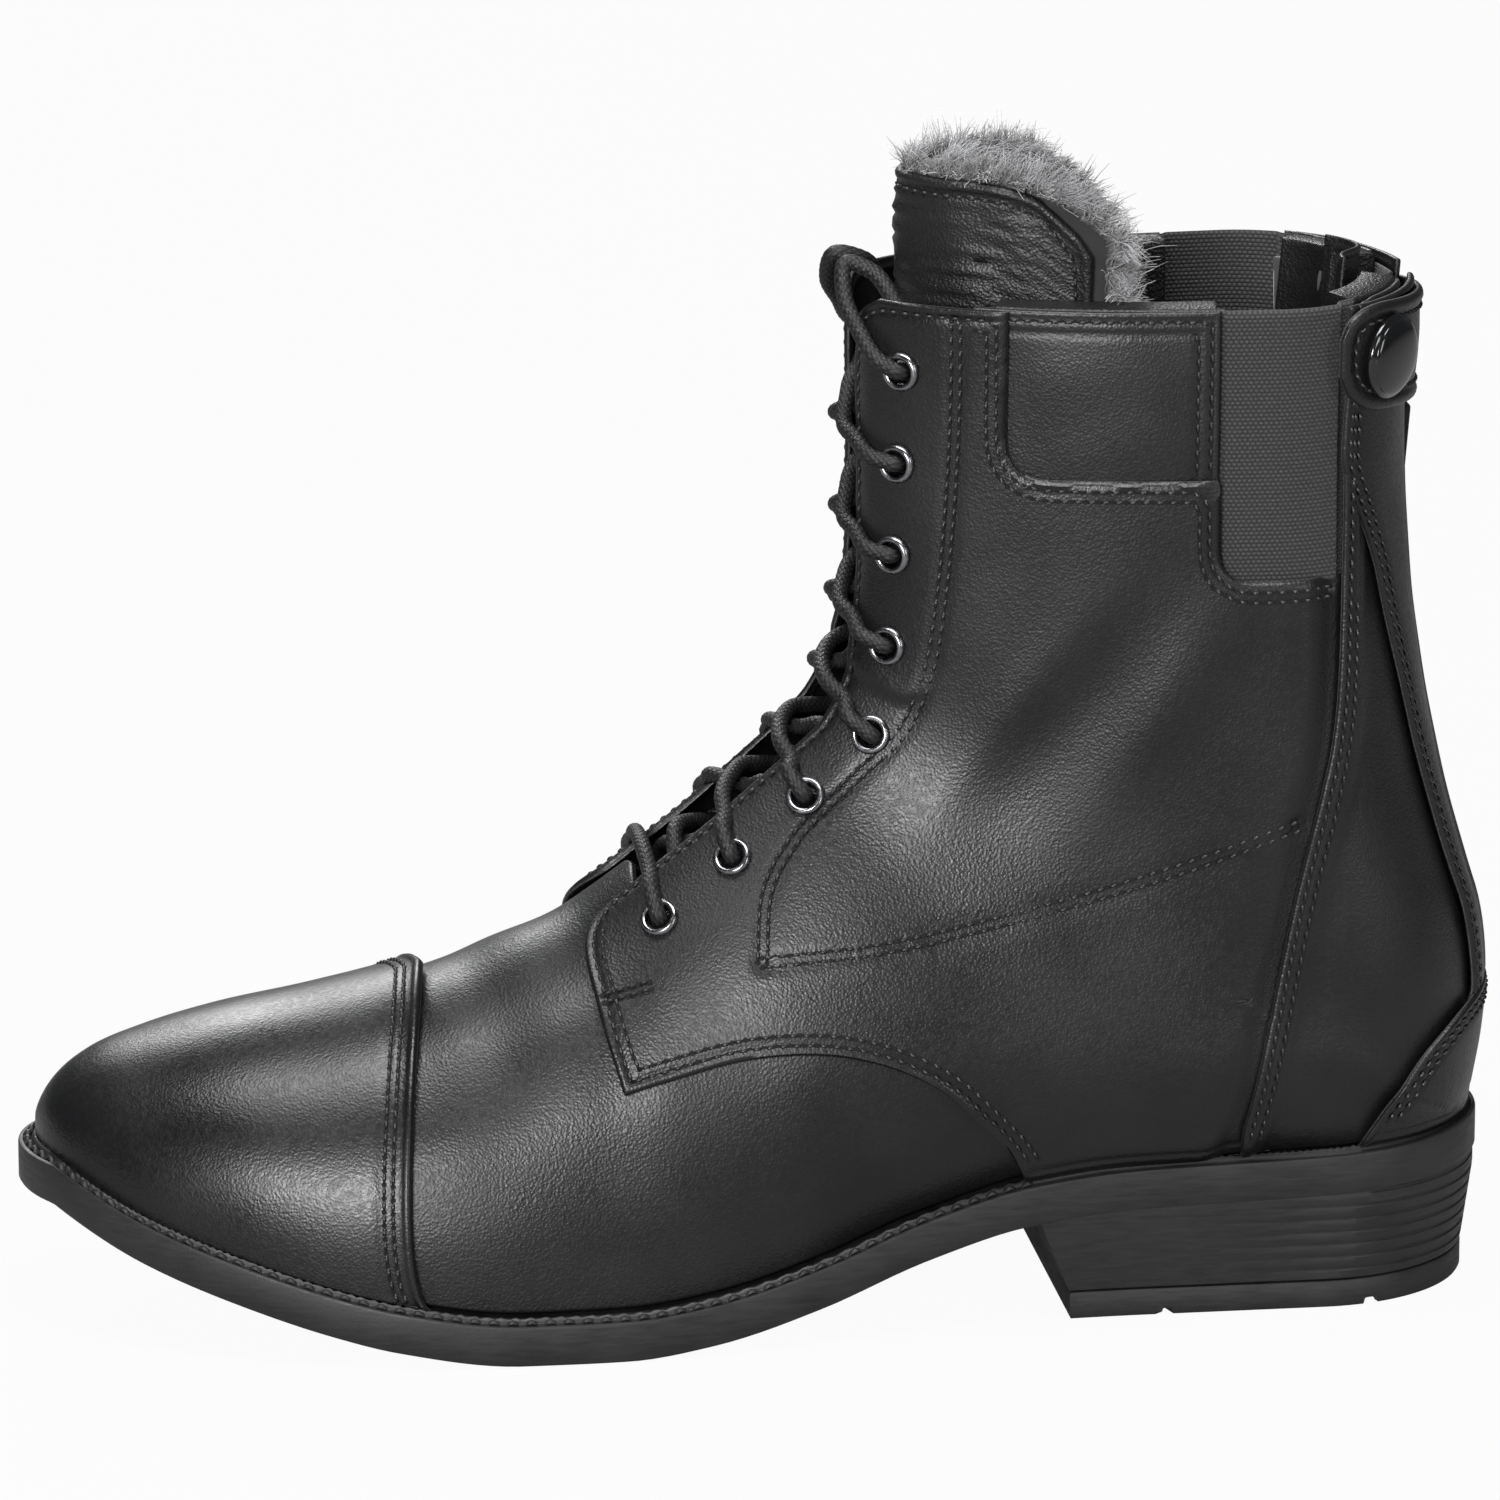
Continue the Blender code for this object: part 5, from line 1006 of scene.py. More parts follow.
def sew(name, lines, pitch=2.6, gauge=0.66, share=0.76, slot="leather", body="boot", look=None):
    """Rows of stitches along lines: threads that dip in at both ends, and near-black discs just above the
    surface at the needle holes, as painted shade in the holes.
    """
    starts, ends, ups, holes, hole_ups = [], [], [], [], []
    for points, normals in lines:
        count = max(int(round(steps(points).sum() / pitch)), 1)
        line = resample(np.concatenate([points, normals], 1), count, np.array([1, 1, 1, 0, 0, 0]))
        up = unit(line[:, 3:])
        starts.append(line[:-1, :3])
        ends.append(line[1:, :3])
        ups.append(up[:-1] + up[1:])
        holes.append(line[:, :3])
        hole_ups.append(up)
    start, end, up = np.concatenate(starts), np.concatenate(ends), unit(np.concatenate(ups))
    along = end - start
    side = unit(np.cross(up, along))
    angles = np.linspace(0, 2 * math.pi, STITCH_SIDES, endpoint=False)
    rings = []
    for at, height, radius in STITCH_RINGS:
        centre = (start + end) / 2 + along * at * share + up * height * gauge
        rings.append(circles(centre, side, up, radius * gauge / 2, angles))
    faces = tubes(len(start), len(STITCH_RINGS), STITCH_SIDES)
    size = len(STITCH_RINGS) * STITCH_SIDES
    loop = np.arange(STITCH_SIDES)
    for first in range(0, len(start) * size, size):
        faces.append((first + loop[::-1]).tolist())
        faces.append((first + size - STITCH_SIDES + loop).tolist())
    threads = len(faces)
    # Near-black discs over the needle holes: painted shade
    spot, spot_up = np.concatenate(holes), np.concatenate(hole_ups)
    level = unit(np.cross(spot_up, [0.31, 0.87, 0.38]))
    other = np.cross(spot_up, level)
    shade_disc = circles(spot + spot_up * HOLE_SHADE_LIFT, level, other, gauge * HOLE_SHADE_RADIUS, angles)
    for k in range(len(spot)):
        faces.append((len(start) * size + k * STITCH_SIDES + loop).tolist())
    points = np.concatenate([np.stack(rings, 1).reshape(-1, 3), shade_disc.reshape(-1, 3)])
    picks = np.zeros(len(faces), int)
    picks[threads:] = 1
    made = mesh_object(name, points, faces, [look or THREAD, HOLE_SHADE], picks)
    if body:
        settle(made, slot, body=body)
    return made


def undulate(points, height, wave, seed):
    """Soft unevenness of stretched leather."""
    rng = np.random.default_rng(seed)
    total = np.zeros(len(points))
    for _ in range(7):
        way = unit(rng.normal(size=3))
        total += np.sin(points @ way * 2 * math.pi / (wave * rng.uniform(0.6, 1.6)) + rng.uniform(0, 6.3))
    return total * height / 2.6


FURROW = 0.28
FURROW_WIDE = 0.6


def grooves(depth, *rows):
    """The furrow that each stitched row draws, at the given distances from an edge."""
    return sum(-FURROW * bump(depth, row, FURROW_WIDE) for row in rows)


FIBRE = 0.17
FIBRE_LEVELS = 5
FIBRE_ANGLES = (0.0, 2.1, 4.2)
TUFT = 16
TUFT_DRAW = 0.55


def pile(name, piece, count, length, chosen, seed, lean=(0.0, 0.0, 0.0)):
    """Fine tapered fibres, drawn together into tufts, on the faces of a piece where chosen(centres, depth)
    holds."""
    rng = np.random.default_rng(seed)
    corners = piece.points[piece.faces]
    faces = np.nonzero(chosen(corners.mean(1), piece.depth[piece.faces].mean(1)))[0]
    crossed = np.cross(corners[:, 2] - corners[:, 0], corners[:, 3] - corners[:, 1])
    area = np.linalg.norm(crossed, axis=1)[faces]
    picks = faces[rng.choice(len(faces), count, p=area / area.sum())]
    s, t = rng.uniform(size=(2, count, 1))
    quad = corners[picks]
    root = (1 - s) * ((1 - t) * quad[:, 0] + t * quad[:, 3]) + s * ((1 - t) * quad[:, 1] + t * quad[:, 2])
    way = piece.normals[piece.faces[picks]].mean(1) + rng.normal(scale=0.4, size=(count, 3)) + np.array(lean)
    way = unit(way)
    bend = rng.normal(scale=0.3, size=(count, 3)) - np.array([0.0, 0.0, 0.2])
    tall = length * rng.uniform(0.55, 1.1, (count, 1))
    heads = rng.choice(count, count // TUFT, replace=False)
    tree = finder(root[heads])
    near = heads[[tree.find(point)[1] for point in root]]
    aside = unit(np.cross(way, rng.normal(size=(count, 3))))
    third = np.cross(way, aside)
    levels = np.linspace(0, 1, FIBRE_LEVELS)
    rings = []
    for level in levels:
        own = root + (way * level + bend * level**2 + 0.04 * aside * math.sin(9 * level)) * tall
        tuft = root[near] + (way[near] * level + bend[near] * level**2) * tall
        centre = own + (tuft - own) * TUFT_DRAW * level**1.3
        rings.append(circles(centre, aside, third, FIBRE * (1 - 0.75 * level), FIBRE_ANGLES))
    sides = len(FIBRE_ANGLES)
    made = mesh_object(name, np.stack(rings, 1).reshape(-1, 3), tubes(count, FIBRE_LEVELS, sides), [WOOL])
    tip = made.data.attributes.new("tip", "FLOAT", "POINT")
    tip.data.foreach_set("value", np.tile(np.repeat(levels, sides), count))
    return settle(made, "fleece")


def spun(name, profile, count, place, looks, sharp=55.0):
    """A round piece spun from an open or closed (radius, height) profile about the frame's Z."""
    turns = np.linspace(0, 2 * math.pi, count, endpoint=False)
    points = [tuple(place @ Vector((r * math.cos(a), r * math.sin(a), h))) for a in turns for r, h in profile]
    rows = len(profile)
    quads = []
    for k in range(count):
        here, after = k * rows, (k + 1) % count * rows
        quads += [(here + i, after + i, after + i + 1, here + i + 1) for i in range(rows - 1)]
    return welded(name, np.array(points), quads, looks, sharp)


def place_frame(u, v, side, offset):
    """A frame on the upper at a chart place, with its Z outward and its X as level as can be."""
    point, normal = shell(np.array([u]), np.array([v]), side, offset)
    z = Vector(normal[0]).normalized()
    x = Vector((0, 0, 1)).cross(z).normalized()
    return Matrix.Translation(Vector(point[0])) @ Matrix((x, z.cross(x), z)).transposed().to_4x4()


# Sole unit
def stations(rows):
    """Shares of a length, crowded towards both ends."""
    return (1 - np.cos(np.linspace(0, math.pi, rows))) / 2


def plan_grid(shares, grow_toe, grow_heel, height, columns, start=None):
    """A plate's grid: stations along the foot, points across it, at height(x) above the floor."""
    first = TOE_X - grow_toe if start is None else start
    xs = first + (HEEL_X + grow_heel - first) * shares
    lateral = ridge_y(xs) - plan_half(xs, -1, grow_toe, grow_heel)
    medial = ridge_y(xs) + plan_half(xs, 1, grow_toe, grow_heel)
    across = np.linspace(0, 1, columns)[None]
    grid = np.zeros((len(xs), columns, 3))
    grid[..., 0] = xs[:, None]
    grid[..., 1] = lateral[:, None] * (1 - across) + medial[:, None] * across
    grid[..., 2] = height(xs)[:, None]
    return grid


def stack(name, levels, looks, sharp=40.0):
    """A solid between grids of like shape, from the lowest to the highest, walled along their borders."""
    rows, columns = levels[0].shape[:2]
    border = [(i, 0) for i in range(rows)]
    border += [(rows - 1, j) for j in range(1, columns)]
    border += [(i, columns - 1) for i in range(rows - 2, -1, -1)]
    border += [(0, j) for j in range(columns - 2, 0, -1)]
    i, j = np.array(border).T
    ring = i * columns + j
    size = rows * columns
    points = [levels[0].reshape(-1, 3), levels[-1].reshape(-1, 3)]
    rings = [ring]
    for k, level in enumerate(levels[1:-1]):
        points.append(level[i, j])
        rings.append(2 * size + k * len(ring) + np.arange(len(ring)))
    rings.append(ring + size)
    quads = [grid_quads(rows, columns), grid_quads(rows, columns, size)[:, ::-1]]
    for below, above in zip(rings, rings[1:]):
        quads.append(np.stack([below, above, np.roll(above, -1), np.roll(below, -1)], 1))
    return welded(name, np.concatenate(points), np.concatenate(quads)[:, ::-1], looks, sharp)


RIM_TOP = 1.0
RIM_WIDE = 1.15
HEEL_INSET = 0.4
HEEL_LIFTS = 7


def make_outsole():
    """The sole plate with its raised rim, and the heel block with faint lines between its lifts."""
    shares = stations(150)

    def level(inset, drop):
        return plan_grid(shares, WELT_TOE - inset, WELT_HEEL - inset, lambda x: feather_z(x) - drop, 14)

    rings = [level(1.2, SOLE_STACK), level(0.35, SOLE_STACK - 0.15), level(0.0, SOLE_STACK - 0.7),
             level(0.0, 5.2), level(0.0, RIM_TOP + 0.6), level(0.15, RIM_TOP + 0.15), level(0.45, RIM_TOP),
             level(RIM_WIDE - 0.3, RIM_TOP), level(RIM_WIDE, RIM_TOP + 0.3), level(RIM_WIDE + 0.1, 3.0),
             level(RIM_WIDE + 0.2, 3.6)]
    settle(stack("outsole_body", rings, [SOLE]), "rubber", "outsole")

    low, high = TOP_PIECE + 0.25, float(feather_z(HEEL_X)) - SOLE_STACK
    rows = np.sin(np.linspace(0, math.pi / 2, 90))

    def heel(z, inset, crown=False):
        share = (z - TOP_PIECE) / (float(feather_z(BREAST_X)) - SOLE_STACK - TOP_PIECE)
        grow = WELT_HEEL - HEEL_INSET - HEEL_TAPER * (1 - min(share, 1.0)) - inset
        made = plan_grid(rows, grow, grow, lambda x: np.full(len(x), z), 14,
                         start=BREAST_X - BREAST_RAKE * share + inset)
        if crown:
            made[..., 2] = feather_z(made[..., 0]) - SOLE_STACK + 1.0
        return made

    levels = [heel(low, 0.5), heel(low + 0.25, 0.1)]
    for z in np.linspace(low + 2.2, high - 1.0, HEEL_LIFTS):
        for rest, cut in ((-0.45, 0.0), (-0.15, 0.3), (0.15, 0.3), (0.45, 0.0)):
            plain, grooved = heel(z + rest, 0.0), heel(z + rest, cut)
            fade = ease(plain[..., :1], -25.0, 25.0)
            levels.append(plain * (1 - fade) + grooved * fade)
    levels.append(heel(high + 0.3, 0.0, crown=True))
    settle(stack("heel_block", levels, [SOLE]), "rubber")


TREAD_SLOTS_X = (-27.0, 13.0)
TREAD_SLOT = 2.2
TREAD_DEPTH = 1.2


def make_top_piece():
    """The heel's wearing layer, with two slots across its underside and rounded edges."""
    grow = WELT_HEEL - HEEL_INSET - HEEL_TAPER
    first, last = BREAST_X, HEEL_X + grow
    rows = np.sin(np.linspace(0, math.pi / 2, 70))
    marks = []
    for x in TREAD_SLOTS_X:
        marks += [x + side * (TREAD_SLOT / 2 + lean) for side in SIDES for lean in (-0.25, 0.0)]
    rows = np.unique(np.concatenate([rows, (np.array(marks) - first) / (last - first)]))

    def slot(x):
        apart = np.min([np.abs(x - middle) for middle in TREAD_SLOTS_X], axis=0)
        return TREAD_DEPTH * ease(-apart, -TREAD_SLOT / 2 - 0.05, -TREAD_SLOT / 2 + 0.2)

    def level(inset, z, cut):
        wide = grow - inset
        return plan_grid(rows, wide, wide, lambda x: z + cut * slot(x), 10, start=first + inset)

    levels = [level(0.7, 0.0, 1.0), level(0.25, 0.12, 1.0), level(0.0, 0.55, 0.85), level(0.0, 2.2, 0.0),
              level(0.0, TOP_PIECE - 0.5, 0.0), level(0.3, TOP_PIECE - 0.05, 0.0), level(0.7, TOP_PIECE, 0.0)]
    settle(stack("top_piece", levels, [SOLE]), "rubber", "heel_top_piece")


def seat_ring(count, toe, heel, drop):
    """Points round the sole at equal shares, lateral side first, grown by two margins."""
    points = []
    for side, start in ((-1, 0.0), (1, math.pi)):
        turns = np.linspace(start, math.pi - start, count + 1)[:-1]
        xs = TOE_X - toe + (HEEL_X + heel - TOE_X + toe) * (1 - np.cos(turns)) / 2
        ys = ridge_y(xs) + side * plan_half(xs, side, toe, heel)
        points.append(np.stack([xs, ys, feather_z(xs) - drop], 1))
    return np.concatenate(points)


WELT_STEPS = 420
STITCH_STEPS = 600
BEAD = 1.5
KNURL = 0.22
KNURL_PITCH = 1.5
WELT_STITCH_END = -53.0


def make_welt():
    """The welt inside the sole's rim: a knurled bead against the upper, then a furrow with stitches."""
    inner, outer = BEAD, WELT_TOE - RIM_WIDE
    heel_outer = WELT_HEEL - RIM_WIDE
    profile = [(-WELT_SEAT, -WELT_SEAT, 3.4), (-WELT_SEAT, -WELT_SEAT, 0.9), (0.0, 0.0, 0.9),
               (inner, 0.6, 0.5), (inner + 0.35, 0.9, 0.15), (inner + 0.9, 1.2, 0.2), (inner + 1.2, 1.4, 0.9),
               (inner + 1.5, 1.6, 1.35), (outer - 0.45, heel_outer - 0.3, 1.35), (outer, heel_outer, 1.2),
               (outer, heel_outer, 3.4)]
    rings = [seat_ring(WELT_STEPS, *margins) for margins in profile]
    along = np.cumsum(steps(np.concatenate([rings[4], rings[4][:1]])))
    for k in (4, 5):
        rings[k][:, 2] += KNURL * np.sin(along * 2 * math.pi / KNURL_PITCH)
    grid = np.stack(rings + rings[:1], 1)
    grid = np.concatenate([grid, grid[:1]])
    made = welded("welt_body", grid.reshape(-1, 3), grid_quads(*grid.shape[:2]), [WELT], 70.0)
    settle(made, "rubber", "welt")

    middle = (inner + 1.2 + outer) / 2 + 0.2
    line = np.roll(seat_ring(STITCH_STEPS, middle, heel_outer - 0.6, 1.15), -STITCH_STEPS, axis=0)
    up = np.tile([0.0, 0.0, 1.0], (len(line), 1))
    lines = split(line, up, line[:, 0] < WELT_STITCH_END)
    sew("welt_stitches", lines, pitch=3.6, gauge=1.15, share=0.78, slot="rubber", look=SOLE)


# Upper
CAP_EDGE_X = -171.5
CAP_BOW = 4.0
CAP_LEAN = 4.0
CAP_ROWS = (3.4, 5.1)
QUARTER_LOW = [(-133.5, 50.0), (-124.9, 52.6), (-109.5, 56.6), (-91.1, 56.7), (-82.1, 54.3), (-72.8, 49.6),
               (-63.6, 41.1), (-55.6, 29.2)]
QUARTER_NOSE = [(-133.5, 50.0), (-136.2, 60.0), (-138.2, 70.0)]
VAMP_REAR = [(-46.0, 30.3), (-50.0, 38.0), (-58.0, 48.0), (-69.0, 57.5), (-80.0, 63.0), (-92.0, 65.5),
             (-108.0, 66.5), (-119.0, 67.0), (-125.0, 73.0), (-128.0, 82.0)]
BACK_SEAM = [(-14.6, 31.9), (-10.9, 50.0), (-8.0, 64.0), (-3.9, 84.0), (0.6, 103.4), (3.3, 118.0),
             (4.2, 135.0), (4.5, 150.0), (4.7, 200.0)]
FOAM_FRONT = [(-110.0, 70.5), (-98.0, 90.0), (-81.0, 110.0), (-69.0, 128.0), (-66.0, 145.0), (-66.0, 158.0)]
FOAM_BACK = [(-26.0, 31.8), (-20.0, 62.0), (-17.5, 86.0), (-12.0, 103.0), (-8.5, 120.0), (-8.0, 138.0)]
FOAM_LOW = [(-110.0, 70.5), (-92.0, 69.5), (-77.0, 67.0), (-62.0, 58.5), (-47.0, 47.0), (-37.0, 31.1),
            (-26.0, 31.8)]
FOAM_TOP = [(-66.0, 158.0), (-45.0, 157.0), (-26.0, 141.0), (-8.0, 138.0)]
COLLAR_FRONT = -59.5
COLLAR_LOW = 167.2
COLLAR_UNDERLAP = 6.0
GUSSET_FRONT = -19.4
GUSSET_BACK = 2.4
GUSSET_LOW = 147.2
GUSSET_UNDERLAP = 4.5
ELASTIC_RIB = 0.13
ORNAMENT_UP = [(-67.8, 197.5), (-67.8, 182.0), (-68.8, 158.0), (-70.1, 142.0), (-72.7, 126.5), (-77.1, 116.0),
               (-86.0, 107.0), (-97.9, 96.0), (-104.0, 87.0), (-106.2, 74.0)]
ORNAMENT_BACK = [(-106.2, 74.0), (-80.2, 77.0), (-60.6, 81.0), (-40.9, 86.0), (-21.8, 92.0), (-2.8, 99.0)]
ORNAMENT_HALF = 0.9
BAR_TACK = [(-136.0, 66.0), (-127.0, 69.0)]
ANKLE_SLIT = [(-92.0, 132.0), (-86.5, 127.0), (-81.7, 123.5), (-77.3, 122.0), (-72.6, 124.0)]
# Soft folds at the ankle: x at the folds' height, lean, lift and width
ANKLE_FOLDS = ((-30.0, 0.55, 0.9, 7.0), (-46.0, 0.6, -0.7, 8.0), (-58.0, 0.7, 0.5, 6.0))
FOLD_HEIGHT = 122.0
FOLD_REACH = 22.0
VAMP_UNDERLAP = 16.0
# Where the vamp's wrinkles begin and end along it, and how high up they begin
FLEX_START = (-178.0, -158.0)
FLEX_END = (-128.0, -112.0)
FLEX_HEIGHT = (40.0, 66.0)
VAMP_RIDGE_END = (-128.0, 87.9)
LACING_LOW = (-127.6, 86.5)
NOSE_TOP = (-137.0, 80.5)
FIRST_EYELET = (-126.0, 88.5)
LAST_EYELET_DROP = 13.3
QUARTER_SEAT = (-55.6, -11.6)
QUARTER_ROWS = (2.0, 3.9)
# Where the second row ends along the nose and begins round the window, as (x, z)
NOSE_ROW_END = (-40.0, 79.0)
WINDOW_ROW_START = (-66.0, 139.0)
# Rows of stitches stay this far above the sole's edge
SEAT_CLEAR = 4.5
SEAM_DIP = 1.75
SLIT_FADE = (-76.0, -71.0)
SEAM_ROWS = (1.7, 3.7)
SEAM_ROW_TOP = 143.0
PLACKET_ROWS = (1.6, 3.7)
PLACKET_ROW_LOW = 56.0
PLACKET_ROW_IN = 11.0
COLLAR_ROWS = (1.6, 4.2)
COLLAR_DOME = 1.4
HEEL_RIM = [(0.0, 60.0), (4.0, 58.8), (14.0, 52.0), (20.5, 42.5), (24.7, 33.2)]
HEEL_ROWS = (2.0, 3.9)
HEEL_PATCH_FACE = 2.3
LINING_FRONT = [(-50.0, 29.9), (-60.0, 46.0), (-82.0, 63.5), (-100.0, 70.0)]
LINING_PILE = (110.0, 166.0)
SOCK_FACE = LINING_FACE - FLEECE - 1.5
FACING_LOW = 171.0
VAMP_LINING_REAR = [(-52.0, 29.4), (-62.0, 44.0), (-84.0, 58.0), (-110.0, 60.0), (-132.0, 64.0)]
BACK_EDGE_LOW = 38.0
ZIP_TAPE_LOW = 50.0
# Windows are open above the topline up to here
WINDOW_TOP = TOPLINE + 30


def cap_edge(v):
    """u of the cap's rear edge."""
    return CAP_EDGE_X - TOE_X - CAP_BOW * np.sin(math.pi * np.clip(v, 0, 1)) + CAP_LEAN * ease(v, 0.2, 1.0)


def chart_u(place):
    """u of a side-view point."""
    return float(chart(*place)[0])


def toe_grid(rear, rows, columns):
    """Half of a piece that closes round the toe tip and ends at rear(v). Rows crowd towards the tip and the
    rear."""
    v = np.linspace(0, 1, columns)
    length = float(rear(0.5))
    ends = np.sqrt(1 - np.array(EDGE_STEPS[::-1]) / length)
    shares = np.concatenate([np.linspace(0, ends[0], rows)[:-1], ends])
    return np.stack([rear(v)[None] * shares[:, None] ** 2, np.tile(v, (len(shares), 1))], -1)


def make_toe():
    """The cap, with a rolled bead along its rear edge and two rows of stitches in front of it."""

    def relief(places, points, depth):
        rear = cap_edge(places[:, 1]) - places[:, 0]
        bead = 0.42 * bump(rear, 0.85, 0.62) - 0.16 * bump(rear, 2.1, 0.6)
        return bead + grooves(rear, *CAP_ROWS) + undulate(points, 0.06, 34.0, 3)

    panel("toe_cap", both(toe_grid(cap_edge, 90, 84)), OVERLAY, relief, CAP_HIDE)
    v = np.concatenate([np.linspace(0.05, 1, 160), np.linspace(1, 0.05, 160)[1:]])
    side = np.repeat([-1.0, 1.0], (160, 159))
    sew("toe_cap_stitches", [shell(cap_edge(v) - row, v, side, OVERLAY - 0.16) for row in CAP_ROWS])


def make_vamp():
    """The vamp, from under the cap to under the quarters, with fine wrinkles where it flexes."""
    v = np.linspace(0, 1, 200)
    front = np.stack([cap_edge(v) - VAMP_UNDERLAP, v], 1)
    ridge_end = chart_u(VAMP_RIDGE_END)
    back = run([seam(VAMP_REAR) + [(ridge_end, 1.0)]])
    back[0, 1] = 0.0
    along = np.linspace(0, 1, 200)
    bottom = np.stack([front[0, 0] + (back[0, 0] - front[0, 0]) * along, np.zeros(200)], 1)
    top = np.stack([front[-1, 0] + (ridge_end - front[-1, 0]) * along, np.ones(200)], 1)

    def relief(places, points, depth):
        x, y, z = points.T
        flex = ease(x, *FLEX_START) * (1 - ease(x, *FLEX_END))
        high = ease(z, *FLEX_HEIGHT)
        return undulate(points, 0.16, 30.0, 5) + 0.22 * flex * high * np.sin(x / 3.1 + y / 19.0)

    panel("vamp", both(quilt(front, back, bottom, top, -1, 1.5)), UNDERLAY, relief)


lacing_gap = smooth([(U_FAN, THROAT_GAP), (fan_u(-28), THROAT_GAP + 0.4), (U_SHAFT, SHAFT_GAP),
                     (U_TOP + 30, SHAFT_GAP)])


def gap_half(u):
    """Half the opening between the quarters' lacing edges."""
    return float(lacing_gap(u))


def lacing_edge(side):
    """Chart places up the lacing edge."""
    return [from_ridge(u, side, gap_half(u)) for u in np.linspace(chart_u(LACING_LOW), U_TOP - 10, 9)]


def quarter_front(side):
    """The quarter's front edge: its nose, the throat, the lacing edge and the round top corner."""
    nose = chart_u(NOSE_TOP)
    throat = [from_ridge(nose, side, 13.5), from_ridge(nose + 5, side, 10.6)]
    corner = [from_ridge(U_TOP - 4, side, SHAFT_GAP + 1.6), from_ridge(U_TOP, side, SHAFT_GAP + 6.5)]
    return run([seam(QUARTER_NOSE) + throat + lacing_edge(side) + corner], side)


def eyelet_places(side):
    """Chart places of the eyelets of one side, from the lowest up, at equal steps along their row."""
    low, high = chart_u(FIRST_EYELET), U_TOP - LAST_EYELET_DROP
    reach = smooth([(low, 20.4), (fan_u(-6), 15.9), (high, 17.6)])
    fine = np.array([from_ridge(u, side, float(reach(u))) for u in np.linspace(low, high, 120)])
    points = skin(fine[:, 0], fine[:, 1], side)
    return resample(np.concatenate([fine, points], 1), EYELET_ROWS - 1, np.array([0, 0, 1, 1, 1]))[:, :2]


def arc_corner(before, corner, after, radius):
    """A rounded corner of an outline, as a quadratic curve."""
    before, corner, after = np.array([before, corner, after], float)
    start = corner + unit(before - corner) * radius
    end = corner + unit(after - corner) * radius
    t = np.linspace(0, 1, 13)[:, None]
    return [tuple(p) for p in start * (1 - t) ** 2 + corner * 2 * t * (1 - t) + end * t**2]


def collar_window():
    """The opening in the quarter for the collar panel and the gusset."""
    first, front = (COLLAR_FRONT, WINDOW_TOP), (COLLAR_FRONT, COLLAR_LOW)
    step, low = (GUSSET_FRONT, COLLAR_LOW), (GUSSET_FRONT, GUSSET_LOW)
    rear = (20.0, GUSSET_LOW)
    outline = [first] + arc_corner(first, front, step, 8.5) + [step]
    return outline + arc_corner(step, low, rear, 7.0) + [rear, (rear[0], WINDOW_TOP)]


seam_x = smooth([(z, x) for x, z in BACK_SEAM])


def seam_points(shift=0.0):
    """The back seam at even heights, moved rearward by a shift."""
    return [(float(seam_x(z)) + shift, z) for z in np.linspace(BACK_SEAM[0][1], TOPLINE, 24)]


def make_quarter(side):
    """The quarter with its window, eyelet holes, ankle slit and soft folds. It dips under the back panel."""
    front = quarter_front(side)
    back = run([seam(seam_points(3.0))], side)
    seat = along_seat(*QUARTER_SEAT, side, 60)
    bottom = run([seam(QUARTER_LOW[:-1]) + [tuple(seat[0])], [tuple(place) for place in seat]], side)
    back[0] = bottom[-1]
    top = bridge(front, back, side)
    slit = np.array(ANKLE_SLIT)
    rows = [drawn_line(line, side, OVERLAY)[0][:, [0, 2]] for line in (ORNAMENT_UP, ORNAMENT_BACK)]

    def relief(places, points, depth):
        x, y, z = points.T
        flat = points[:, [0, 2]]
        lift = undulate(points, 0.16, 38.0, 7)
        lift -= SEAM_DIP * ease(x - seam_x(z), -6.5, -0.5)
        lift -= EDGE_DIP * (1 - ease(np.abs(y), 8.0, 14.5))
        away, spot = to_line(flat, slit)
        above = np.tanh((z - spot[:, 1]) / 0.9)
        end = 1 - ease(x, *SLIT_FADE)
        upper, lower = 0.75 * np.exp(-away / 4.5), 0.45 * np.exp(-away / 2.5)
        lift += end * above * np.where(above > 0, upper, lower)
        for row in rows:
            lift -= 0.26 * bump(to_line(flat, row)[0], ORNAMENT_HALF, 0.7)
        for place, way, size, width in ANKLE_FOLDS:
            fold = x - place - way * (z - FOLD_HEIGHT)
            lift += size * bump(fold, 0.0, width) * bump(z, FOLD_HEIGHT, FOLD_REACH)
        return lift + grooves(depth, QUARTER_ROWS[0]) + 0.1 * bump(depth, 1.0, 0.6)

    frames = [place_frame(*place, side, OVERLAY) for place in eyelet_places(side)]
    bores = [bore_cut(place, EYELET_BORE / 2 + 0.7) for place in frames]
    name = name_of("quarter", side)
    grid = [(quilt(front, back, bottom, top, side, 1.15), side)]
    piece = panel(name, grid, OVERLAY, relief, window=outline_cut(collar_window()), bores=bores)

    def first_row(points):
        x, _, z = points.T
        return (z > feather_z(x) + SEAT_CLEAR) & (x < seam_x(z) - 0.5)

    def second_row(points):
        x, _, z = points.T
        nose = (x < NOSE_ROW_END[0]) & (z < NOSE_ROW_END[1])
        window = (x > WINDOW_ROW_START[0]) & (z > WINDOW_ROW_START[1])
        return first_row(points) & (nose | window)

    lines = contour(piece, QUARTER_ROWS[0], first_row) + contour(piece, QUARTER_ROWS[1], second_row)
    drawn = ((ORNAMENT_UP, -0.2, ORNAMENT_HALF), (ORNAMENT_BACK, -0.2, ORNAMENT_HALF), (BAR_TACK, 0.0, 0.8))
    for points, lift, half in drawn:
        line = drawn_line(points, side, OVERLAY, lift)
        lines += [beside(line, half), beside(line, -half)]
    sew(name + "_stitches", lines)


def drawn_quilt(edges, side, step):
    """A grid between front, back, bottom and top edges given in side view."""
    return [(quilt(*[run([seam(edge)], side) for edge in edges], side, step, drawn=True), side)]


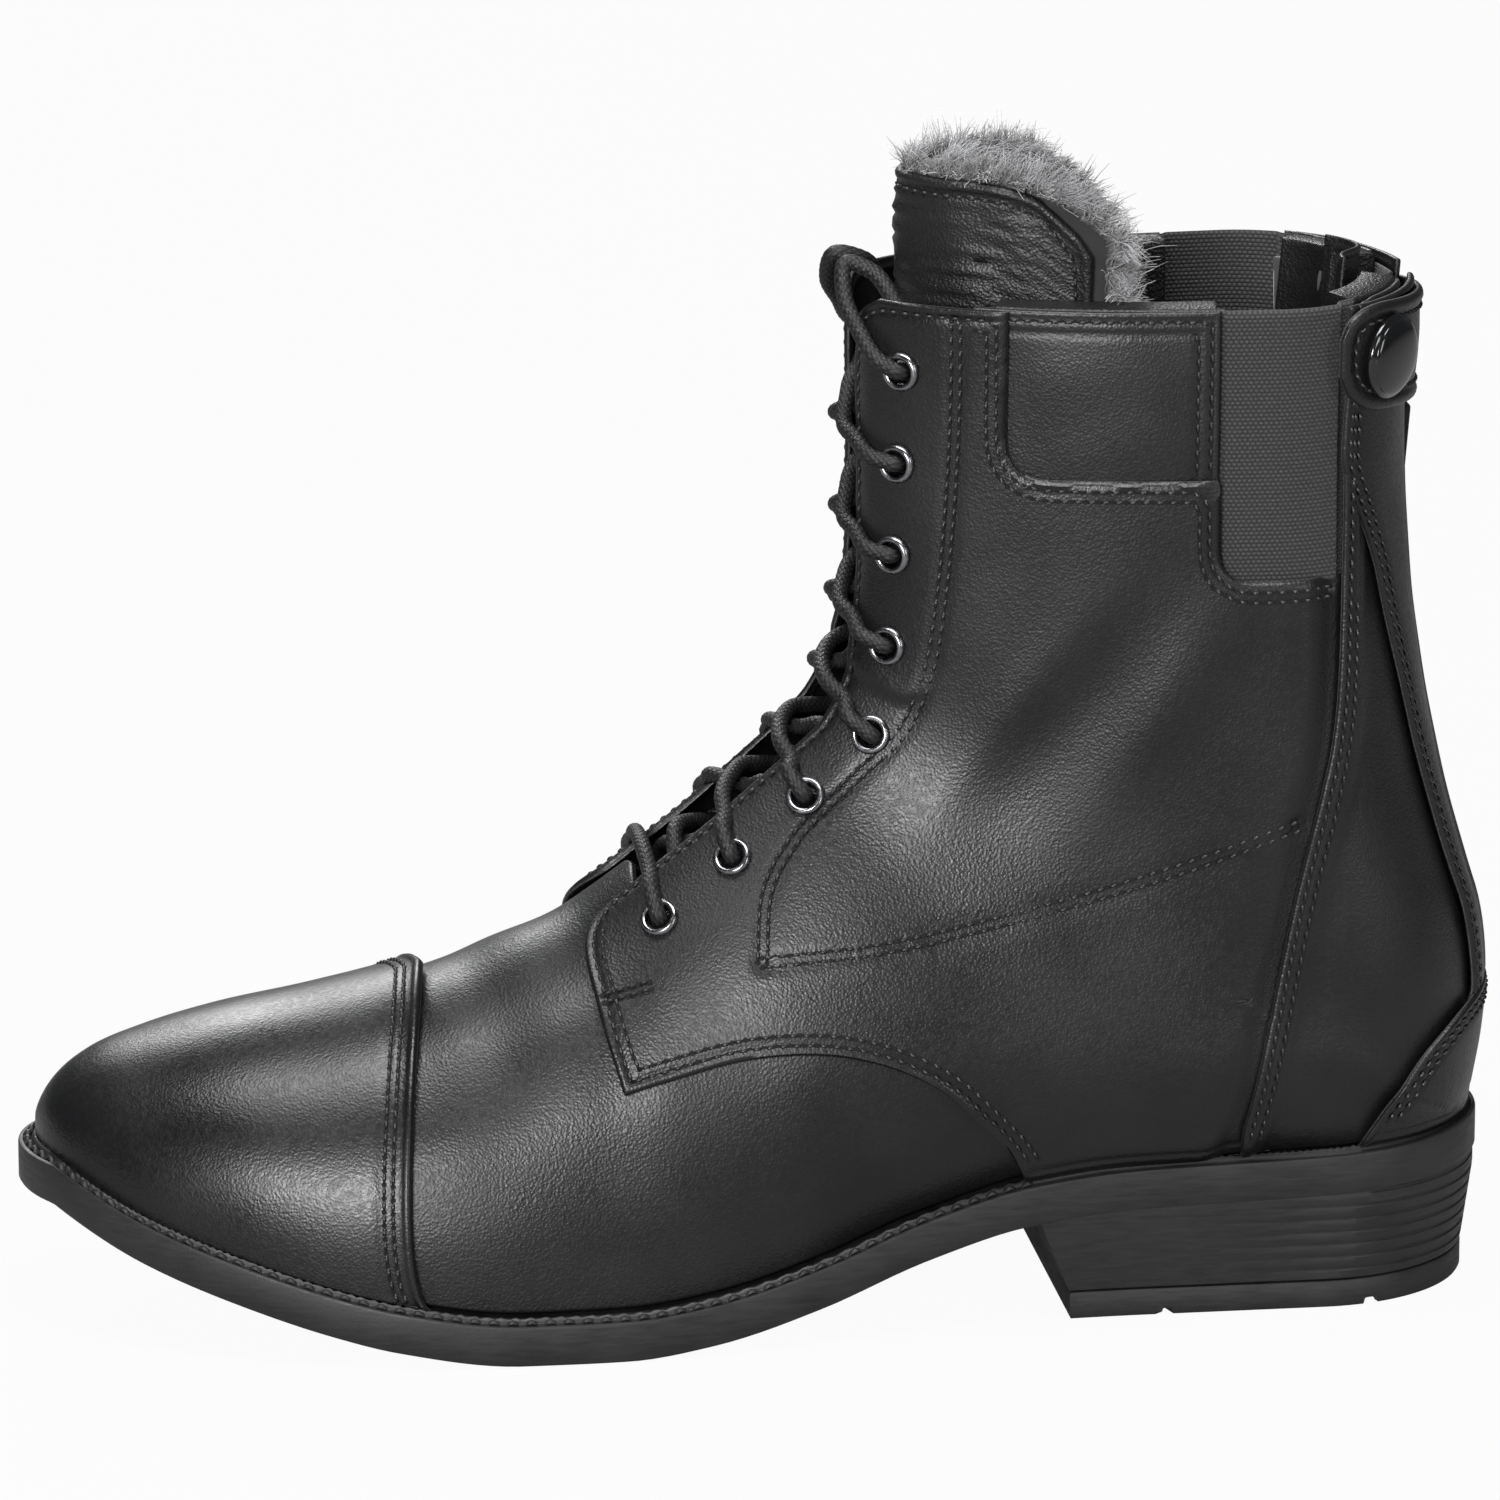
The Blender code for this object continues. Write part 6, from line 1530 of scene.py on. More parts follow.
def upright(side, front_x, back_x, low, step, high=TOPLINE):
    """A panel's grid from a level line up to another, with upright ends."""
    heights = np.linspace(low, high, 8)
    lengths = np.linspace(front_x, back_x, 8)
    edges = ([(front_x, z) for z in heights], [(back_x, z) for z in heights],
             [(x, low) for x in lengths], [(x, high) for x in lengths])
    return drawn_quilt(edges, side, step)


def make_side_panels(side):
    """The collar panel, the elastic and the foam behind the ankle."""

    def collar_relief(places, points, depth):
        x, _, z = points.T
        across = 1 - ((x - (COLLAR_FRONT + GUSSET_FRONT) / 2) / 24.0) ** 2
        upward = 1 - ((z - COLLAR_LOW - 11.0) / 27.0) ** 2
        dome = COLLAR_DOME * np.maximum(across, 0.0) * np.maximum(upward, 0.0)
        return dome + undulate(points, 0.12, 16.0, 11) + grooves(depth, *COLLAR_ROWS)

    name = name_of("collar_panel", side)
    low = COLLAR_LOW - COLLAR_UNDERLAP - 0.5
    grid = upright(side, COLLAR_FRONT - COLLAR_UNDERLAP, GUSSET_FRONT, low, 0.9)
    piece = panel(name, grid, 0.0, collar_relief)

    def rear(points):
        x, _, z = points.T
        return (x > GUSSET_FRONT - 5.5) & (z > COLLAR_LOW + 1.0) & (z < TOPLINE - 2)

    def upper(points):
        return (points[:, 2] > TOPLINE - 3.0) & (points[:, 0] > COLLAR_FRONT)

    lines = contour(piece, COLLAR_ROWS[0], rear) + contour(piece, COLLAR_ROWS[1], rear)
    sew(name + "_stitches", lines + contour(piece, 2.0, upper))

    def ribs(places, points, depth):
        x = points[:, 0]
        under = 1 - ease(x, GUSSET_FRONT - 0.3, GUSSET_FRONT + 1.4)
        under += ease(x, GUSSET_BACK + 1.2, GUSSET_BACK + 3.0)
        return ELASTIC_RIB * np.abs(np.sin(x * math.pi)) * ease(depth, 0.0, 1.0) - 1.5 * under

    grid = upright(side, GUSSET_FRONT - 4.0, GUSSET_BACK + 6.0, GUSSET_LOW - GUSSET_UNDERLAP, 0.31)
    thin = [(places[:, ::2], where) for places, where in grid]
    cover(name_of("gusset", side), "elastic", thin, -0.1, 1.2, [ELASTIC], ribs)
    foam = drawn_quilt((FOAM_FRONT, FOAM_BACK, FOAM_LOW, FOAM_TOP), side, 3.0)
    cover(name_of("interlining", side), "foam", foam, UNDERLAY, 1.6, [FOAM])


def back_strip(side, inner, outer, low, high, step=1.3):
    """A strip along the back line between two reaches from it, given as functions of u."""
    rows = spaced(high - low, step)
    us = back_u(low) + (back_u(high) - back_u(low)) * rows
    columns = spaced(outer(us[0]) - inner(us[0]), step)
    grid = np.zeros((len(columns), len(us), 2))
    for j, u in enumerate(us):
        a, b = from_back(u, side, inner(u))[1], from_back(u, side, outer(u))[1]
        grid[:, j, 0] = u
        grid[:, j, 1] = a + (b - a) * columns
    return [(grid, side)]


def seat_end(reach):
    """x on the sole's edge where it lies reach to the side of the back line."""
    return HEEL_X - HEEL_ROUND * (1 - math.sqrt(1 - (reach / HEEL_HALF) ** 2))


def back_edge(start, side, reach, top, count):
    """A panel's rear edge: from a place on the sole up along the back line, reach to its side."""
    us = np.linspace(back_u(BACK_EDGE_LOW), top, count)
    return run([[tuple(start)] + [from_back(u, side, reach) for u in us]], side)


def make_back_side(side):
    """The back panel, whose front edge laps over the quarter, and the placket and zip tape behind it."""
    edge = ZIP_TAPE + 0.8
    bottom = along_seat(BACK_SEAM[0][0], seat_end(edge), side)
    front = run([[tuple(bottom[0])] + seam(seam_points()[1:])], side)
    back = back_edge(bottom[-1], side, edge, U_TOP, 14)
    top = bridge(front, back, side)
    grid = [(quilt(front, back, bottom, top, side, 1.3, drawn=True), side)]

    def relief(places, points, depth):
        past = points[:, 0] - seam_x(points[:, 2])
        return 2.0 * (1 - ease(past, 1.5, 8.0)) + undulate(points, 0.12, 30.0, 13) + grooves(past, 1.9, 3.9)

    name = name_of("back_panel", side)
    piece = panel(name, grid, 0.0, relief)

    def seam_row(points):
        x, _, z = points.T
        return (x < seam_x(z) + 5.0) & (z > feather_z(x) + 2.5) & (z < TOPLINE - 2.5)

    def upper(points):
        return points[:, 2] > TOPLINE - 3.0

    lines = contour(piece, SEAM_ROWS[0], seam_row) + contour(piece, 2.1, upper)
    lines += contour(piece, SEAM_ROWS[1], lambda points: seam_row(points) & (points[:, 2] < SEAM_ROW_TOP))
    sew(name + "_stitches", lines)

    reach = smooth([(back_u(60), 17.5), (back_u(110), 20.5), (back_u(150), 26.0), (back_u(172), 31.0),
                    (U_TOP, 31.0)])
    strip = back_strip(side, lambda u: SLOT_HALF, lambda u: float(reach(u)), ZIP_TAPE_LOW, TOPLINE)
    name = name_of("zip_placket", side)

    def placket_relief(places, points, depth):
        under = 1.4 * (1 - ease(points[:, 2], 54.0, 60.0))
        lift = grooves(depth, *PLACKET_ROWS) + undulate(points, 0.08, 24.0, 17)
        return lift + 0.15 * bump(depth, 0.8, 0.5) - under

    piece = panel(name, strip, OVERLAY, placket_relief)

    def outer_edge(points):
        _, y, z = points.T
        return (z > PLACKET_ROW_LOW) & (z < TOPLINE - 2.5) & (np.abs(y) > PLACKET_ROW_IN)

    sew(name + "_stitches", [line for row in PLACKET_ROWS for line in contour(piece, row, outer_edge)])
    tape = back_strip(side, lambda u: 2.9, lambda u: ZIP_TAPE, ZIP_TAPE_LOW, TOPLINE - 2)
    cover(name_of("zip_tape", side), "cloth", tape, -0.3, 0.8, [TAPE], slot="tape")


def inner_face(piece, thick):
    """The inner face of a piece, for pile to stand on."""
    return piece._replace(points=piece.points - piece.normals * thick, normals=-piece.normals)


def make_lining(side):
    """The fleece that lines the quarter, open behind the elastic, with a leather facing below the topline."""
    edge = SLOT_HALF + 3.0
    bottom = along_seat(LINING_FRONT[0][0], seat_end(edge), side)
    low = chart_u((-110.0, 106.0))
    reach = smooth([(low, 29.0), (fan_u(-6), 27.0), (U_TOP, 27.0)])
    rise_front = [from_ridge(u, side, float(reach(u))) for u in np.linspace(low, U_TOP - 4, 8)]
    front = run([seam(LINING_FRONT) + rise_front], side)
    back = back_edge(bottom[-1], side, edge, U_TOP - 4, 12)
    front[0] = bottom[0]
    top = bridge(front, back, side)
    ahead, behind, sill = GUSSET_FRONT - 0.5, 3.0, GUSSET_LOW - 5
    window = [(ahead, WINDOW_TOP), (ahead, sill), (behind, sill), (behind, WINDOW_TOP)]

    def lumps(places, points, depth):
        return undulate(points, 0.45, 7.0, 19)

    def band(centres, depth):
        return (centres[:, 2] > LINING_PILE[0]) & (centres[:, 2] < LINING_PILE[1])

    name = name_of("quarter_lining", side)
    grid = [(quilt(front, back, bottom, top, side, 2.2, drawn=True), side)]
    piece = cover(name, "fleece", grid, LINING_FACE, FLEECE, [WOOL], lumps, outline_cut(window))
    pile(name_of("lining_pile", side), inner_face(piece, FLEECE), 5000, 5.0, band, 23 + side)
    grids = (upright(side, -62.0, GUSSET_FRONT - 0.6, FACING_LOW, 1.4),
             back_strip(side, lambda u: 9.5, lambda u: 30.0, FACING_LOW, TOPLINE, 1.4))
    for part, grid in zip(("front", "rear"), grids):
        facing = hide(name_of("facing_" + part, side), grid, -1.6, 6.8, [SOFT_HIDE])
        settle(facing.made, "leather")


def heel_grid(rim, columns, rows):
    """Half of a piece round the heel, from the back line to where its rim meets the sole. The rim is given as
    (distance forward of the back line, height)."""
    height = smooth(rim)
    grid = np.zeros((columns + 1, rows + 1, 2))
    shares = spaced(30.0, 30.0 / rows)
    shares = np.interp(np.linspace(0, 1, rows + 1), np.linspace(0, 1, len(shares)), shares)
    for i in range(columns + 1):
        forward = rim[-1][0] * (i / columns) ** 2
        low = float(feather_z(HEEL_X - forward))
        tall = (float(height(forward)) - low) * (i < columns)
        zs = low + tall * shares
        xs = np.interp(zs, BACK_RISE[:, 1], BACK_RISE[:, 0]) - forward
        u, v = chart(xs, zs)
        inner = (np.arange(rows + 1) > 0) & (0 < i < columns)
        grid[i] = np.stack([u, np.where(inner, v, 0.0)], 1)
    return grid


def make_heel():
    """The patch round the heel, with two rows of stitches along its rim."""

    def relief(places, points, depth):
        return grooves(depth, *HEEL_ROWS) + undulate(points, 0.08, 22.0, 29)

    piece = panel("heel_patch", both(heel_grid(HEEL_RIM, 60, 34)), HEEL_PATCH_FACE, relief)

    def rim_row(points):
        return points[:, 2] > feather_z(np.minimum(points[:, 0], HEEL_X)) + SEAT_CLEAR

    sew("heel_patch_stitches", [line for row in HEEL_ROWS for line in contour(piece, row, rim_row)])


TONGUE_LOW = chart_u((-134.0, 83.0))
TONGUE_RISE = 22.0
TONGUE_WRAP = -44.0
TONGUE_SLOPE = 14.0
FLEECE_RISE = 22.0
FLEECE_WRAP = -38.0
FLEECE_SETBACK = 8.0
TONGUE_FLEECE = 4.0
# Heights above which the tongue has stitches and the kinds of pile
TONGUE_ROW_LOW = 182.0
TONGUE_PILE_LOW = 168.0
BRIM_LOW = 190.0
CREST_LOW = 186.0
tongue_reach = smooth([(TONGUE_LOW, 24.0), (fan_u(-10), 26.0), (U_TOP - 20, 26.0), (U_TOP + 25, 26.0)])
tongue_depth = smooth([(0.0, TONGUE_FACE), (U_SHAFT - 10, TONGUE_FACE), (U_SHAFT + 14, TONGUE_FACE - 1.2),
                       (U_TOP, TONGUE_FACE - 1.6), (U_TOP + TONGUE_RISE, TONGUE_FACE - 2.0)])


def tongue_side(u, side, wrap):
    """Chart v of the tongue's edge. It wraps further round the leg towards the top."""
    narrow = from_ridge(u, side, float(tongue_reach(u)))[1]
    wide = float(chart(wrap, PIVOT_Z + u - U_SHAFT)[1]) if u > U_SHAFT else narrow
    return narrow + (wide - narrow) * float(ease(u, U_SHAFT + 10.0, U_TOP - 4.0))


def tongue_halves(low, high, wrap, columns):
    """Both halves of the tongue between two u. Its top edge falls towards its sides."""
    halves = []
    for side in SIDES:
        across = np.concatenate([np.linspace(0, 1, columns)[:-6], 1 - np.array(EDGE_STEPS[:6])[::-1] / 45.0])
        rows = spaced(high - low, 1.3)
        grid = np.zeros((len(rows), len(across), 2))
        end = tongue_side(high, side, wrap)
        for j, share in enumerate(across):
            v = 1.0 + (end - 1.0) * share
            away = (1 + math.cos(math.pi * v)) / (1 + math.cos(math.pi * end))
            us = low + (high - TONGUE_SLOPE * away**5 - low) * rows
            edges = np.array([tongue_side(u, side, wrap) for u in us])
            grid[:, j, 0] = us
            grid[:, j, 1] = 1.0 + (edges - 1.0) * share
        halves.append((grid, side))
    return halves


def make_tongue():
    """The tongue's leather face, finely wrinkled, and the fleece behind it, whose fibres stand above it."""

    def wrinkles(places, points, depth):
        u = places[:, 0]
        aside = points[:, 1] / 9.0 + points[:, 0] / 17.0
        wave = np.sin(u * 1.9 + np.sin(aside) * 2.2) + 0.7 * np.sin(u * 3.3 + np.sin(aside * 1.7 + 1.0) * 2.6)
        roll = 0.5 * bump(depth, 1.1, 0.8) - 0.25 * bump(depth, 2.8, 0.8)
        wave *= 0.26 * ease(u, U_SHAFT, U_TOP) * ease(depth, 1.5, 5.0)
        return wave + roll + undulate(points, 0.3, 20.0, 31)

    face = tongue_halves(TONGUE_LOW, U_TOP + TONGUE_RISE, TONGUE_WRAP, 40)
    piece = panel("tongue", face, lambda u, v, side: tongue_depth(u), wrinkles, SOFT_HIDE)
    sew("tongue_stitches", contour(piece, 3.2, lambda points: points[:, 2] > TONGUE_ROW_LOW))

    def lumps(places, points, depth):
        return undulate(points, 0.6, 6.0, 37)

    def behind(u, v, side):
        return tongue_depth(u) - LEATHER - 0.4

    back = tongue_halves(TONGUE_LOW + FLEECE_SETBACK, U_TOP + FLEECE_RISE, FLEECE_WRAP, 40)
    fleece = cover("tongue_fleece", "base", back, behind, TONGUE_FLEECE, [WOOL], lumps, slot="fleece")
    inner = inner_face(fleece, TONGUE_FLEECE)

    def upper(centres, depth):
        return centres[:, 2] > TONGUE_PILE_LOW

    def brim(centres, depth):
        return (centres[:, 2] > BRIM_LOW) & (depth < 5.0)

    def crest(centres, depth):
        x, _, z = centres.T
        return (z > CREST_LOW) & ((depth < 1.2) | (x > TONGUE_WRAP + 1.5))

    pile("tongue_pile", inner, 11000, 8.5, upper, 41, (0.6, 0.0, 0.1))
    pile("tongue_crest", fleece, 5500, 6.5, crest, 43, (0.9, 0.0, 1.1))
    pile("tongue_brim", inner, 5000, 7.5, brim, 47, (0.6, 0.0, 0.9))


# Lacing
LACE_SIDES = 16
LACE_STEP = 0.55
BENEATH = -2.7
CREST = OVERLAY + 2.2
LACE_PEAK = {-1: 0.4, 1: 1.4}
# Where the tucked ends go: climb from the last eyelet, and reach from the ridge
TUCK = [(4.5, 18.5), (-2.0, 22.2), (-14.0, 22.6), (-30.0, 22.6), (-46.0, 22.2), (-62.0, 22.0)]


def make_eyelets():
    """Rolled rims with a short barrel through the leather, numbered from the top."""
    bore, rim = EYELET_BORE / 2, EYELET_FLANGE / 2 + 0.2
    turn = np.linspace(0, math.pi, 9)
    middle, half = (rim + bore) / 2, (rim - bore) / 2
    roll = [(middle + half * math.cos(a), 0.35 + 0.95 * math.sin(a)) for a in turn]
    profile = [(rim - 0.3, 0.2), (rim, 0.3)] + roll + [(bore, -1.7), (bore + 0.4, -1.7)]
    for side in SIDES:
        for i, place in enumerate(eyelet_places(side)):
            node = name_of("eyelet", side) + "_" + str(EYELET_ROWS - i)
            made = spun(node + "_rim", profile, 40, place_frame(*place, side, OVERLAY), [GUNMETAL])
            settle(made, "gunmetal", node)


def ridge_point(u, y, offset):
    """A point over the lacing gap or a quarter: y is signed and measured from the front ridge."""
    side = -1 if y < 0 else 1
    place = from_ridge(u, side, abs(y))
    return tuple(shell(np.array([place[0]]), np.array([place[1]]), side, offset)[0][0])


def eyelet_reach(side):
    """(u, y from the front ridge, signed) of each eyelet of one side, from the lowest up."""
    found = []
    for u, v in eyelet_places(side):
        point = skin(np.array([u]), np.array([v]), side)[0]
        found.append((u, float(point[1]) - float(section(u)[6])))
    return found


def bore_points(u, y):
    """The lace's way through an eyelet, from inside to outside."""
    return [ridge_point(u, y, offset) for offset in (-0.2, 1.1, OVERLAY + 0.8)]


def strand(start, end):
    """Out of one eyelet, over its own edge, across the gap and under the other edge to the next eyelet. The
    lateral strands pass over the medial ones."""
    u0, y0 = start
    u1, y1 = end
    side = -1 if y0 < 0 else 1
    climb = u1 - u0
    edge = gap_half(u0 + climb / 3)
    rest = OVERLAY + LACE / 2 - EDGE_DIP
    if side < 0:
        middle = [(0.26, edge - 2.0, rest - 0.5), (0.50, 0.0, -0.8), (0.63, -0.45 * edge, -1.6)]
    else:
        middle = [(0.25, edge - 1.2, rest - 0.4), (0.31, edge - 3.2, 0.2), (0.40, 0.3 * edge, -3.0),
                  (0.50, 0.0, -4.8)]
    route = [(0.02, abs(y0) - 0.9, CREST - 0.8), (0.06, abs(y0) - 2.9, CREST), (0.18, edge + 2.2, rest + 0.3)]
    route += middle
    route += [(0.75, 1.2 - edge, BENEATH), (0.85, -edge - 2.5, BENEATH), (0.95, 2.6 - abs(y1), BENEATH)]
    points = bore_points(u0, y0)
    for share, y, offset in route:
        points.append(ridge_point(u0 + climb * share, side * y, offset))
    return points


def first_cross(start, end, centre):
    """From inside a lowest eyelet, under both edges, to the next eyelet up on the other side."""
    u0, y0 = start
    u1, y1 = end
    side = -1 if y0 < 0 else 1
    climb = u1 - u0
    edge = gap_half(u0)
    return [
        ridge_point(u0 + 0.08 * climb, y0 - side * 2.4, BENEATH),
        ridge_point(u0 + 0.28 * climb, side * (edge - 1.0), BENEATH - 0.2),
        ridge_point(u0 + 0.50 * climb, 0.0, centre),
        ridge_point(u0 + 0.72 * climb, -side * (edge - 1.0), BENEATH - 0.2),
        ridge_point(u1 - 0.05 * climb, y1 + side * 2.6, BENEATH),
    ]


def lace_half(side, rows):
    """Half of the lace, from the bar across the throat up through every row to its tucked end."""
    here = side
    u, y = rows[here][0]
    edge = gap_half(u)
    points = [
        ridge_point(u + 2.0, side * (edge - 3.0), OVERLAY + LACE / 2 - 1.0),
        ridge_point(u + 1.5, side * (edge + 2.0), OVERLAY + LACE / 2 - 0.9),
        ridge_point(u + 0.6, y - side * 2.9, CREST),
        ridge_point(u + 0.2, y - side * 0.9, CREST - 0.8),
        *bore_points(u, y)[::-1],
    ]
    points += first_cross(rows[here][0], rows[-here][1], -1.2 if side < 0 else -5.1)
    here = -here
    for i in range(1, EYELET_ROWS - 1):
        points += strand(rows[here][i], rows[-here][i + 1])
        here = -here
    u, y = rows[here][-1]
    edge = gap_half(u)
    peak = LACE_PEAK[here]
    points += [
        *bore_points(u, y),
        ridge_point(u + 0.6, y - here * 0.8, CREST - 0.8),
        ridge_point(u + 2.2, y - here * 2.4, CREST),
        ridge_point(u + 7.0, here * (edge + 3.5), OVERLAY + LACE / 2 - 0.5),
        ridge_point(u + 12.5, here * (edge - 0.5), peak + 2.2),
        ridge_point(u + 18.0, here * (edge - 3.5), peak),
        ridge_point(u + 16.5, here * (edge - 1.0), -3.6),
        ridge_point(u + 10.0, here * (edge + 6.0), -4.8),
    ]
    for climb, reach in TUCK:
        points.append(ridge_point(u + climb, here * reach, -4.0))
    return points


def make_lace():
    """One waxed cord through all eyelets: a fine tube whose yarns stand out a little."""
    rows = {side: eyelet_reach(side) for side in SIDES}
    knots = np.array(lace_half(-1, rows)[::-1] + lace_half(1, rows))
    at = running(steps(knots))
    fine = hermite(knots, at, np.gradient(knots, at, axis=0), np.linspace(0, at[-1], 4000))
    length = steps(fine).sum()
    path = resample(fine, int(length / LACE_STEP), np.ones(3))
    way = unit(np.gradient(path, axis=0))
    across = np.zeros_like(path)
    across[0] = np.cross(way[0], [0.0, 0.0, 1.0])
    for i in range(1, len(path)):
        across[i] = unit(across[i - 1] - way[i] * (across[i - 1] @ way[i]))
    across[0] = unit(across[0])
    third = np.cross(way, across)
    turns = np.arange(LACE_SIDES + 1) / LACE_SIDES
    along = np.linspace(0, length, len(path))
    round_it, down_it = turns[None] * YARNS, along[:, None] * YARN_LEAN
    yarn = np.abs(np.sin(math.pi * (round_it + down_it))) * np.abs(np.sin(math.pi * (round_it - down_it)))
    radius = LACE / 2 * (0.965 + 0.05 * yarn)[..., None]
    angle = turns[None, :, None] * 2 * math.pi
    grid = path[:, None] + radius * (across[:, None] * np.cos(angle) + third[:, None] * np.sin(angle))
    points = grid[:, :LACE_SIDES].reshape(-1, 3)
    quads, corners = [], []
    row = np.arange(len(path) - 1) * LACE_SIDES
    here, ahead = along[:-1], along[1:]
    for k in range(LACE_SIDES):
        after = (k + 1) % LACE_SIDES
        quads.append(np.stack([row + k, row + after, row + LACE_SIDES + after, row + LACE_SIDES + k], 1))
        turn, next_turn = np.full(len(here), turns[k]), np.full(len(here), turns[k + 1])
        loop = ((turn, here), (next_turn, here), (next_turn, ahead), (turn, ahead))
        corners.append(np.stack([np.stack(corner, 1) for corner in loop], 1))
    faces = np.concatenate(quads).tolist()
    last = (len(path) - 1) * LACE_SIDES
    faces += [list(range(LACE_SIDES))[::-1], [last + k for k in range(LACE_SIDES)]]
    made = mesh_object("lace_cord", points, faces, [CORD])
    spots = np.concatenate([np.concatenate(corners).reshape(-1, 2), np.zeros((2 * LACE_SIDES, 2))])
    made.data.uv_layers.new(name="UVMap").uv.foreach_set("vector", spots.ravel())
    settle(made, "lace", "lace")


# Back zip
def back_frame(z):
    """A frame on the back line: X along it downwards, Y across the boot, Z outward."""
    down = Vector((back_x(z - 0.5) - back_x(z + 0.5), 0.0, -1.0)).normalized()
    across = Vector((0.0, 1.0, 0.0))
    out = down.cross(across)
    return Matrix.Translation((back_x(z), 0.0, z)) @ Matrix((down, across, out)).transposed().to_4x4()


def soften(made, width):
    """Rounds the edges of a hard piece."""
    step = made.modifiers.new("soft_edges", "BEVEL")
    step.width = width * MM
    step.segments = 3
    step.limit_method = "ANGLE"


def hinge_of(name):
    """Where a joint's axis stands, in metres."""
    return Vector(next(joint for joint in frame["joints"] if joint["name"] == name)["pos_m"])


ZIP_LOW = 74.0
ZIP_TOP = 196.0
ZIP_PITCH = 2.07
PULL_TILT = 6.0
BOX = [(x, y, h) for x in SIDES for y in (0, 1) for h in (0, 1)]
BOX_LOOPS = ((0, 1, 3, 2), (4, 6, 7, 5), (0, 4, 5, 1), (2, 3, 7, 6), (0, 2, 6, 4), (1, 5, 7, 3))


def make_zip_teeth(side):
    """A moulded tooth at every pitch along the tape's edge. The two sides mesh half a pitch apart."""
    points, quads = [], []
    count = int((ZIP_TOP - ZIP_LOW) / ZIP_PITCH)
    for k in range(count):
        place = back_frame(ZIP_TOP - 2 - k * ZIP_PITCH - (ZIP_PITCH / 2 if side > 0 else 0))
        for x, y, h in BOX:
            long = x * (0.62 if y > 0.5 else 0.5)
            points.append(tuple(place @ Vector((long, side * (2.6 - 3.4 * (1 - y)), -1.4 + 1.45 * h))))
        quads += [[8 * k + i for i in loop] for loop in BOX_LOOPS]
    made = mesh_object(name_of("zip_chain", side), np.array(points), quads, [TAPE], sharp=30.0)
    soften(made, 0.25)
    settle(made, "tape", name_of("zip_teeth", side))


def make_pull():
    """The pull, tilted about its hinge so that its end lies near the chain."""
    node = frame["nodes"]["zip_pull"]
    made = add("zip_pull_tag", node.data.copy())
    about = Matrix.Translation(hinge_of("zip_pull_swing"))
    tilt = about @ Matrix.Rotation(math.radians(PULL_TILT), 4, "Y") @ about.inverted()
    made.data.transform(tilt @ node.matrix_world)
    made.data.materials.clear()
    made.data.materials.append(ZIP_METAL)
    soften(made, 0.2)
    settle(made, "gunmetal", "zip_pull", body="zip_tag")


def make_guard():
    """The flap behind the zip, slightly wavy along its top."""

    def waves(places, points, depth):
        return 2.2 * np.sin(points[:, 1] / 3.6 + 0.6) * ease(points[:, 2], 172.0, 203.0) + grooves(depth, 2.0)

    halves = []
    for side in SIDES:
        halves += back_strip(side, lambda u: 0.0, lambda u: 14.0, 64.0, TOPLINE + 3.0)
    panel("zip_guard", halves, SOCK_FACE, waves, SOFT_HIDE, 1.1)


# Snap tab: its ends as (side, x), and its cap's place
TAB_ENDS = ((-1, 2.0), (1, 10.0))
CAP_X = 11.0
CAP_DROP = 10.6


def tab_tall(share, side):
    """Share of the tab's full height at a share of its length. The free end has round corners."""
    past = 1 - (1 - share) * TAB_FREE / TAB_ROUND
    if side > 0 or past <= 0:
        return 1.0
    return max((1 - past**2.8) ** (1 / 2.8), 0.35)


def tab_half(side, end_x):
    """Half of the tab, from the back line to its end."""
    lengths = np.concatenate([np.linspace(0, 1, 60)[:-8], 1 - np.array(EDGE_STEPS[:9])[::-1] / 40.0])
    heights = 2 * spaced(2 * TAB_HALF_TALL, 0.8) - 1
    grid = np.zeros((len(lengths), len(heights), 2))
    for i, share in enumerate(lengths):
        middle = TOPLINE - TAB_DROP - TAB_FALL * (1 + side * share) / 2
        zs = middle + TAB_HALF_TALL * heights * tab_tall(float(share), side)
        grid[i] = np.stack([U_SHAFT + zs - PIVOT_Z, chart(end_x, zs)[1] * share], 1)
    return grid, side


def make_tab():
    """The tab, with a raised border, a row of stitches and a snap cap."""

    def relief(places, points, depth):
        border = 0.4 * bump(depth, 1.4, 1.0) - 0.2 * bump(depth, 3.4, 0.8)
        return border + 0.25 * ease(depth, 4.0, 9.0)

    halves = [tab_half(*end) for end in TAB_ENDS]
    piece = hide("snap_tab_leather", halves, TAB_FACE, 1.5, [HIDE, EDGE], relief)
    stitches = sew("snap_tab_stitches", contour(piece, 3.4, lambda points: points[:, 2] > 0), body=None)
    start = hinge_of("tab_swing")
    for made in (piece.made, stitches):
        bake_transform(made)
    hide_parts("snap_tab")

    radius = CAP_DIAMETER / 2
    turn = np.linspace(0, math.pi / 2, 14)
    dome = [(radius * 0.9 * math.cos(a), 1.45 + 1.75 * math.sin(a)) for a in turn]
    profile = [(0.0, 0.0), (radius - 0.2, 0.0), (radius, 0.35), (radius, 0.85), (radius - 0.25, 1.2)] + dome
    u, v = map(float, chart(CAP_X, TOPLINE - CAP_DROP))
    cap = spun("snap_cap_dome", profile, 72, place_frame(u, v, -1, TAB_FACE + 0.4), [ENAMEL], sharp=70.0)
    settle(cap, "cap", "snap_cap", body="tab_flap")


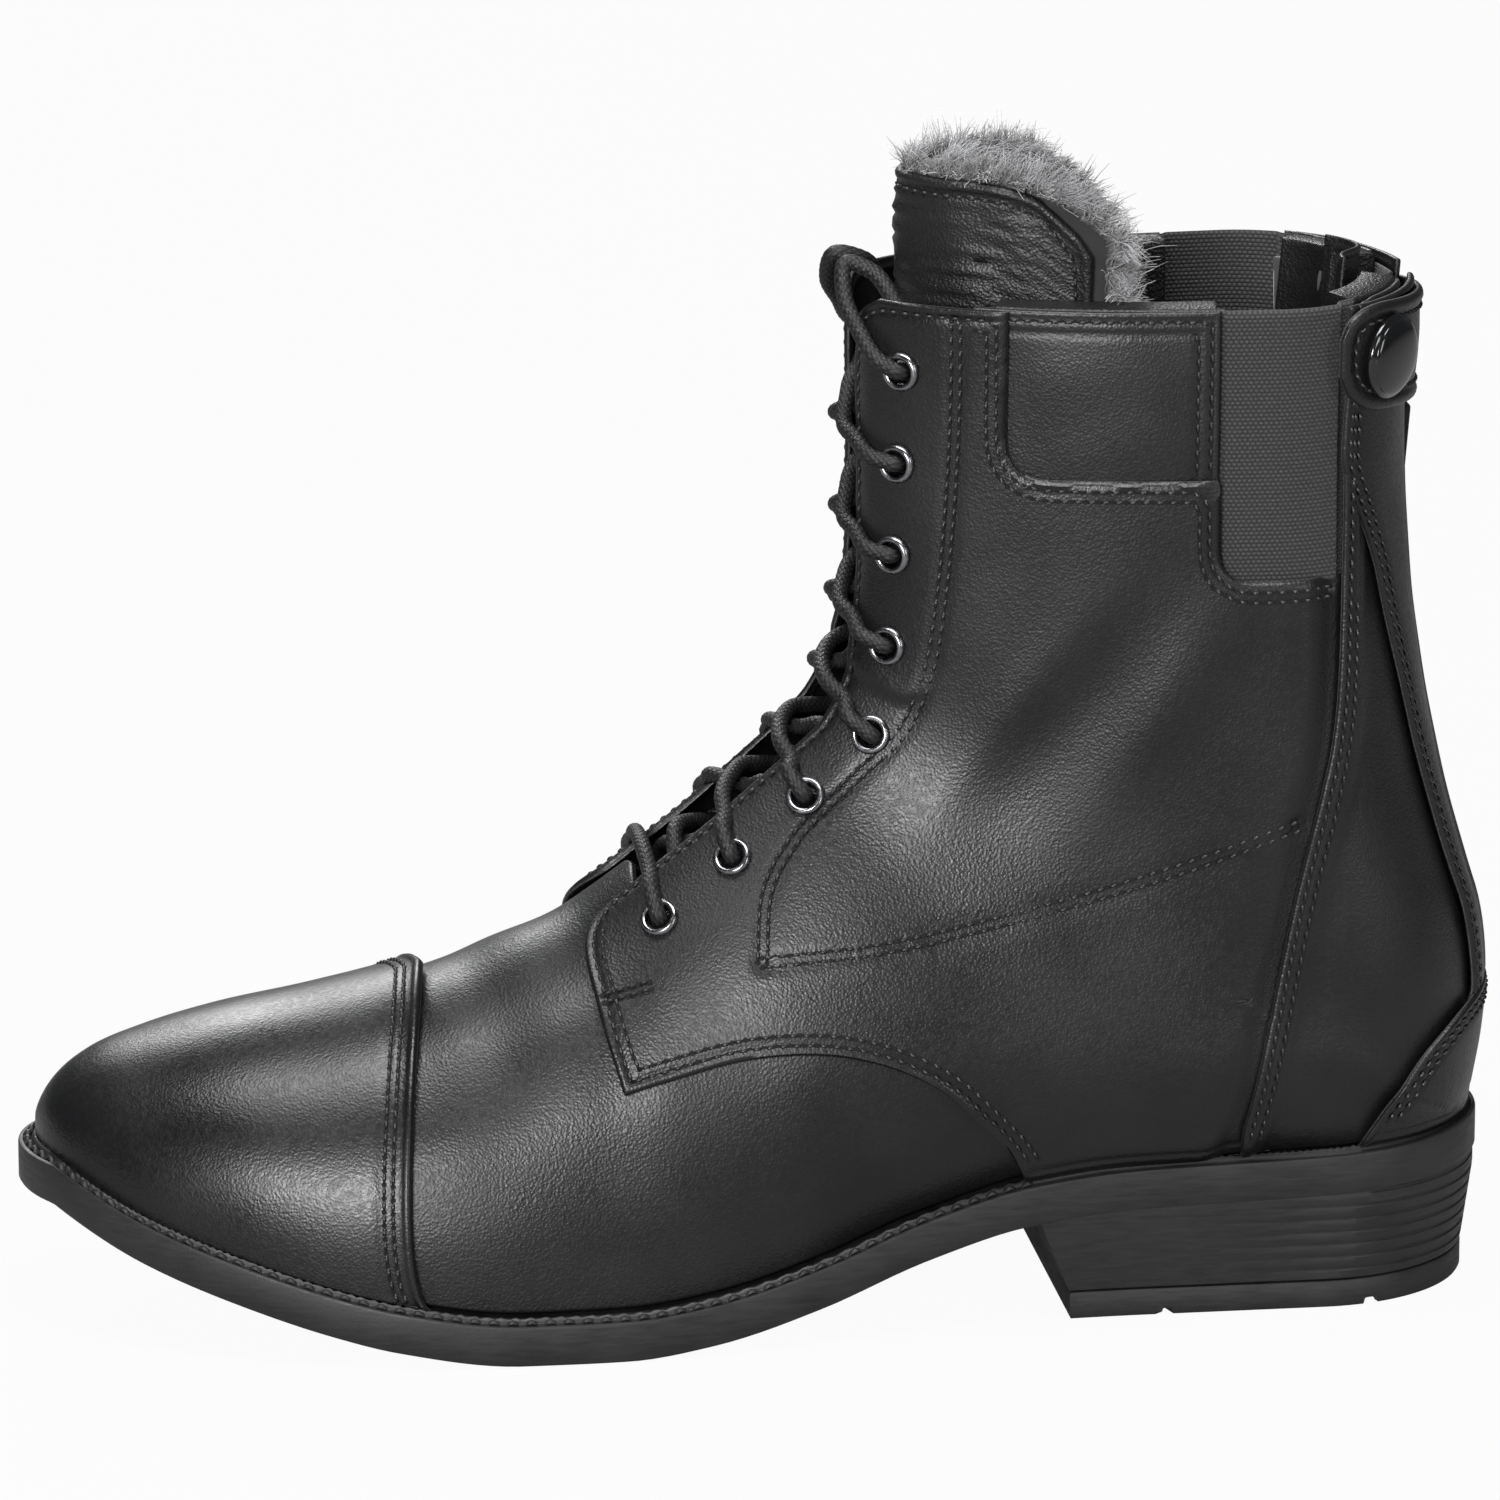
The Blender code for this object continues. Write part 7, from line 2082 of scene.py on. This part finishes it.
# Inside
def make_inside():
    """The vamp's fleece lining and the sock, which show only from above."""
    rear = run([seam(VAMP_LINING_REAR) + [(chart_u((-144.0, 76.0)), 1.0)]])
    rear[0, 1] = 0.0
    toe = toe_grid(lambda v: cap_edge(v) - 30, 16, 24)
    across = np.linspace(0, 1, 24)
    along = np.linspace(0, 1, 40)[1:, None, None]
    body = toe[-1][None] * (1 - along) + pick(rear, across)[None] * along
    cover("vamp_lining", "fleece", both(np.concatenate([toe, body])), LINING_FACE, FLEECE, [WOOL])

    shares = stations(70)
    levels = [plan_grid(shares, SOCK_FACE - inset, SOCK_FACE - inset, lambda x: feather_z(x) + lift, 18)
              for inset, lift in ((0.6, 0.1), (0.0, 0.7), (0.0, 2.4), (0.8, 3.3))]
    bumps = undulate(levels[-1].reshape(-1, 3), 0.35, 6.0, 53).reshape(levels[-1].shape[:2])
    levels[-1][..., 2] += bumps
    settle(stack("insock_fleece", levels, [WOOL]), "fleece", "insock")


CARRIED = {
    "insole_board": BOARD, "shank": STEEL, "toe_puff": PUFF, "heel_counter": FOAM, "lace_tip_a": TIP,
    "lace_tip_b": TIP, "zip_slider": ZIP_METAL, "zip_slider_back": ZIP_METAL, "zip_stop": ZIP_METAL,
    "snap_stud": ZIP_METAL,
}


def dress_nodes():
    """CAD pieces whose own shape is right get their material; the zip's metal pieces and the snap stud also
    get soft edges.
    """
    for name, look in CARRIED.items():
        node = frame["nodes"][name]
        node.data.materials.clear()
        node.data.materials.append(look)
        if look is ZIP_METAL:
            soften(node, 0.2)


# Stage
CAMERA_AT = (-382.2, -2027.5, 670.0)
CAMERA_AIM = (-104.0, 3.5, 107.0)
CAMERA_LENS = 264.0
SENSOR = 36.0
FLOOR_HALF = 6.0
FLOOR_GLOW = 0.95
LIGHT_AIM = (-0.1, 0.0, 0.1)
WORLD_STRENGTH = 0.07


def aim(made, place, target):
    """Puts a camera or lamp at a place, facing a target."""
    made.location = place
    made.rotation_mode = "QUATERNION"
    made.rotation_quaternion = (Vector(target) - Vector(place)).to_track_quat("-Z", "Y")


def make_camera():
    """The camera at the photograph's viewing angle."""
    data = bpy.data.cameras.new("camera")
    data.lens = CAMERA_LENS
    data.sensor_width = SENSOR
    data.clip_end = 50.0
    camera = add("camera", data)
    aim(camera, Vector(CAMERA_AT) * MM, Vector(CAMERA_AIM) * MM)
    bpy.context.scene.camera = camera


def make_floor():
    """A pale floor that the camera sees as white, with the boot's soft shadow on it."""
    half = FLOOR_HALF / MM
    corners = [(-half, -half, -0.02), (half, -half, -0.02), (half, half, -0.02), (-half, half, -0.02)]
    made, tree, shader = surface("floor", (0.3, 0.3, 0.3), 0.9, Specular_IOR_Level=0.0)
    seen = put(tree, "LightPath").outputs["Is Camera Ray"]
    glow = maths(tree, "MULTIPLY", seen, FLOOR_GLOW)
    white = put(tree, "Emission", {"Color": (1.0, 1.0, 1.0, 1.0), "Strength": 1.0})
    mixed = put(tree, "MixShader", {0: glow, 1: shader.outputs[0], 2: white.outputs[0]})
    tree.links.new(mixed.outputs[0], tree.nodes["Material Output"].inputs["Surface"])
    floor = mesh_object("floor", corners, [[0, 1, 2, 3]], [made])


def soft_box(name, place, size, power):
    """A rectangular lamp that faces the boot."""
    data = bpy.data.lights.new(name, "AREA")
    data.shape = "RECTANGLE"
    data.size, data.size_y = size
    data.energy = power
    aim(add(name, data), place, LIGHT_AIM)


def make_lights():
    """Four soft boxes and a faint sky."""
    soft_box("overhead", (-0.2, -0.3, 1.6), (1.3, 0.6), 34.0)
    soft_box("front_left", (-0.85, -1.9, 0.7), (0.6, 0.45), 46.0)
    soft_box("front_right", (1.2, -1.6, 0.7), (0.4, 0.9), 9.0)
    soft_box("behind", (-0.3, 1.9, 1.3), (1.0, 0.6), 26.0)
    world = bpy.data.worlds.new("studio")
    bpy.context.scene.world = world
    world.use_nodes = True
    sky = world.node_tree.nodes["Background"]
    sky.inputs["Color"].default_value = (0.9, 0.95, 1.0, 1.0)
    sky.inputs["Strength"].default_value = WORLD_STRENGTH
    bpy.context.scene.view_settings.view_transform = "Standard"


def main():
    make_camera()
    make_outsole()
    make_top_piece()
    make_welt()
    make_toe()
    make_vamp()
    for side in SIDES:
        make_quarter(side)
        make_side_panels(side)
        make_back_side(side)
        make_lining(side)
        make_zip_teeth(side)
    make_heel()
    make_tongue()
    make_eyelets()
    make_lace()
    make_pull()
    make_guard()
    make_tab()
    make_inside()
    dress_nodes()
    make_floor()
    make_lights()


main()
